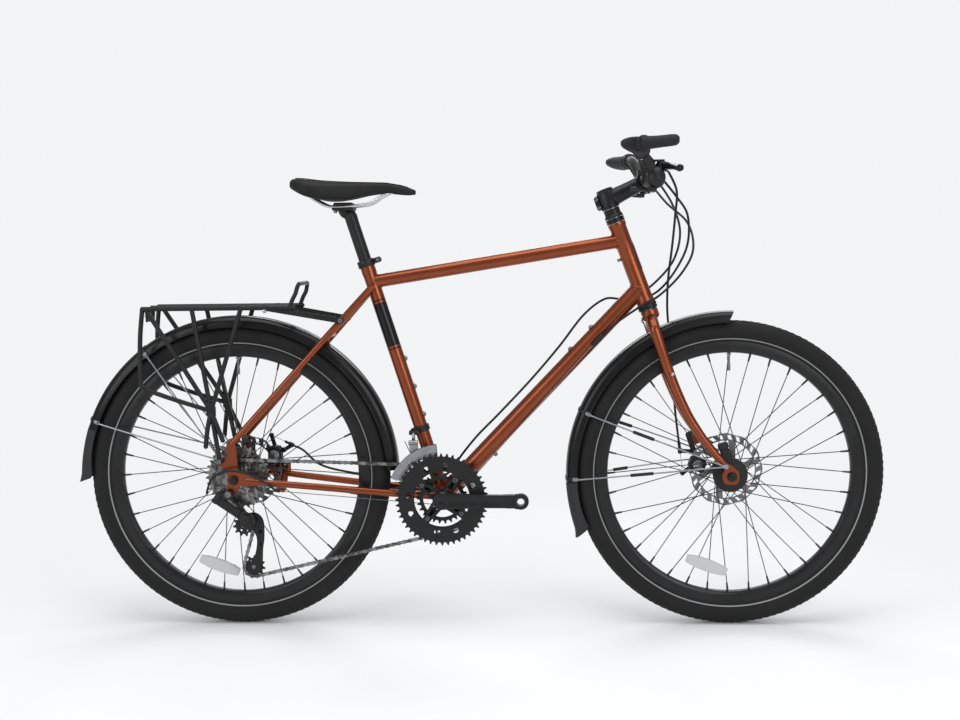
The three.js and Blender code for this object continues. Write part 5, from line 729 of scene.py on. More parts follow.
def tread_row(form, centre, radius, left, width, length, shift):
    """One tapered block, sunk a little in the crown, copied round the wheel."""
    step = FULL_TURN / TREAD_COUNT
    lean = math.atan2(left, 26.0) * 0.9
    out = polar(vec(0, 0, 0), math.cos(lean), shift * step, math.sin(lean))
    ahead = outward(shift * step + math.pi / 2)
    turn = Matrix((ahead, out.cross(ahead), out)).transposed().to_4x4()
    place = Matrix.Translation(polar(centre, radius, shift * step, left) + out * 0.1)
    part = bmesh.new()
    size = Matrix.Diagonal((length, width, BLOCK_HEIGHT, 1))
    corners = bmesh.ops.create_cube(part, size=1, matrix=size)["verts"]
    bmesh.ops.scale(part, vec=(BLOCK_TAPER, BLOCK_TAPER, 1), verts=[v for v in corners if v.co.z > 0])
    bmesh.ops.transform(part, matrix=place @ turn, verts=part.verts[:])
    bmesh.ops.spin(part, geom=part.verts[:] + part.edges[:] + part.faces[:], cent=centre, axis=-SIDE,
                   angle=FULL_TURN - step, steps=TREAD_COUNT - 1, use_duplicate=True)
    form.add(part)


for word, centre in (("rear", REAR), ("front", FRONT)):
    tyre = Form().ring(centre, both_sides(TYRE_PROFILE), 240)
    for radius, out, width, length, shift in TREAD_ROWS:
        for left in ((-out, out) if out else (0,)):
            tread_row(tyre, centre, radius, left, width, length, shift)
    tyre.piece(f"{word}_tyre", tyre_rubber, f"{word}_wheel", f"{word}_tyre", angle=35)
print("tread blocks a tyre:", TREAD_COUNT * 7)

# %% [markdown]
# ## Rims and spokes
#
# The rim is turned from one profile too. Each wheel has 36 spokes, which cross one another in pairs
# from each flange so that they can pass on the hub's pull. A spoke is a thin rod with a thicker
# nipple at the rim and a small round head in the flange.

# %% Rims and spokes
RIM_PROFILE = [(276.8, 9.9), (284.6, 10.6), (285.2, 12.0), (284.4, 12.3), (270, 12.1), (265, 11.2),
               (261.6, 9.0), (260, 5.4), (259.5, 0)]
FLANGES = {"rear": [(-23, 30), (33, 30)], "front": [(-30, 37), (22, 30)]}
SPOKES_A_SIDE = 18
CROSSING_LEAN = 60 * DEG


def spokes(centre, flanges):
    """Spokes, nipples and spoke heads of one wheel."""
    form = Form()
    for side, (left, radius) in enumerate(flanges):
        for i in range(SPOKES_A_SIDE):
            angle = (i + side / 2) * FULL_TURN / SPOKES_A_SIDE
            lead = -1 if i % 2 else 1
            head = polar(centre, radius - 4, angle, left + lead * 2.6)
            end = polar(centre, 258.6, angle + lead * CROSSING_LEAN, math.copysign(3, left))
            line = (end - head).normalized()
            form.rod(head, end, 1.05, 6)
            form.rod(end - line * 15, end + line * 2, [1.9, 2.5], 8)
            form.ball(head + SIDE * lead, (2.4, 1.2, 2.4), 4)
    return form


for word, centre in (("rear", REAR), ("front", FRONT)):
    rim = Form().ring(centre, both_sides(RIM_PROFILE), 192)
    rim.piece(f"{word}_rim", rim_black, f"{word}_wheel", f"{word}_rim", angle=30)
    spokes(centre, FLANGES[word]).piece(f"{word}_spokes", spoke, f"{word}_wheel")
print("spokes:", 4 * SPOKES_A_SIDE)

# %% [markdown]
# ## Valves and reflectors
#
# A valve is three rods of different widths on one line. The reflector's lens is a plate with arched
# long sides, clipped between the spokes with two small blocks.

# %% Valves and reflectors
LENS_TILT = -20 * DEG
LENS_HALF_LENGTH = 46
for word, centre, lens_place in (("rear", REAR, vec(-50, -14, 130)), ("front", FRONT, vec(1014, -14, 130))):
    valve = Form()
    for start, end, radius, sides, soft in ((259, 226, 2.6, 12, 0), (258.5, 255.5, 5.2, 6, 0),
                                            (236, 221, 3.6, 10, 0.8)):
        valve.rod(centre + UP * start, centre + UP * end, radius, sides, soft)
    valve.piece(f"{word}_valve", dark_steel, f"{word}_wheel")
    edge = [k / 8 - 1 for k in range(17)]
    outline = [(LENS_HALF_LENGTH * x, 5.5 * x * x - 13.5) for x in [-share for share in edge]]
    outline += [(LENS_HALF_LENGTH * x, 13.5 - 5.5 * x * x) for x in edge]
    turn = Matrix.Translation(lens_place) @ Matrix.Rotation(-LENS_TILT, 4, "Y")
    lens = Form().plate(outline, 0, 7, soft=1.2, place=turn)
    lens.piece(f"{word}_reflector", glass, f"{word}_wheel")
    clip = Form()
    for step in (-30, 30):
        clip.block(lens_place + outward(LENS_TILT) * step + SIDE * 5, outward(LENS_TILT), 7, 8, 20)
    clip.piece(f"{word}_reflector_clip", plastic, f"{word}_wheel")
print("valves and reflectors done")

# %% [markdown]
# ## Hubs
#
# Both hubs are turned parts, so each is one long profile spun about its axle. The front one is a
# generator: its wider body carries fine cooling ribs, which are thin rods laid on it.

# %% Hubs
REAR_HUB = [(5.2, -66.8), (9, -66.8), (9, -65), (14.9, -65), (14.9, -27), (18, -26), (29.6, -25.6),
            (30.2, -24.8), (30.2, -21.2), (29.6, -20.4), (18, -19), (15, -14), (14.6, 6), (16, 24),
            (20, 29.6), (29.6, 30.4), (30.2, 31.2), (30.2, 34.8), (29.6, 35.6), (24, 37), (22, 43),
            (22, 50.6), (17, 50.8), (17, 53.4), (9, 53.6), (9, 66.8), (5.2, 66.8)]
FRONT_HUB = [(5.2, -37), (13.6, -37), (14, -36.4), (22, -35), (36.4, -32.8), (37, -32.2), (37, -28),
             (36.2, -27.2), (32, -26.4), (31, -24), (31, -2), (30, 0), (24, 8), (17, 16), (18, 19),
             (29.6, 19.4), (30.2, 20.2), (30.2, 23.8), (29.6, 24.6), (23, 27), (22, 31), (22, 38.4),
             (17, 38.6), (17, 41.2), (9, 41.6), (9, 49.6), (5.2, 49.6)]
rear_hub = Form().ring(REAR, REAR_HUB, 72)
rear_hub.piece("rear_hub", dark_steel, "rear_wheel", "rear_hub", angle=28)
front_hub = Form().ring(FRONT, FRONT_HUB, 72)
for i in range(30):
    angle = i * 12 * DEG
    front_hub.rod(polar(FRONT, 31.2, angle, -23), polar(FRONT, 31.2, angle, -3), 0.7, 6)
front_hub.piece("front_hub", satin, "front_wheel", "front_hub", angle=28)
print("hubs done")

# %% [markdown]
# ## Brake discs
#
# A disc is stamped from sheet: a wavy rim, six windows that leave swept spokes, and slots that wipe
# the pads. All of it is one plate, filled between its outline and its holes.

# %% Brake discs
WINDOW_LEAN = 18 * DEG


def rotor(name, centre, middle, body):
    """A brake disc and the six bolts that hold it on its hub."""
    outline = [polar(centre, 78.8 + 1.3 * math.cos(i * 30 * DEG), i * 2.5 * DEG) for i in range(144)]
    holes = [circle(centre, 17.2, 32)]
    for i in range(6):
        start, end = (i + 0.12) * 60 * DEG, (i + 0.88) * 60 * DEG
        inner = [polar(centre, 31, start + 0.1 + (end - start - 0.2) * k / 3) for k in range(4)]
        outer = [polar(centre, 63.5, WINDOW_LEAN + end - (end - start) * k / 7) for k in range(8)]
        holes.append(flat(inner + outer))
        for k in range(4):
            turn = (i * 60 + k * 15 + 7) * DEG
            slot = ((66.5, -0.075), (66.5, 0.035), (76, 0.115), (76, 0.005))
            holes.append(flat([polar(centre, radius, turn + step) for radius, step in slot]))
        holes.append(circle(polar(centre, 22, (i * 60 + 20) * DEG), 2.6, 10))
    Form().plate(flat(outline), middle, 1.8, holes).piece(name, disc, body, name, angle=30)
    bolts = Form()
    for i in range(6):
        bolts.bolt(polar(centre, 22, (i * 60 + 20) * DEG, middle + 0.9), SIDE, 4.2, 2.4)
    bolts.piece(f"{name}_bolts", dark_steel, body)


rotor("rear_rotor", REAR, 51.9, "rear_wheel")
rotor("front_rotor", FRONT, 39.5, "front_wheel")
print("discs done")

# %% [markdown]
# ## Axles and the generator's plug
#
# Each end of an axle is a washer, a six-sided nut and the thread's tip: three rods, one of them with
# six sides. The plug that takes the lamp's current stands up from the front hub.

# %% Axles and plug
for word, centre, outer, body in (("rear", REAR, 72.9, "frame"), ("front", FRONT, 55.7, "steering")):
    axle = Form().across(centre, -outer - 6.5, outer + 6.5, 4.9, 32, 0.6)
    for side in (-1, 1):
        for start, end, radius, sides, soft in ((0, 1.6, 10.4, 32, 0), (1.4, 6.8, 8.9, 6, 0.5),
                                                (6.5, 8.5, 4.6, 16, 0.4)):
            axle.across(centre, side * (outer + start), side * (outer + end), radius, sides, soft)
    axle.piece(f"{word}_axle", alloy, body, f"{word}_axle")
plug_up = outward(105 * DEG)
plug = Form().across(FRONT, -49.5, -37.4, 14, 36, 1)
plug.block(FRONT + plug_up * 40 - SIDE * 41, plug_up, 66, 8, 19, 3)
plug.block(FRONT + plug_up * 67 - SIDE * 43.5, plug_up, 15, 13, 22, 2.5)
plug.piece("generator_plug", plastic, "steering")
print("axles done")

# %% [markdown]
# ## Frame tubes
#
# The frame is brazed from round tubes. The two pairs of stays bow outwards on their way to the axle,
# so they are curves with a shrinking radius, and the dropouts at their ends are plates.

# %% Frame tubes
DOWN_TOP = on_steer(440.6)
TOP_FRONT = on_steer(548.6)
TOP_REAR = on_seat(489)
STAY_TOP = on_seat(480)
STAY_END = REAR + vec(-4.75, 0, 76)
STAY_BRIDGE = STAY_TOP.lerp(STAY_END, 0.31)
CHAINSTAY_BRIDGE = CRANK.lerp(REAR, 0.155)
RACK_BOSS = STAY_TOP.lerp(STAY_END, 0.215)
STAY_WIDTH = 69
CHAINSTAY = [(0.02, 0.29), (0.13, 0.41), (0.235, 0.55), (0.33, 0.62), (0.62, 0.79), (0.8, 0.92), (0.94, 1)]
SEATSTAY = [(0, 0.2), (0.12, 0.38), (0.31, 0.63), (0.6, 0.8), (1, 1)]
DROPOUT_RIGHT = [(-0.17, 1.04), (0.06, 1.04), (0.12, 0.53), (0.18, 0.24), (0.6, 0.1), (0.6, -0.16),
                 (0.21, -0.17), (0.11, -0.26), (-0.08, -0.5), (-0.22, -0.5), (-0.26, -0.32),
                 (-0.18, -0.1), (-0.2, 0.22), (-0.44, 0.46), (-0.44, 0.64), (-0.19, 0.66)]
DROPOUT_LEFT = [(-0.17, 1.04), (0.06, 1.04), (0.14, 0.53), (0.24, 0.26), (1.1, 0.12), (1.1, -0.64),
                (0.86, -0.64), (0.7, -0.18), (0.11, -0.26), (-0.16, -0.24), (-0.18, -0.1),
                (-0.2, 0.22), (-0.44, 0.46), (-0.44, 0.64), (-0.19, 0.66)]
DROPOUT_HEIGHT = 76


def stay(start, end, shares, side):
    """A bowed line beside the wheel, from (share of the way, share of the width)."""
    stations = [start.lerp(end, along) + SIDE * (side * out * STAY_WIDTH) for along, out in shares]
    return smooth_path(stations, 5)


tubes = Form()
tubes.ring(STEER_FOOT, [(16, 405.8), (19.2, 405.8), (19.4, 407), (19.2, 414), (18, 417), (18, 577),
                        (19.2, 580), (19.4, 587.4), (19.2, 588.4), (16, 588.4)], 72, STEER_UP)
tubes.ring(CRANK, [(14.1, 505), (15.9, 505), (15.9, 536), (14.1, 536)], 56, SEAT_UP)
tubes.ring(CRANK, [(17.4, -34), (20, -34), (20.6, -33), (20.6, 33), (20, 34), (17.4, 34)], 64)
for start, end, radius in ((CRANK, on_seat(536), 15), (TOP_REAR, TOP_FRONT, 14.5), (CRANK, DOWN_TOP, 18.5)):
    tubes.tube([start, end], radius, 48)
for side in (-1, 1):
    tubes.tube(stay(CRANK, REAR, CHAINSTAY, side), [8.6, 8.2, 8, 7.8, 7.4, 6.9, 6.5], 28)
    tubes.tube(stay(STAY_TOP, STAY_END, SEATSTAY, side), [7.6, 7.6, 7.4, 7, 6.6], 28)
    tubes.across(RACK_BOSS, side * 30, side * 50, 4, 20)
    corners = DROPOUT_LEFT if side > 0 else DROPOUT_RIGHT
    outline = rounded([(x * DROPOUT_HEIGHT, WHEEL + z * DROPOUT_HEIGHT) for x, z in corners], 4)
    tubes.plate(outline, side * 70, 5, soft=0.7)
tubes.across(STAY_BRIDGE, -43, 43, 6, 28)
tubes.across(CHAINSTAY_BRIDGE, -31, 31, 6, 28)
for x in (58, 92):
    tubes.rod(vec(x, 62, 326), vec(x, 62, 342), 6, 20, 0.6)
print("frame tubes:", len(tubes.mesh.faces), "faces")

# %% [markdown]
# ## Weld beads
#
# The tubes are joined by weld beads. A bead follows the curve where one tube meets another: for
# each direction round the first tube, a quadratic gives the distance at which it leaves the second.
# A boolean could cut that curve, but the formula is exact and gives evenly spaced points, so that
# the bead's ripple is even too.

# %% Welds
BEAD_POINTS = 96
BEAD_RADIUS = 1.9


def weld(form, start, end, radius, axis_point, axis, other):
    """A rippled bead where the tube from start meets the tube about an axis."""
    along = (end - start).normalized()
    across = square_to(along)
    q = along - axis * along.dot(axis)
    points = []
    for base in ellipse(start, across, along.cross(across), radius, BEAD_POINTS):
        gap = base - axis_point
        p = gap - axis * gap.dot(axis)
        a, b, c = q.dot(q), 2 * p.dot(q), p.dot(p) - other ** 2
        points.append(base + along * ((-b + math.sqrt(max(b * b - 4 * a * c, 0))) / (2 * a)))
    ripple = [BEAD_RADIUS * (1.0 if k % 3 else 0.84) for k in range(BEAD_POINTS)]
    form.tube(points, ripple, 8, closed=True)


weld(tubes, TOP_REAR.lerp(TOP_FRONT, 0.98), TOP_REAR, 14.5, STEER_FOOT, STEER_UP, 18.2)
weld(tubes, DOWN_TOP, CRANK, 18.5, STEER_FOOT, STEER_UP, 18.2)
weld(tubes, TOP_REAR, TOP_FRONT, 14.5, CRANK, SEAT_UP, 15.2)
weld(tubes, CRANK, DOWN_TOP, 18.5, CRANK, SIDE, 20.6)
weld(tubes, CRANK, on_seat(100), 15, CRANK, SIDE, 20.6)
tubes.piece("frame_tubes", paint, "frame", "frame", angle=32)
print("welds done")

# %% [markdown]
# ## Bosses
#
# Bottles, a pump and the rack are bolted to small bosses. They could be copies of one object, but
# each stands square to its own tube. So a short rod and a bolt are placed along the tube's own
# directions, and all of them are one piece.

# %% Bosses and their bolts
DOWN_ALONG = (DOWN_TOP - CRANK).normalized()
DOWN_OUT = vec(-DOWN_ALONG.z, 0, DOWN_ALONG.x)
EYE_REAR = vec(-26.6, 0, 371.8)
fittings = Form()
for height in (182, 246, 310):
    fittings.rod(on_seat(height, 14), on_seat(height, 17), 6.2, 24, 0.8)
    fittings.bolt(on_seat(height, 16.5), SEAT_AHEAD, 4.4, 3.6)
for length in (422, 486):
    at = CRANK + DOWN_ALONG * length
    fittings.rod(at + DOWN_OUT * 18, at + DOWN_OUT * 20.4, 6.2, 24, 0.8)
    fittings.bolt(at + DOWN_OUT * 20, DOWN_OUT, 4.4, 3.6)
fittings.bolt(CRANK + DOWN_ALONG * 144 - DOWN_OUT * 19, -DOWN_OUT, 4.6, 7)
fittings.rod(on_steer(512, -17.5), on_steer(512, -26), [3.4, 3.0], 20, 0.6)
for side in (-1, 1):
    fittings.bolt(RACK_BOSS + SIDE * side * 56, SIDE * side, 5.4, 3.4)
    fittings.bolt(EYE_REAR + SIDE * side * 86, SIDE * side, 5.4, 3.6)
fittings.piece("frame_bolts", dark_steel, "frame")
print("bosses done")

# %% [markdown]
# ## Badge plate
#
# The badge's place holds a bare plate. It is so thin that one face is enough: a flat grid, whose
# corners are moved on to a cylinder round the steering axis, narrower towards its top and foot.

# %% Badge plate
BADGE_RADIUS, BADGE_FOOT, BADGE_HEIGHT = 19.0, 478, 64
badge_part = bmesh.new()
bmesh.ops.create_grid(badge_part, x_segments=8, y_segments=8, size=1)
for corner in badge_part.verts:
    share = (corner.co.y + 1) / 2
    width = 10 * math.sin(math.pi * min(1, 0.25 + share * 0.75)) + 1.5
    lean = corner.co.x * width / 19.6
    ahead, left = BADGE_RADIUS * math.cos(lean), BADGE_RADIUS * math.sin(lean)
    corner.co = on_steer(BADGE_FOOT + BADGE_HEIGHT * share, ahead, left)
badge = Form().add(badge_part)
badge.piece("head_badge", silver, "frame")
print("badge done")

# %% [markdown]
# ## Cups and seat clamp
#
# Bearing cups and the seat tube's clamp come off a lathe, so each is a profile spun about the tube
# that it sits on. Sixteen thin rods on each of the crank's cups are the ridges that a tool holds.

# %% Cups and seat clamp
for word, low, high, radius in (("lower", 391.5, 405.2, 21), ("upper", 589, 599.4, 20)):
    cup = Form().ring(STEER_FOOT, [(14.9, low), (radius - 1.2, low), (radius, low + 1.4), (radius, low + 5),
                                   (radius - 1, low + 5.6), (radius - 1, low + 6.4), (radius, low + 7),
                                   (radius, high - 1.2), (radius - 1, high), (14.9, high)], 64, STEER_UP)
    cup.piece(f"headset_{word}_cup", alloy, "frame", f"headset_{word}_cup")
shell_cups = Form().ring(CRANK, [(9, -34), (16.9, -34), (16.9, 34), (9, 34)], 40)
for side in (-1, 1):
    profile = [(8.9, 34.4), (19.4, 34.4), (19.9, 35), (19.9, 37.6), (19, 38.2), (8.9, 38.2)]
    shell_cups.ring(CRANK, [(radius, side * left) for radius, left in profile], 60)
    for k in range(16):
        spot = polar(CRANK, 19.6, k * 22.5 * DEG)
        shell_cups.across(spot, side * 34.8, side * 37.8, 1.1, 6)
shell_cups.piece("bottom_bracket", satin, "frame", "bottom_bracket")
clamp = Form().ring(CRANK, [(15.4, 523), (18.2, 523), (18.8, 524), (18.8, 537), (18.2, 538), (15.4, 538)],
                    56, SEAT_UP)
clamp.block(on_seat(530.5, 26), SEAT_AHEAD, 15, 16, 12, 2)
clamp.piece("seat_clamp", alloy, "frame", "seat_clamp")
clamp_bolt = Form()
for side in (-1, 1):
    clamp_bolt.bolt(on_seat(530.5, 27, side * 8.2), SIDE * side, 4.4, 2.6)
clamp_bolt.piece("seat_clamp_bolt", dark_steel, "frame")
print("frame done")

# %% [markdown]
# ## Chainrings
#
# A sprocket's outline alternates between a rounded root, where a roller sits, and a tooth. It could
# be cut from a disc tooth by tooth, but as one outline of seven points a tooth it is a plate at once.
# The chain's pitch and the number of teeth give its radius. Four bolted tabs carry each ring.

# %% Chainrings
CHAIN_PITCH = 12.7
CHAIN_LINE = -47
ARM_ANGLES = [angle * DEG for angle in (55, 144, 233, 324)]


def pitch_radius(teeth):
    """Radius of the circle that the rollers' middles lie on."""
    return CHAIN_PITCH / (2 * math.sin(math.pi / teeth))


def toothed(centre, teeth, start=0.0, tip=3.0):
    """A sprocket's outline: root, flank and tip for each tooth."""
    step = FULL_TURN / teeth
    tooth = [(-0.5, -3.9), (-0.3, -3.4), (-0.19, -0.4), (-0.08, tip), (0.08, tip), (0.19, -0.4), (0.3, -3.4)]
    return flat([polar(centre, pitch_radius(teeth) + out, start + (i + 0.5 + share) * step)
                 for i in range(teeth) for share, out in tooth])


for word, teeth, left, inner, bolt, reach, eye in (("outer", 48, -54.4, 61, 52, 64, 8.4),
                                                   ("middle", 36, -47, 60, 52, 64, 8.4),
                                                   ("inner", 26, -39.6, 41, 32, 44, 7)):
    chainring = Form()
    holes = [circle(CRANK, inner, 64)]
    if word == "outer":
        holes += [circle(polar(CRANK, 72, angle + share * 89 * DEG), 6.6, 24)
                  for angle in ARM_ANGLES for share in (0.32, 0.68)]
    chainring.plate(toothed(CRANK, teeth, math.pi / teeth), left, 2, holes)
    for angle in ARM_ANGLES:
        tab = polar(CRANK, (bolt + reach) / 2, angle, left)
        chainring.block(tab, outward(angle), reach - bolt, 2.2, 17, 0.4)
        chainring.across(polar(CRANK, bolt, angle), left - 1.2, left + 1.2, eye, 24)
    chainring.piece(f"chainring_{word}", satin, "crankset", f"chainring_{word}", angle=25)
print("chainrings done")

# %% [markdown]
# ## Cranks
#
# A forged crank changes its section all along: tall and thick at the axle, slim in the middle, and
# swelling round the pedal's eye. So it is lofted from stations of one twelve-point section. The eye
# is turned, which leaves it open, and two blocks fill the fork between arm and eye.

# %% Cranks
ARM_STATIONS = [(0, 19.2, -72, 8.2), (0.1, 17.8, -72.6, 7.6), (0.3, 16.2, -73.4, 6.8),
                (0.55, 14.6, -75.2, 6.3), (0.75, 14.6, -76.2, 6.2), (0.88, 15.4, -76.6, 6.4),
                (0.93, 15, -76.6, 6.2)]
ARM_SECTION = [(1, -0.62), (1, 0.62), (0.84, 0.9), (0.5, 1), (-0.84, 0.93), (-1, 0.62), (-0.72, 0.34),
               (-0.72, -0.34), (-1, -0.62), (-0.84, -0.93), (0.5, -1), (0.84, -0.9)]
SPIDER_EDGE = [(9, 13), (22, 13.5), (36, 11.5), (48, 9.2), (58, 8.4)]


def crank_arm(form, side):
    """One arm with its pedal eye and axle bolt; side is -1 on the right."""
    rings = []
    for share, tall, left, thick in ARM_STATIONS:
        ahead = CRANK.x - side * share * CRANK_LENGTH
        rings.append([vec(ahead, side * -(left + out * thick), CRANK.z + up * tall)
                      for out, up in ARM_SECTION])
    form.skin(rings)
    eye = CRANK + vec(-side * CRANK_LENGTH, side * 76.6, 0)
    form.ring(eye, [(7.6, -6), (15.6, -6.4), (16.9, -5), (16.9, 5), (15.6, 6.4), (7.6, 6)], 56)
    for up in (-1, 1):
        form.block(eye + vec(side * 6, 0, up * 12.2), AHEAD, 13, 12.4, 7, 0.6)
    form.bolt(CRANK + SIDE * side * 79, SIDE * side, 9.5, 4.0)


right_crank, left_crank = Form(), Form()
for angle in ARM_ANGLES:
    left = [polar(CRANK, radius, angle + half / radius) for radius, half in SPIDER_EDGE]
    right = [polar(CRANK, radius, angle - half / radius) for radius, half in reversed(SPIDER_EDGE)]
    right_crank.plate(flat(right + [polar(CRANK, 60.5, angle)] + left)[::-1], -50.7, 4.6, soft=0.9)
right_crank.across(CRANK, -79, -40, 18, 56, 2)
crank_arm(right_crank, -1)
right_crank.piece("crank_right", satin, "crankset", "crank_right", angle=38)
crank_arm(left_crank, 1)
left_crank.across(CRANK, 40, 79, 18, 56, 2)
left_crank.across(CRANK, -78, 78, 8.4, 40)
left_crank.piece("crank_left", satin, "crankset", "crank_left", angle=38)
bright = Form()
for angle in ARM_ANGLES:
    bright.bolt(polar(CRANK, 52, angle, -53), -SIDE, 5.2, 3.0)
for side in (-1, 1):
    end = CRANK + vec(-side * CRANK_LENGTH, side * 83.2, 0)
    bright.ring(end, [(7.2, -0.6), (8.8, -0.6), (8.8, 0.3), (7.2, 0.3)], 32)
bright.piece("crank_bolts", dark_steel, "crankset")
print("cranks done")

# %% [markdown]
# ## Cassette
#
# Nine sprockets of growing size stand on one carrier, with a turned spacer between each two. The
# larger ones have round windows. Each is turned a little against the last, as their teeth are on a
# real cassette, so that no row of teeth lines up.

# %% Cassette
COGS = (11, 13, 15, 17, 20, 23, 26, 30, 34)
FIRST_COG, COG_STEP = -64.36, 4.34
cogs = Form()
for i, teeth in enumerate(COGS):
    left = FIRST_COG + i * COG_STEP
    radius = pitch_radius(teeth)
    holes = [circle(REAR, 15.4, 36)]
    if radius > 45:
        holes += [circle(polar(REAR, radius * 0.62, (k * 60 + 12 * i) * DEG), radius * 0.17, 18)
                  for k in range(6)]
    cogs.plate(toothed(REAR, teeth, i * 0.2, 2.4), left, 1.8, holes)
    if teeth != COGS[-1]:
        near, far = left + 0.9, left + 3.44
        cogs.ring(REAR, [(15.4, near), (18.4, near), (18.4, far), (15.4, far)], 40)
cogs.ring(REAR, [(15.4, -66.4), (17.6, -66.4), (18, -66), (18, -65.3), (15.4, -65.3)], 48)
cogs.piece("cassette", chain_steel, "cassette", "cassette", angle=25)
print("sprockets:", len(COGS))

# %% [markdown]
# ## Route of the chain
#
# The chain runs over four wheels, and bends the other way round the guide pulley. Its route could
# be drawn by hand, but then the links wouldn't lie on the sprockets. So it is worked out as for its
# solid: straight runs between where it leaves and meets each wheel, and arcs round the wheels.

# %% Route of the chain
GUIDE, TENSION = vec(14, 0, 226), vec(34, 0, 136)
ROUTE = [(CRANK, pitch_radius(36), 1), (REAR, pitch_radius(20), 1), (GUIDE, pitch_radius(11), -1),
         (TENSION, pitch_radius(11), 1)]


def tangent(first, second):
    """Where the straight run between two wheels leaves the first and meets the second."""
    (a, radius_a, turn_a), (b, radius_b, turn_b) = first, second
    run = b - a
    heading = math.atan2(run.z, run.x)
    lean = math.asin((turn_b * radius_b - turn_a * radius_a) / math.hypot(run.x, run.z))
    return heading - lean - turn_a * math.pi / 2, heading - lean - turn_b * math.pi / 2


def evenly(line, lengths, count):
    """Points at even steps along a closed line."""
    points, index, walked = [], 0, 0.0
    for k in range(count):
        target = k * sum(lengths) / count
        while walked + lengths[index] < target:
            walked += lengths[index]
            index += 1
        points.append(line[index].lerp(line[(index + 1) % len(line)], (target - walked) / lengths[index]))
    return points


chain_line = []
ends = [tangent(ROUTE[i], ROUTE[(i + 1) % 4]) for i in range(4)]
for i, (centre, radius, turn) in enumerate(ROUTE):
    meet, leave = ends[i - 1][1], ends[i][0]
    sweep = ((leave - meet) * turn) % FULL_TURN
    steps = max(8, int(sweep * radius / 2))
    chain_line += [polar(centre, radius, meet + turn * sweep * k / steps, CHAIN_LINE)
                   for k in range(steps + 1)]
lengths = [(chain_line[(i + 1) % len(chain_line)] - p).length for i, p in enumerate(chain_line)]
pins = evenly(chain_line, lengths, round(sum(lengths) / CHAIN_PITCH / 2) * 2)
print("chain length:", round(sum(lengths)), "mm")

# %% [markdown]
# ## Chain links
#
# The chain could be a band with a picture of links on it, but its outline shows against the light.
# So a pair of plates with round ends and a narrower waist is laid from each pin to the next, narrow
# and wide pairs by turns, with a roller on each pin.

# %% Chain links
LINK_END, LINK_WAIST = 3.9, 2.7
links, rollers = Form(), Form()
for k, pin in enumerate(pins):
    other = pins[(k + 1) % len(pins)]
    along, half = (other - pin).normalized(), (other - pin).length / 2
    up = vec(-along.z, 0, along.x)
    middle = (pin + other) / 2
    outline = []
    for side in (1, -1):
        for t in range(7):
            angle = (side * 90 - 30 * t) * DEG
            outline.append(middle + along * (side * half + LINK_END * math.cos(angle))
                           + up * (LINK_END * math.sin(angle)))
        outline.append(middle - up * side * LINK_WAIST)
    offset = 3.05 if k % 2 else 2.05
    for side in (-1, 1):
        links.plate(flat(outline), CHAIN_LINE + side * offset, 0.95)
    rollers.across(vec(pin.x, 0, pin.z), CHAIN_LINE - 3.9, CHAIN_LINE + 3.9, 1.75, 8)
    rollers.across(vec(pin.x, 0, pin.z), CHAIN_LINE - 1.5, CHAIN_LINE + 1.5, 3.6, 12)
links.piece("chain", chain_steel, "frame", "chain", angle=30)
rollers.piece("chain_rollers", chain_steel, "frame", angle=30)
print("chain links:", len(pins))

# %% [markdown]
# ## Rear derailleur's knuckles and link
#
# It hangs from a knuckle on the dropout, and a short parallelogram of plates carries a second one.
# Castings like these could be sculpted, but bars and rods that run into each other give the same
# outline, and each stays where its pin is.

# %% Rear derailleur's knuckles and link
UPPER_PIN, LOWER_PIN = vec(-36, -80, 291), vec(16, -71, 252)
HANGER, CAGE_PIVOT = vec(-10, 0, 301), vec(28, 0, 240)
LINK_LINE = (LOWER_PIN - UPPER_PIN).normalized()
LINK_MIDDLE = (UPPER_PIN + LOWER_PIN) / 2
PIN_UP = vec(-LINK_LINE.z, 0, LINK_LINE.x).normalized()
knuckle = Form()
knuckle.across(HANGER, -87, -73, 9.4, 36, 1.6)
knuckle.bar(HANGER - SIDE * 80, UPPER_PIN + PIN_UP * 12, 13, 10, 3)
knuckle.rod(UPPER_PIN - PIN_UP * 10, UPPER_PIN + PIN_UP * 16, 7.2, 32, 1.2)
knuckle.rod(UPPER_PIN + PIN_UP * 15, UPPER_PIN + PIN_UP * 22, [4.6, 4], 20, 0.8)
knuckle.piece("rear_derailleur_knuckle", satin, "rear_derailleur_knuckle", "rear_derailleur_knuckle")
link = Form()
link.block(LINK_MIDDLE - SIDE * 3.6, LINK_LINE, 56, 3.6, 19, 1.6)
link.block(LINK_MIDDLE + SIDE * 3.6, LINK_LINE, 56, 3.0, 17, 1.4)
link.block(LINK_MIDDLE, LINK_LINE, 28, 8, 11, 2.5)
link.piece("rear_derailleur_link", satin, "rear_derailleur_link", "rear_derailleur_link")
lower = Form()
lower.across(CAGE_PIVOT, -79, -58.2, 15.5, 44, 3)
lower.bar(LOWER_PIN + SIDE * 4, CAGE_PIVOT - SIDE * 67, 20, 15, 4)
lower.rod(LOWER_PIN - PIN_UP * 10, LOWER_PIN + PIN_UP * 10, 7.2, 32, 1.2)
lower.piece("rear_derailleur_cage_knuckle", satin, "rear_derailleur_cage_knuckle",
            "rear_derailleur_cage_knuckle")
hanger_bolt = Form().bolt(HANGER - SIDE * 86.6, -SIDE, 6.4, 2.6)
hanger_bolt.piece("hanger_bolt", dark_steel, "rear_derailleur_knuckle")
link_pins = Form().rod(UPPER_PIN - PIN_UP * 11, UPPER_PIN - PIN_UP * 9.6, 3.4, 20)
link_pins.rod(LOWER_PIN - PIN_UP * 11, LOWER_PIN + PIN_UP * 11, 3.2, 20)
link_pins.piece("derailleur_pins", dark_steel, "rear_derailleur_cage_knuckle")
print("knuckles done")

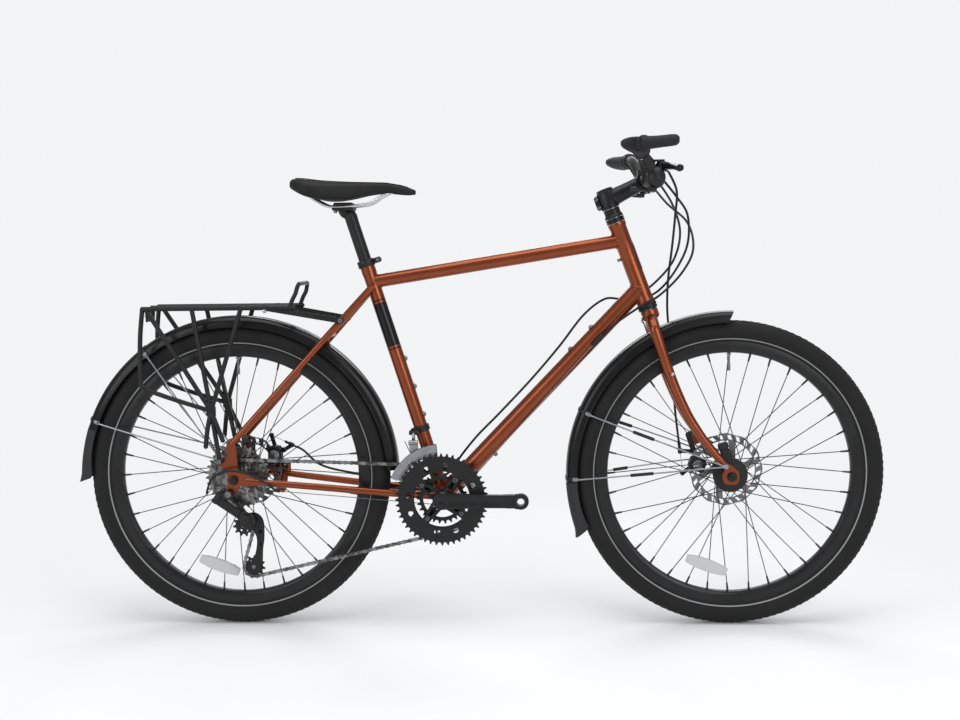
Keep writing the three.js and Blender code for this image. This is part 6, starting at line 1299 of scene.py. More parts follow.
# %% [markdown]
# ## Rear derailleur's cage and pulleys
#
# The cage swings from the second knuckle. It is a pair of plates cut to one outline, and between them
# two small toothed wheels guide the chain up to a sprocket and keep its slack taken up.

# %% Rear derailleur's cage and pulleys
CAGE_SIZE = 92.2
CAGE = [(-0.13, 0), (-0.08, 0.13), (0.1, 0.28), (0.3, 0.28), (0.45, 0.1), (0.46, -0.3), (0.42, -0.6),
        (0.4, -0.93), (0.33, -1.1), (0.2, -1.14), (0.07, -1.07), (0.06, -0.93), (0.2, -0.8),
        (0.29, -0.55), (0.3, -0.25), (0.15, -0.05), (0.05, -0.12)]
cage_outline = rounded([(GUIDE.x + x * CAGE_SIZE, GUIDE.z + z * CAGE_SIZE) for x, z in CAGE], 4)
cage = Form()
cage.plate(cage_outline, -52.75, 1.6, [circle(vec(x, 0, z), 3.6, 14) for x, z in ((50, 214), (50.5, 186))])
cage.plate(cage_outline, -41.25, 1.5)
for centre in (GUIDE, TENSION):
    cage.across(centre, -53.6, -40.4, 2.4, 16)
cage.across(CAGE_PIVOT, -58, -52.8, 7, 28)
cage.piece("rear_derailleur_cage", satin, "rear_derailleur_cage", "rear_derailleur_cage")
bolts = Form()
for centre in (GUIDE, TENSION):
    bolts.bolt(centre - SIDE * 53.5, -SIDE, 4.2, 2.2)
bolts.piece("pulley_bolts", dark_steel, "rear_derailleur_cage")
for name, centre in (("guide_pulley", GUIDE), ("tension_pulley", TENSION)):
    holes = [circle(centre, 3.1, 16)] + [circle(polar(centre, 12, k * 60 * DEG), 2.3, 12) for k in range(6)]
    pulley = Form().plate(toothed(centre, 11, 0.1, 2.0), CHAIN_LINE, 2.2, holes)
    pulley.ring(centre, [(2.9, -50.4), (7, -50.4), (7, -43.6), (2.9, -43.6)], 32)
    pulley.piece(name, plastic, name, name, angle=30)
print("cage and pulleys done")

# %% [markdown]
# ## Front derailleur
#
# A clamp on the seat tube carries one short link, and the link a cage round the chain. The cage's
# two plates follow the chainrings, so each is an arc between two radii about the crank's axle.

# %% Front derailleur
PIN_A, PIN_B = vec(384.7, -26, 423.9), vec(384.7, -43, 404.9)
bracket = Form()
bracket.ring(CRANK, [(15.4, 147.5), (17.6, 147.5), (18.2, 148.2), (18.2, 159.8), (17.6, 160.5),
                     (15.4, 160.5)], 48, SEAT_UP)
bracket.bar(PIN_A + vec(8, 12, 6), PIN_A + vec(-4, 0, 4), 14, 10, 2.4)
bracket.rod(PIN_A - AHEAD * 10, PIN_A + AHEAD * 10, 5.2, 28, 0.8)
bracket.block(on_seat(154, 12, 18), SIDE, 8, 12, 12, 2)
bracket.piece("front_derailleur_bracket", satin, "frame", "front_derailleur_bracket")
link = Form().block((PIN_A + PIN_B) / 2, PIN_B - PIN_A, 15, 17, 6, 1.6)
for pin in (PIN_A, PIN_B):
    link.rod(pin - AHEAD * 10.6, pin + AHEAD * 10.6, 2.4, 16)
link.piece("front_derailleur_link", dark_steel, "front_derailleur_link", "front_derailleur_link")


def arc_outline(inner, outer, start, end, steps=18):
    """The outline of an arc about the crank's axle, between two radii and two angles in degrees."""
    angles = [(start + (end - start) * k / steps) * DEG for k in range(steps + 1)]
    return flat([polar(CRANK, outer, angle) for angle in angles]
                + [polar(CRANK, inner, angle) for angle in reversed(angles)])


front_cage = Form()
front_cage.plate(arc_outline(103.5, 119, 95, 157), -52.75, 1.6, soft=0.4)
front_cage.plate(arc_outline(94, 119, 95, 157), -41.25, 1.6, soft=0.4)
front_cage.plate(arc_outline(108.5, 113, 100, 150), -53.7, 0.9, soft=0.3)
for angle in (99 * DEG, 155 * DEG):
    front_cage.block(polar(CRANK, 116, angle, CHAIN_LINE), SIDE, 12, 8, 3, 0.8)
front_cage.bar(PIN_B, PIN_B + vec(2, 1, -22), 4, 19, 1.2)
front_cage.rod(PIN_B - AHEAD * 10, PIN_B + AHEAD * 10, 5.2, 28, 0.8)
front_cage.piece("front_derailleur_cage", silver, "front_derailleur_cage", "front_derailleur_cage")
print("derailleurs done")

# %% [markdown]
# ## Fork
#
# The blades bow forward towards the axle. They could be bent by a modifier, but their centre line is
# a curve through a few stations anyway, and their radius shrinks towards the tip. The crown is
# turned about the steering axis and the tips are plates.

# %% Fork
BLADE = [(0.965, -0.02, 0), (0.955, -0.06, 0.42), (0.925, -0.1, 0.7), (0.87, -0.14, 0.82),
         (0.62, -0.23, 0.85), (0.43, -0.12, 0.9), (0.31, 0.1, 0.94), (0.21, 0.38, 0.97), (0.065, 0.87, 1)]
FORK_TIP = [(-0.5, 1), (-0.2, 1.15), (0.25, 0.75), (0.62, 0.4), (0.62, -0.4), (0.2, -0.72),
            (-0.62, -0.6), (-0.85, 0.1), (-0.72, 0.45)]
FORK_HALF = 52.7
FORK_EYE = vec(1048.1, 0, 353.5)
tip_outline = rounded([(FRONT.x + x * 24, FRONT.z + z * 24) for x, z in FORK_TIP], 5)
fork, fork_bits = Form(), Form()
for side in (1, -1):
    route = [on_steer(up * 385, ahead * 38.5, side * out * FORK_HALF) for up, ahead, out in BLADE]
    fork.tube(smooth_path(route, 6), [12.6, 12.6, 12.4, 12.2, 11.6, 10.8, 10, 9, 8.2], 32)
    fork.plate(tip_outline, side * FORK_HALF, 5.4, soft=0.8)
    fork.across(FORK_EYE, side * 50, side * 61, 5, 24)
    fork_bits.bolt(FORK_EYE + SIDE * side * 61.2, SIDE * side, 5, 3.4)
    fork_bits.bolt(on_steer(250, -4, side * 59.6), SIDE * side, 4, 3)
fork.ring(STEER_FOOT, [(0, 369), (15, 369), (18, 372), (18.6, 376), (18.6, 388), (17.6, 390.6), (0, 390.8)],
          56, STEER_UP, closed=False)
fork.bar(FRONT + vec(-74, FORK_HALF, 84), FRONT + vec(-62, FORK_HALF, 54), 5.4, 24, 1.2)
fork.piece("fork_blades", paint, "steering", "fork", angle=34)
fork_bits.rod(on_steer(389), on_steer(658), 14.2, 40)
fork_bits.piece("fork_bolts", steel, "steering")
print("fork done")

# %% [markdown]
# ## Headset top and stem
#
# Turned spacers stack on the fork's steerer under the stem. The stem is a tube that ends in half a
# shell round the bar, and its faceplate is the same half shell turned about, held by four bolts.

# %% Headset top and stem
STEM_HEIGHT = 640
STEM_OUT = Matrix.Rotation(-6 * DEG, 3, "Y") @ STEER_AHEAD
STEM_UP = STEM_OUT.cross(SIDE)
STEM_FOOT = on_steer(STEM_HEIGHT)
BAR = STEM_FOOT + STEM_OUT * 90
top = Form().ring(STEER_FOOT, [(14.5, 600), (19.4, 600), (20, 600.8), (20, 603.5), (18, 607), (17.5, 607.4),
                               (17.5, 609.8), (17.1, 610.1), (17.1, 610.5), (17.5, 610.8), (17.5, 615.2),
                               (17.1, 615.5), (17.1, 615.9), (17.5, 616.2), (17.5, 620.2), (14.5, 620.2)],
                  64, STEER_UP)
top.piece("headset_top", alloy, "steering", "headset_top")
shell = [(21 * math.cos(k * 7.5 * DEG), 21 * math.sin(k * 7.5 * DEG)) for k in range(12, 37)]
shell += [(16.2 * math.cos(k * 7.5 * DEG), 16.2 * math.sin(k * 7.5 * DEG)) for k in range(36, 11, -1)]
at_bar = Matrix.Translation(BAR) @ Matrix((STEM_OUT, SIDE, STEM_UP)).transposed().to_4x4()
stem, face, stem_bolts = Form(), Form(), Form()
stem.ring(STEER_FOOT, [(14.5, 621), (18.8, 621), (19.5, 622), (19.5, 657.6), (18.8, 658.8),
                       (14.5, 658.8)], 64, STEER_UP)
stem.ring(STEER_FOOT, [(0, 661.5), (5, 661.5), (5.4, 665), (15, 665), (17.4, 663.4), (17.6, 659.4),
                       (0, 659.2)], 56, STEER_UP, closed=False)
stem.tube([STEM_FOOT + STEM_OUT * out for out in (8, 30, 50, 70, 88)], [17, 15.6, 14.8, 14.6, 15], 40,
          tall=1.12)
stem.block(on_steer(STEM_HEIGHT, -22.5), STEER_UP, 31, 18, 10, 2.6)
stem.plate([(x - 1, z) for x, z in shell], 0, 43, soft=1.2, place=at_bar)
face.plate([(-x + 1, z) for x, z in shell], 0, 43, soft=1.2, place=at_bar)
for high in (-1, 1):
    ear = BAR + STEM_UP * high * 23
    stem.block(ear - STEM_OUT * 5, STEM_OUT, 9, 42, 9, 2.2)
    face.block(ear + STEM_OUT * 5.5, STEM_OUT, 8, 42, 9, 2.2)
    for side in (-1, 1):
        stem_bolts.bolt(ear + STEM_OUT * 9.6 + SIDE * side * 14, STEM_OUT, 3.9, 3)
    stem_bolts.bolt(on_steer(STEM_HEIGHT + high * 9, -23, -9), -SIDE, 4.2, 3)
stem_bolts.bolt(on_steer(662.5), STEER_UP, 4.2, 2.5)
stem.piece("stem", alloy, "steering", "stem", angle=34)
face.piece("stem_faceplate", alloy, "steering", "stem_faceplate", angle=34)
stem_bolts.piece("stem_bolts", dark_steel, "steering")
print("stem done")

# %% [markdown]
# ## Handlebar
#
# One bent tube with a thicker middle for the clamp. Its right half is drawn through six stations and
# mirrored, so both ends match. Grips and controls sit on the curve wherever they are wanted, so a
# function gives the bar's axis at a distance from its middle.

# %% Handlebar
BAR_SHARES = [(1, 1.2, 1.04), (0.62, 1, 1), (0.46, 0.86, 0.95), (0.33, 0.5, 0.62), (0.23, 0.12, 0.16),
              (0.15, 0, 0)]
right = [BAR + vec(-back * 24, -out * 298, up * 52) for out, back, up in BAR_SHARES]
bar_line = smooth_path(right + [mirror(p) for p in reversed(right)], 12)
handlebar = Form().tube(bar_line, 11.1, 36)
handlebar.ring(BAR, [(11, -52), (12, -46), (15.4, -34), (15.9, -28), (15.9, 28), (15.4, 34), (12, 46),
                     (11, 52)], 48)
handlebar.piece("handlebar", satin, "steering", "handlebar", angle=50)


def on_bar(out, side=-1):
    """The bar's axis at a distance from the middle."""
    for p, q in zip(bar_line, bar_line[1:]):
        if p.y + out <= 0 < q.y + out:
            spot = p.lerp(q, (-out - p.y) / (q.y - p.y))
            return vec(spot.x, side * out, spot.z)


print("bar's end:", [round(value) for value in bar_line[0]])

# %% [markdown]
# ## Grips
#
# Each grip is one soft body: a round sleeve that swells into a wing under the palm, with a short bar
# end bolted on outside it. The wing's section changes along the bar. It could be sculpted, but then
# no other size would fit, so it is lofted from rows of how far each reaches.

# %% Grips
GRIP_ROWS = [(176, 16, 16, 15.4), (178, 16.4, 16.6, 16), (184, 16, 17, 15.6), (196, 15.5, 20, 15),
             (212, 15.5, 25, 14.6), (232, 15.5, 32, 14.6), (250, 15.5, 38, 14.8), (266, 15.6, 42, 15),
             (278, 15.8, 43, 15.2), (287, 15.6, 41, 15), (292, 14, 34, 13.5)]


def grip_row(centre, ahead, back, tall):
    """One section of a grip: round in front, and flatter and pointed behind where it is a wing."""
    row = []
    for k in range(40):
        c, s = math.cos(k * FULL_TURN / 40), math.sin(k * FULL_TURN / 40)
        wing = min(1, (back - ahead) / 34) if c < 0 else 0
        reach = ahead if c > 0 else back
        c = c if c > 0 else -(abs(c) ** (1 - 0.45 * wing))
        s = math.copysign(abs(s) ** (1 - 0.3 * wing), s)
        row.append(centre + vec(c * reach, 0, s * tall * (1 - 0.3 * wing * c * c) + 5 * wing * abs(c)))
    return row


for side, word in ((-1, "right"), (1, "left")):
    grip = Form().skin([grip_row(on_bar(out, side), *sizes) for out, *sizes in GRIP_ROWS])
    grip.piece(f"grip_{word}", grip_rubber, "steering", f"grip_{word}", angle=50)
    foot = on_bar(293, side) + vec(0, side * 10, 2)
    tip = foot + vec(57, side * -3, 5)
    horn = Form().rod(foot - SIDE * 9 * side, foot + SIDE * 5 * side, 15.2, 40, 4)
    route = [foot - AHEAD * 4, foot + vec(16, 0, 1), foot + vec(38, 0, 3), tip, tip + AHEAD * 10]
    horn.tube(smooth_path(route, 5), [14, 14, 13, 12.6, 12.6, 11.6, 6], 32, tall=0.9)
    horn.piece(f"bar_end_{word}", hood, "steering", angle=55)
    grip_ring = Form().bolt(foot + SIDE * 4.6 * side, SIDE * side, 5.2, 2.2)
    grip_ring.ring(on_bar(177, side), [(11.4, -3.5), (17.2, -3.5), (17.8, -2.8), (17.8, 2.8), (17.2, 3.5),
                                       (11.4, 3.5)], 40)
    grip_ring.piece(f"grip_ring_{word}", alloy, "steering")
print("grips done")

# %% [markdown]
# ## Controls and levers
#
# Clamp, lever holder and shifter pod are one casting on each side. All of it is drawn for the right
# side, from the lever's pin and the pod's middle, and `flip` mirrors it for the left. The lever is
# a tube that bends away from the bar, the shift lever a small paddle under the pod.

# %% Controls and levers
LEVER_PIN = on_bar(138) + vec(40, 0, -26)
POD = on_bar(148) + vec(30, 0, -52)
LEVER = [(0, 0, 0), (0.1, 0.34, -0.01), (0.22, 0.6, -0.03), (0.36, 0.78, -0.045), (0.52, 0.9, -0.06),
         (0.78, 0.97, -0.09), (0.96, 1.04, -0.11), (1.03, 1.2, -0.113)]
lever_line = smooth_path([LEVER_PIN + vec(ahead * 26, -out * 96, up * 96) for out, ahead, up in LEVER], 5)
for word in ("right", "left"):
    left = word == "left"
    body = Form().rod(on_bar(167), on_bar(153), 16, 36, 1.6)
    body.bar(on_bar(160), LEVER_PIN - AHEAD * 15, 15, 15, 4)
    for level in (-9.9, 9.9):
        body.block(LEVER_PIN + vec(-6, 0, level), AHEAD, 26, 14, 3.6, 1)
        body.rod(LEVER_PIN + UP * (level - 1.8), LEVER_PIN + UP * (level + 1.8), 7, 28, 0.6)
    body.block(LEVER_PIN - AHEAD * 17, AHEAD, 6, 14, 22, 2)
    body.ball(POD, (19.5, 17.5, 22), 18)
    body.bar(on_bar(160), POD, 14, 20, 4)
    body.rod(POD + vec(-8, 0, -20), POD + vec(-8, 0, -23), [11, 10.4], 30, 0.5)
    body.rod(LEVER_PIN + vec(-12, 3, 0), LEVER_PIN + vec(14, 1, -10), [5, 4.2], 20, 0.8)
    body.piece(f"control_{word}", plastic, "steering", f"control_{word}", angle=45, flip=left)
    trim = Form().rod(LEVER_PIN - UP * 12.2, LEVER_PIN + UP * 12.4, 3.2, 20, 0.5)
    trim.rod(POD + vec(-8, 0, -29.5), POD + vec(-8, 0, -22), 2.7, 20)
    trim.bolt(POD + vec(-8, 0, -29), -UP, 4.6, 2)
    trim.rod(LEVER_PIN + vec(9, 1.5, -7), LEVER_PIN + vec(18, 0.5, -12), 4.4, 20, 0.7)
    trim.bolt(on_bar(160) + vec(2, 0, -15.6), -UP, 3.6, 2.4)
    trim.piece(f"control_trim_{word}", steel, "steering", flip=left)
    window = Form().ball(POD + vec(-5, 5, 12), (10, 8, 8), 14)
    window.piece(f"gear_window_{word}", glass, "steering", flip=left)
    lever = Form().tube(lever_line, [7, 6.6, 5.6, 5.2, 5.2, 5.4, 5.8, 6, 4.4], 24, tall=1.25, across=AHEAD)
    lever.rod(LEVER_PIN - UP * 7.8, LEVER_PIN + UP * 7.8, 9, 36, 0.8)
    name = f"brake_lever_{word}"
    lever.piece(name, alloy, name, name, angle=50, flip=left)
    hub = POD + vec(-8, 0, -26)
    tip = hub + vec(-34, 8, 4)
    shift = Form().rod(hub - UP * 3, hub + UP * 3, 9, 32, 0.8)
    shift.tube(smooth_path([hub, hub + vec(-14, 2, 0), tip], 6), [5, 4.6, 5.2], 20, tall=0.6)
    shift.ball(tip, (9, 8, 4.6), 12)
    name = f"shift_lever_{word}"
    shift.piece(name, plastic, name, name, angle=50, flip=left)
print("cockpit done")

# %% [markdown]
# ## Saddle
#
# The cover is stretched over foam, so it has no hard edge. It could be inflated from a shell, but
# its outline is known from the side: rows of the same number of points are lofted and then smoothed
# and subdivided, so that it reads as a padded skin.

# %% Saddle
SADDLE_REAR, SADDLE_TOP = 126.97, 974
SADDLE_LENGTH, SADDLE_DEPTH, SADDLE_WIDTH = 271, 52, 152
SADDLE = [(0, 0.17, 0.4, 0.42), (0.04, 0.02, 0.56, 0.78), (0.14, 0.05, 0.84, 1), (0.26, 0.13, 1, 0.94),
          (0.38, 0.17, 1.01, 0.72), (0.5, 0.2, 0.92, 0.48), (0.62, 0.22, 0.78, 0.34),
          (0.76, 0.25, 0.7, 0.27), (0.88, 0.36, 0.78, 0.25), (0.96, 0.5, 0.8, 0.2), (1, 0.62, 0.72, 0.1)]
SADDLE_SECTION = [(0.84, -0.02), (0.97, 0.08), (1.0, 0.3), (0.995, 0.55), (0.95, 0.76), (0.84, 0.9),
                  (0.66, 0.975), (0.44, 1.0), (0.22, 0.985), (0.0, 0.965)]


def saddle_row(spot):
    """The section at a share of the length, from crown, skirt and width between two stations."""
    after = next(i for i, row in enumerate(SADDLE) if i and row[0] >= spot)
    (near, *first), (far, *second) = SADDLE[after - 1], SADDLE[after]
    share = (spot - near) / (far - near)
    crown, skirt, wide = [a + (b - a) * share for a, b in zip(first, second)]
    x, half = SADDLE_REAR + spot * SADDLE_LENGTH, wide * SADDLE_WIDTH / 2
    top, bottom = SADDLE_TOP - crown * SADDLE_DEPTH, SADDLE_TOP - skirt * SADDLE_DEPTH
    side = [vec(x, -out * half, bottom + up * (top - bottom)) for out, up in SADDLE_SECTION]
    under = [vec(x, -half * out, bottom + up * (top - bottom))
             for out, up in ((0.0, 0.3), (0.5, 0.3), (0.8, 0.08))]
    return side + [mirror(p) for p in reversed(side[:-1])] + [mirror(p) for p in reversed(under[1:])] + under


saddle_rows = [saddle_row(i / 30) for i in range(31)]
saddle = Form().skin(saddle_rows)
for _ in range(4):
    bmesh.ops.smooth_vert(saddle.mesh, verts=saddle.mesh.verts[:], factor=0.35, use_axis_x=True,
                          use_axis_y=True, use_axis_z=True)
bmesh.ops.subdivide_edges(saddle.mesh, edges=saddle.mesh.edges[:], cuts=1, use_grid_fill=True, smooth=0.5)
saddle_piece = saddle.piece("saddle", cover, "seatpost", "saddle", angle=70)
seam = Form()
for side in (1, -1):
    spots = [row[6].lerp(row[5], 0.4) for row in saddle_rows[2:29]]
    seam.tube(smooth_path([vec(p.x, side * abs(p.y), p.z + 0.4) for p in spots], 3), 0.7, 8)
seam.piece("saddle_seam", hood, "seatpost")
print("saddle done")

# %% [markdown]
# ## Rails and seatpost
#
# The rails are one wire that runs from a socket at the back, under the clamp and round the nose. The
# post is a tube that bends back into a small casting, and two plates grip the rails.

# %% Rails and seatpost
RAILS = [(0.12, -0.66, 1), (0.15, -0.75, 1), (0.21, -0.97, 1), (0.33, -1.22, 1), (0.56, -1.17, 1),
         (0.64, -1.08, 1), (0.71, -0.86, 0.773), (0.78, -0.68, 0.545)]


def under_saddle(along, down, wide):
    """A point of the right rail."""
    return vec(SADDLE_REAR + along * SADDLE_LENGTH, -wide * 22, SADDLE_TOP + down * SADDLE_DEPTH)


rail_right = [under_saddle(*row) for row in RAILS]
rail_line = rail_right + [under_saddle(0.805, -0.64, 0)] + [mirror(p) for p in reversed(rail_right)]
Form().tube(smooth_path(rail_line, 8), 3.5, 20).piece("saddle_rails", steel, "seatpost", "saddle_rails")
CLAMP = on_seat(642) + vec(-12, 0, 15.7)
post = Form().rod(on_seat(382), on_seat(640), 13.6, 48)
post.tube(smooth_path([on_seat(622), on_seat(640), CLAMP + vec(1, 0, -12), CLAMP - UP * 5], 5),
          [13.6, 13.4, 12, 12.6], 36)
post.block(CLAMP - UP * 4.6, AHEAD, 46, 52, 8.4, 2)
post.block(CLAMP + UP * 4.6, AHEAD, 40, 52, 7.6, 2)
post.across(CLAMP - UP * 11, -17, 17, 7, 32, 1)
post.piece("seatpost", satin, "seatpost", "seatpost", angle=35)
post_bolts = Form()
for ahead in (-19, 19):
    post_bolts.bolt(CLAMP + vec(ahead, 0, -9.4), -UP, 4.6, 4)
post_bolts.piece("seatpost_bolts", dark_steel, "seatpost")
print("seat done")

# %% [markdown]
# ## Mudguards
#
# A mudguard is one thin shell: the same curved section carried round the wheel, with a bead along
# each edge. It could be a single face with a thickness added later, but a closed section gives the
# folded edges as well. Its rubber flap is the same section carried straight down, growing deeper.

# %% Mudguards
GUARD_RADIUS, GUARD_HALF, GUARD_DEPTH = 350, 29, 24
GUARD = [(-29, -24), (-28.2, -16), (-26, -9.5), (-22.5, -5), (-17, -2), (-9, -0.5), (0, 0), (9, -0.5),
         (17, -2), (22.5, -5), (26, -9.5), (28.2, -16), (29, -24)]


def guard_section(half_width, wall):
    """The shell's section, outside and back inside."""
    outer = [(x * half_width / GUARD_HALF, y) for x, y in GUARD]
    edges = (0, len(outer) - 1)
    inner = [(x * (1 - wall / half_width), y if k in edges else y - wall) for k, (x, y) in enumerate(outer)]
    return outer + inner[::-1]


def guard(form, centre, start, end, steps, section, radius=GUARD_RADIUS, bevel=0.0):
    """A section carried round the wheel; bevel slants the cut at its start."""
    rings = []
    for i in range(steps + 1):
        angle = start + (end - start) * i / steps
        cut = bevel * max(0, 1 - i / 6) / radius
        rings.append([polar(centre, radius + y, angle - y * cut, x) for x, y in section])
    form.skin(rings)


def flap(centre, end, length=118):
    """The rubber flap below a mudguard's end."""
    top = polar(centre, GUARD_RADIUS, end)
    down = vec(-math.sin(end), 0, math.cos(end))
    out = vec(down.z, 0, -down.x)
    rings = []
    for i in range(13):
        share = -0.05 + 1.05 * i / 12
        shrink = 1.03 if share < 0.9 else 1.03 - 0.12 * ((share - 0.9) / 0.1) ** 2
        slant = 0.8 * max(0, min(1, (share - 0.3) / 0.7)) ** 1.5
        kick = 5 * max(0, share - 0.86) / 0.14 - 17 * share * share
        deep = 0.97 + 0.22 * max(0, share) ** 2
        rings.append([top + down * (share * length + y * slant) + out * (y * shrink * deep + 0.7 + kick)
                      + SIDE * x * shrink for x, y in guard_section(GUARD_HALF, 1.8)])
    return Form().skin(rings)


for word, centre, body, start, end, bevel in (("rear", REAR, "frame", 2, 163, 0.0),
                                              ("front", FRONT, "steering", 88.6, 184, 0.55)):
    start, end = start * DEG, end * DEG
    shell = Form()
    guard(shell, centre, start, end, 90, guard_section(GUARD_HALF, 1.5), bevel=bevel)
    bead = start + bevel * GUARD_DEPTH / GUARD_RADIUS
    for side in (-1, 1):
        shell.tube([polar(centre, 326.4, bead + (end - bead) * i / 90, side * 28.8) for i in range(91)],
                   1.2, 8)
    studs = Form()
    for side in (-1, 1):
        studs.bolt(polar(centre, GUARD_RADIUS - 1, end - 1.2 * DEG, side * 9), outward(end), 3, 2)
    if word == "rear":
        angle = math.atan2(STAY_BRIDGE.z - WHEEL, STAY_BRIDGE.x)
        shell.rod(polar(REAR, 347, angle), polar(REAR, (STAY_BRIDGE - REAR).length - 6.3, angle), 4, 20, 0.5)
        foot = polar(REAR, 347, 3 * DEG)
        shell.rod(foot, CHAINSTAY_BRIDGE + (foot - CHAINSTAY_BRIDGE).normalized() * 6.3, 4, 20, 0.5)
    else:
        shell.bar(on_steer(341, -20), on_steer(379, -20), 14, 2, 0.6)
        studs.bolt(on_steer(372, -21), -STEER_AHEAD, 4.4, 3)
    shell.piece(f"{word}_mudguard", gloss, body, f"{word}_mudguard", angle=42)
    flap(centre, end).piece(f"{word}_flap", flap_rubber, body, angle=50)
    studs.piece(f"{word}_guard_rivets", steel, body)
print("mudguards done")

# %% [markdown]
# ## Stays of the mudguards
#
# Wire stays hold each mudguard, two pairs a wheel, and meet at an eyelet beside the axle. A stay is
# one thin tube. Where it meets the mudguard a plastic strap runs round the shell. The front stays
# pass through sleeves that let go if something is caught, so their line is shared with the sleeves.

# %% Stays
EYE_FRONT = vec(1048.08, 0, 353.52)
FRONT_ANGLES = [156.3 * DEG, 181.5 * DEG]
FRONT_SIDES = [(-1, 63.7, 0.12), (1, 69, 0.42)]


def stay_line(centre, angle, eye, side, left, straight):
    """Foot on the mudguard, knee, start of the straight end, and end at the eyelet."""
    knee = polar(centre, 306, angle, side * 33.3)
    end = eye + SIDE * side * left
    near = end.lerp(knee, straight)
    near.y = end.y
    return [polar(centre, 331, angle, side * 31.3), knee, near, end]


def stays(word, centre, body, angles, eye, sides):
    """A wheel's stays with their clips, bolts, eyelets and straps."""
    form, straps = Form(), Form()
    for angle in angles:
        guard(straps, centre, angle - 0.6 * DEG, angle + 0.6 * DEG, 3, guard_section(30.8, 1.2), 351.6)
        for side, left, straight in sides:
            form.tube(smooth_path(stay_line(centre, angle, eye, side, left, straight), 6), 1.7, 14)
            form.block(polar(centre, 330, angle, side * 32.2), outward(angle), 12, 4.4, 8, 1.2)
            form.bolt(polar(centre, 330, angle, side * 34.6), SIDE * side, 3.6, 2.4)
    for side, left, straight in sides:
        form.across(eye, side * (left - 2), side * (left + 2), 5.4, 24)
    form.piece(f"{word}_stays", silver, body, f"{word}_mudguard_stays")
    straps.piece(f"{word}_straps", plastic, body)


stays("rear", REAR, "frame", [126 * DEG, 158.5 * DEG], EYE_REAR, [(-1, 65.2, 0.12), (1, 65.2, 0.12)])
stays("front", FRONT, "steering", FRONT_ANGLES, EYE_FRONT, FRONT_SIDES)
sleeves = Form()
for angle, first in zip(FRONT_ANGLES, (0.5, 0.45)):
    for side, left, straight in FRONT_SIDES:
        foot, knee, near, end = stay_line(FRONT, angle, EYE_FRONT, side, left, straight)
        sleeves.rod(near.lerp(knee, first), near.lerp(knee, first + 0.19), 3.6, 20, 1.5)
sleeves.piece("stay_sleeves", plastic, "steering")
print("stays done")

# %% [markdown]
# ## Rack
#
# Ten millimetre tube, bent and welded. The platform's rails and cross members lie in one plane, the
# legs run down to a gusset on each side and on to a foot beside the dropout. Most of its points are
# shares of the platform's length and of its height above the foot, so they move together.

# %% Rack
RACK_REAR, RACK_TOP, RACK_LENGTH = -189, 698, 322
RACK_TUBE = 5


def on_rack(along, down, out, side=-1):
    """A point of the rack, from shares of its length, height and spread."""
    height = RACK_TOP - down * (RACK_TOP - EYE_REAR.z)
    return vec(RACK_REAR + along * RACK_LENGTH, side * (60 + out * 20), height)


rack, rack_bolts = Form(), Form()
for side in (-1, 1):
    corner, knot = on_rack(0, 0, 0, side), on_rack(0.45, 0.67, 0.62, side)
    front_leg, rear_leg = on_rack(0.53, 0.86, 1.1, side), on_rack(0.415, 0.9, 1.1, side)
    for first, second in ((corner, on_rack(1, 0, 0, side)), (on_rack(0.66, 0, 0, side), knot),
                          (on_rack(0.33, 0, 0, side), knot), (on_rack(0.02, 0, 0, side), knot),
                          (knot, front_leg), (knot, EYE_REAR + SIDE * side * 80)):
        rack.tube([first, second], RACK_TUBE, 24)
    hoop = [on_rack(*shares, side)
            for shares in ((-0.02, 0.2, 0.1), (-0.018, 0.44, 0.36), (0.03, 0.53, 0.45))]
    rack.tube(smooth_path([corner, *hoop, knot], 6), RACK_TUBE, 24)
    rack.tube(smooth_path([knot, on_rack(0.43, 0.78, 1, side), rear_leg], 6), RACK_TUBE, 24)
    rack.block(knot, AHEAD, 20, 10.4, 26, 3)
    rack.across(EYE_REAR, side * 72.9, side * 85, 6.4, 28)
    rack.bar(on_rack(0.82, 0, 0.1, side), RACK_BOSS + SIDE * side * 52.3, 4, 12, 1)
    rack.across(RACK_BOSS, side * 50.3, side * 54.3, 7.2, 28)
    for end in (front_leg, rear_leg):
        rack.ball(end, RACK_TUBE, 10)
    for end in (corner, on_rack(1, 0, 0, side)):
        rack.ball(end, RACK_TUBE, 12)
    rack.rod(vec(RACK_REAR, side * 20, RACK_TOP), vec(-191, side * 20, 676), 4, 20)
    rack_bolts.bolt(on_rack(0.82, 0.02, 0.1, side) + SIDE * side * 2, SIDE * side, 4.6, 3)
    rack_bolts.bolt(vec(-193, side * 25, 682), -AHEAD, 3.4, 2)
for along in (0, 0.33, 0.66, 0.985):
    rack.tube([on_rack(along, 0, 0), on_rack(along, 0, 0, 1)], RACK_TUBE, 24)
rack.tube([vec(RACK_REAR, 0, RACK_TOP), vec(128, 0, RACK_TOP)], RACK_TUBE, 24)
foot = on_rack(0.985, 0, 0)
hoop = [foot, foot + vec(6, 0, 16), vec(141.5, -60, 728), vec(144.2, -59, 738), vec(146.2, -54, 745),
        vec(147, -44, 748), vec(147, -24, 748)]
rack.tube(smooth_path(hoop + [mirror(p) for p in reversed(hoop)], 8), 4.6, 24)
rack.block(vec(-191, 0, 682), UP, 28, 60, 3, 1)
rack.piece("rear_rack", satin, "frame", "rear_rack", angle=45)
rack_bolts.piece("rack_bolts", steel, "frame")
print("rack done")

# %% [markdown]
# ## Brakes
#
# A caliper is a small casting over the disc, with a round pad adjuster inside, an arm outside and a
# stop for the cable's housing. Front and rear are the same parts in other places, so one function
# makes both, and only the brackets differ.

# %% Brakes
FRONT_STOP, FRONT_WIRE = vec(964, 60, 374), vec(970, 60, 326)
REAR_STOP, REAR_WIRE = vec(104, 70.2, 382), vec(60, 70.2, 404)


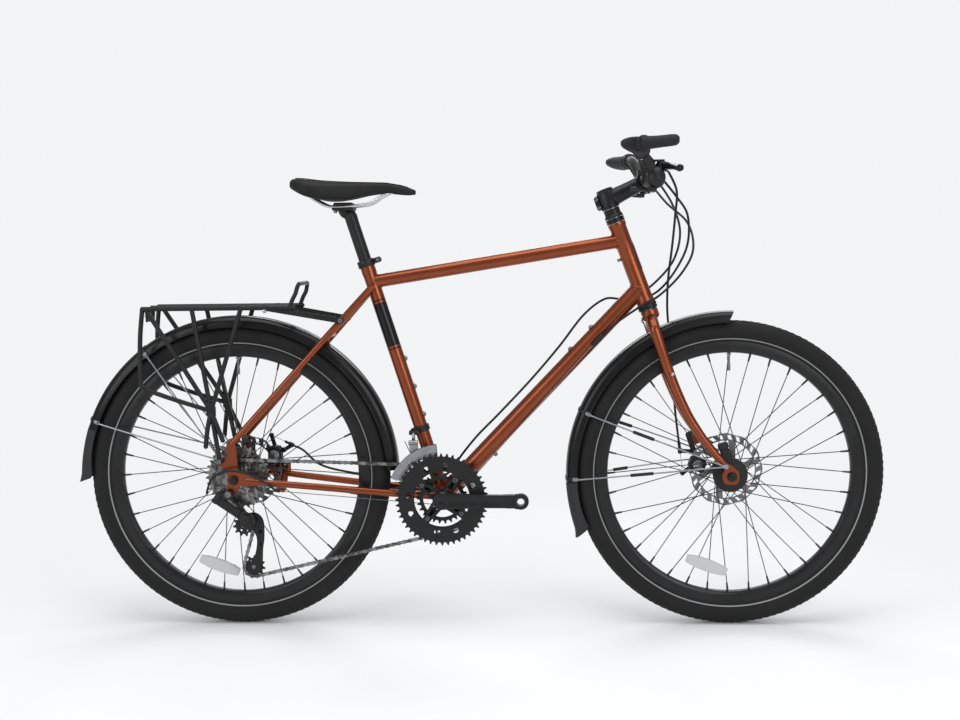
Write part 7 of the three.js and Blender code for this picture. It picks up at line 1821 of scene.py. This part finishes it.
def brake(word, place, middle, tilt, body, tip, stop, wire, shoulder, bridge):
    """A caliper about a disc at a place, its adjuster, and the arm with its bolts."""
    along = outward(tilt)
    caliper = Form()
    for side in (-1, 1):
        caliper.block(place + SIDE * (middle + side * 8.3), along, 30, 12, 36, 4)
    caliper.block(place + SIDE * middle + bridge, along, 16, 27, 10, 2.5)
    caliper.across(place, middle + 12, middle + 16, 12, 40, 1)
    caliper.rod(stop, stop + (wire - stop).normalized() * 12, 5, 24, 0.8)
    if word == "front":
        caliper.bar(vec(980, 47.2, 410), vec(998, 47.2, 356), 5, 12, 1.4)
        caliper.bar(stop - UP * 6, shoulder + SIDE * stop.y, 5, 9, 1.2)
    else:
        caliper.block(vec(75, 62, 345.3), AHEAD, 48, 10, 6, 1.4)
        caliper.block(vec(66, 58, 354), AHEAD, 30, 12, 20, 3)
        caliper.bar(stop - AHEAD * 6, shoulder + SIDE * stop.y, 5, 9, 1.2)
    caliper.across(shoulder, middle + 4.4, stop.y + 2.5, 5.5, 24, 0.6)
    caliper.piece(f"{word}_caliper", alloy, body, f"{word}_caliper", angle=40)
    knob = Form().across(place, middle - 16.4, middle - 13.6, 11, 40, 0.8)
    knob.across(place, middle - 17.6, middle - 16, 7.2, 32, 0.6)
    for step in (10, -10):
        knob.bolt(place + SIDE * (middle + 14.4) + along * step, SIDE, 3.4, 2)
    knob.piece(f"{word}_pad_adjuster", silver, body)
    face = middle + 16.3
    arm = Form().across(place, face, face + 4, 10, 36, 0.6)
    arm.bar(place + SIDE * (face + 2), tip + SIDE * (face + 2), 4, 9, 1)
    arm.across(tip, face, face + 8, 5, 24, 0.6)
    arm.piece(f"caliper_arm_{word}", alloy, f"caliper_arm_{word}", f"caliper_arm_{word}")
    pinch = Form().bolt(tip + SIDE * (face + 7.6), SIDE, 3.6, 2.4)
    pinch.bolt(place + SIDE * (face + 3.6), SIDE, 4.6, 2.6)
    pinch.piece(f"caliper_arm_bolts_{word}", steel, f"caliper_arm_{word}")


brake("front", vec(1000, 0, 342), 39.5, 70 * DEG, "steering", vec(970, 0, 318), FRONT_STOP, FRONT_WIRE,
      vec(996, 0, 366), vec(-12, 0, 6))
brake("rear", vec(66, 0, 366), 51.9, 0, "frame", vec(54, 0, 406), REAR_STOP, REAR_WIRE,
      vec(84, 0, 374), UP * 14)
print("brakes done")

# %% [markdown]
# ## Brake cables
#
# The cables are smooth tubes through the same points as their solids. A soft-body run could settle
# them, but a housing is stiff and is led by its stops. The rear one crosses the steering, so it
# is given no single body and stays where it is drawn.

# %% Brake cables
HOUSING, WIRE = 2.5, 0.9
CROSSING = ("steering", "frame", vec(930 * MM + SHIFT, 0, 0.85), vec(800 * MM + SHIFT, 0, 0.668))
LEVER_END = LEVER_PIN + vec(14, -2, -12)
front_back, rear_back = (FRONT_STOP - FRONT_WIRE).normalized(), (REAR_STOP - REAR_WIRE).normalized()
front_seat, rear_seat = FRONT_STOP + front_back * 0.3, REAR_STOP + rear_back * 0.3
FRONT_ROUTE = [LEVER_END, vec(938, -118, 930), vec(938, -90, 880), vec(936, -52, 820), vec(932, -8, 750),
               vec(934, 34, 690), vec(940, 66, 640), vec(946, 78, 560), vec(956, 72, 450),
               front_seat + front_back * 30, front_seat]
REAR_ROUTE = [mirror(LEVER_END), vec(952, 112, 912), vec(966, 76, 850), vec(950, 48, 790),
              vec(912, 36, 744), vec(872, 33, 715), vec(836, 30, 706), vec(798, 22, 706),
              vec(752, 13, 672), vec(700, 8, 606), vec(640, 8, 536), vec(570, 9, 462), vec(520, 14, 411),
              vec(484, 26, 366), vec(460, 42, 330), vec(425, 50, 308), vec(370, 54, 306),
              vec(300, 62, 314), vec(220, 74, 322), vec(160, 80, 338), rear_seat + rear_back * 24, rear_seat]
cable = Form().tube(smooth_path(FRONT_ROUTE, 12), HOUSING, 16)
cable.rod(front_seat + front_back * 16, front_seat, 3.4, 18, 0.5)
cable.piece("front_brake_cable", sheath, "steering", "front_brake_cable")
cable = Form().tube(smooth_path(REAR_ROUTE, 10), HOUSING, 16)
cable.piece("rear_brake_cable", sheath, CROSSING, "rear_brake_cable")
for word, body, seat, back, end in (("front", "steering", front_seat, front_back, FRONT_WIRE),
                                    ("rear", "frame", rear_seat, rear_back, REAR_WIRE)):
    Form().rod(seat + back * 2, end, WIRE, 10).piece(f"{word}_brake_wire", steel, body)
boot_line = [rear_seat.lerp(REAR_WIRE, 0.26 + 0.2 * k / 8) for k in range(9)]
boot = Form().tube(boot_line, [3.4 if k % 2 else HOUSING for k in range(9)], 16)
boot.piece("rear_brake_boot", hood, "frame")
print("brake cables done")

# %% [markdown]
# ## Shift cables
#
# Both shift cables leave the pods, cross in front of the head tube and end in ribbed adjusters on
# the down tube. From there bare wires run under the crank's shell, one to each derailleur, and a
# last loop of housing turns the rear one round.

# %% Shift cables
POD_END = POD + vec(16, 22, -4)
REAR_SHIFT = [POD_END, vec(940, -92, 920), vec(968, -50, 882), vec(974, 4, 822), vec(952, 26, 768),
              vec(916, 27, 724), vec(870, 27, 698), vec(830, 25, 668)]
FRONT_SHIFT = [mirror(POD_END), vec(938, 88, 912), vec(978, 40, 868), vec(984, -14, 812),
               vec(958, -34, 762), vec(912, -36, 716), vec(868, -35, 690), vec(830, -27, 664)]
LOOP = [vec(90, -73, 308), vec(64, -77, 328), vec(26, -92, 350), vec(-14, -93, 353), vec(-42, -90, 336),
        vec(-54, -84, 312), vec(-56, -81, 302)]


def shift_cable(word, side, points):
    """Housing and ribbed adjuster; gives the point where the bare wire starts."""
    adjuster = vec(792, side * 22, 632)
    end = adjuster + vec(-22, 0, -24)
    housing = Form().tube(smooth_path(points + [adjuster + vec(12, 0, 11), adjuster], 12), HOUSING, 16)
    housing.piece(f"{word}_shift_housing", sheath, CROSSING, f"{word}_shift_cable")
    barrel = Form().rod(adjuster, end, 4.8, 24, 1)
    axis = (end - adjuster).normalized()
    for rib in ellipse(adjuster.lerp(end, 0.5), square_to(axis), axis.cross(square_to(axis)), 4.8, 10):
        barrel.rod(rib - axis * 7, rib + axis * 7, 0.7, 6)
    barrel.piece(f"{word}_adjuster", plastic, "frame")
    return end


def under_crank(side, share=0.46):
    """A point under the crank's shell."""
    return CRANK + vec(share * 20.5, side * 6, -22)


rear_end = shift_cable("rear", 1, REAR_SHIFT)
front_end = shift_cable("front", -1, FRONT_SHIFT)
wires = Form()
wires.tube([rear_end, under_crank(1), under_crank(1, -0.4) - SIDE * 8, vec(96, -72, 306)], WIRE, 8)
wires.tube([front_end, under_crank(-1), under_crank(-1, -0.4), vec(424, -7, 268), vec(364, -22, 405)],
           WIRE, 8)
wires.piece("bare_wires", dark_steel, "frame")
loop = Form().tube(smooth_path(LOOP, 12), HOUSING, 16)
loop.rod(vec(100, -72, 306), vec(88, -73, 308), 3.5, 18, 0.5)
loop.piece("derailleur_loop", sheath, "frame")
Form().block(CRANK - UP * 22.4, AHEAD, 26, 26, 2.6, 1).piece("cable_guide", plastic, "frame")
print("cables done")
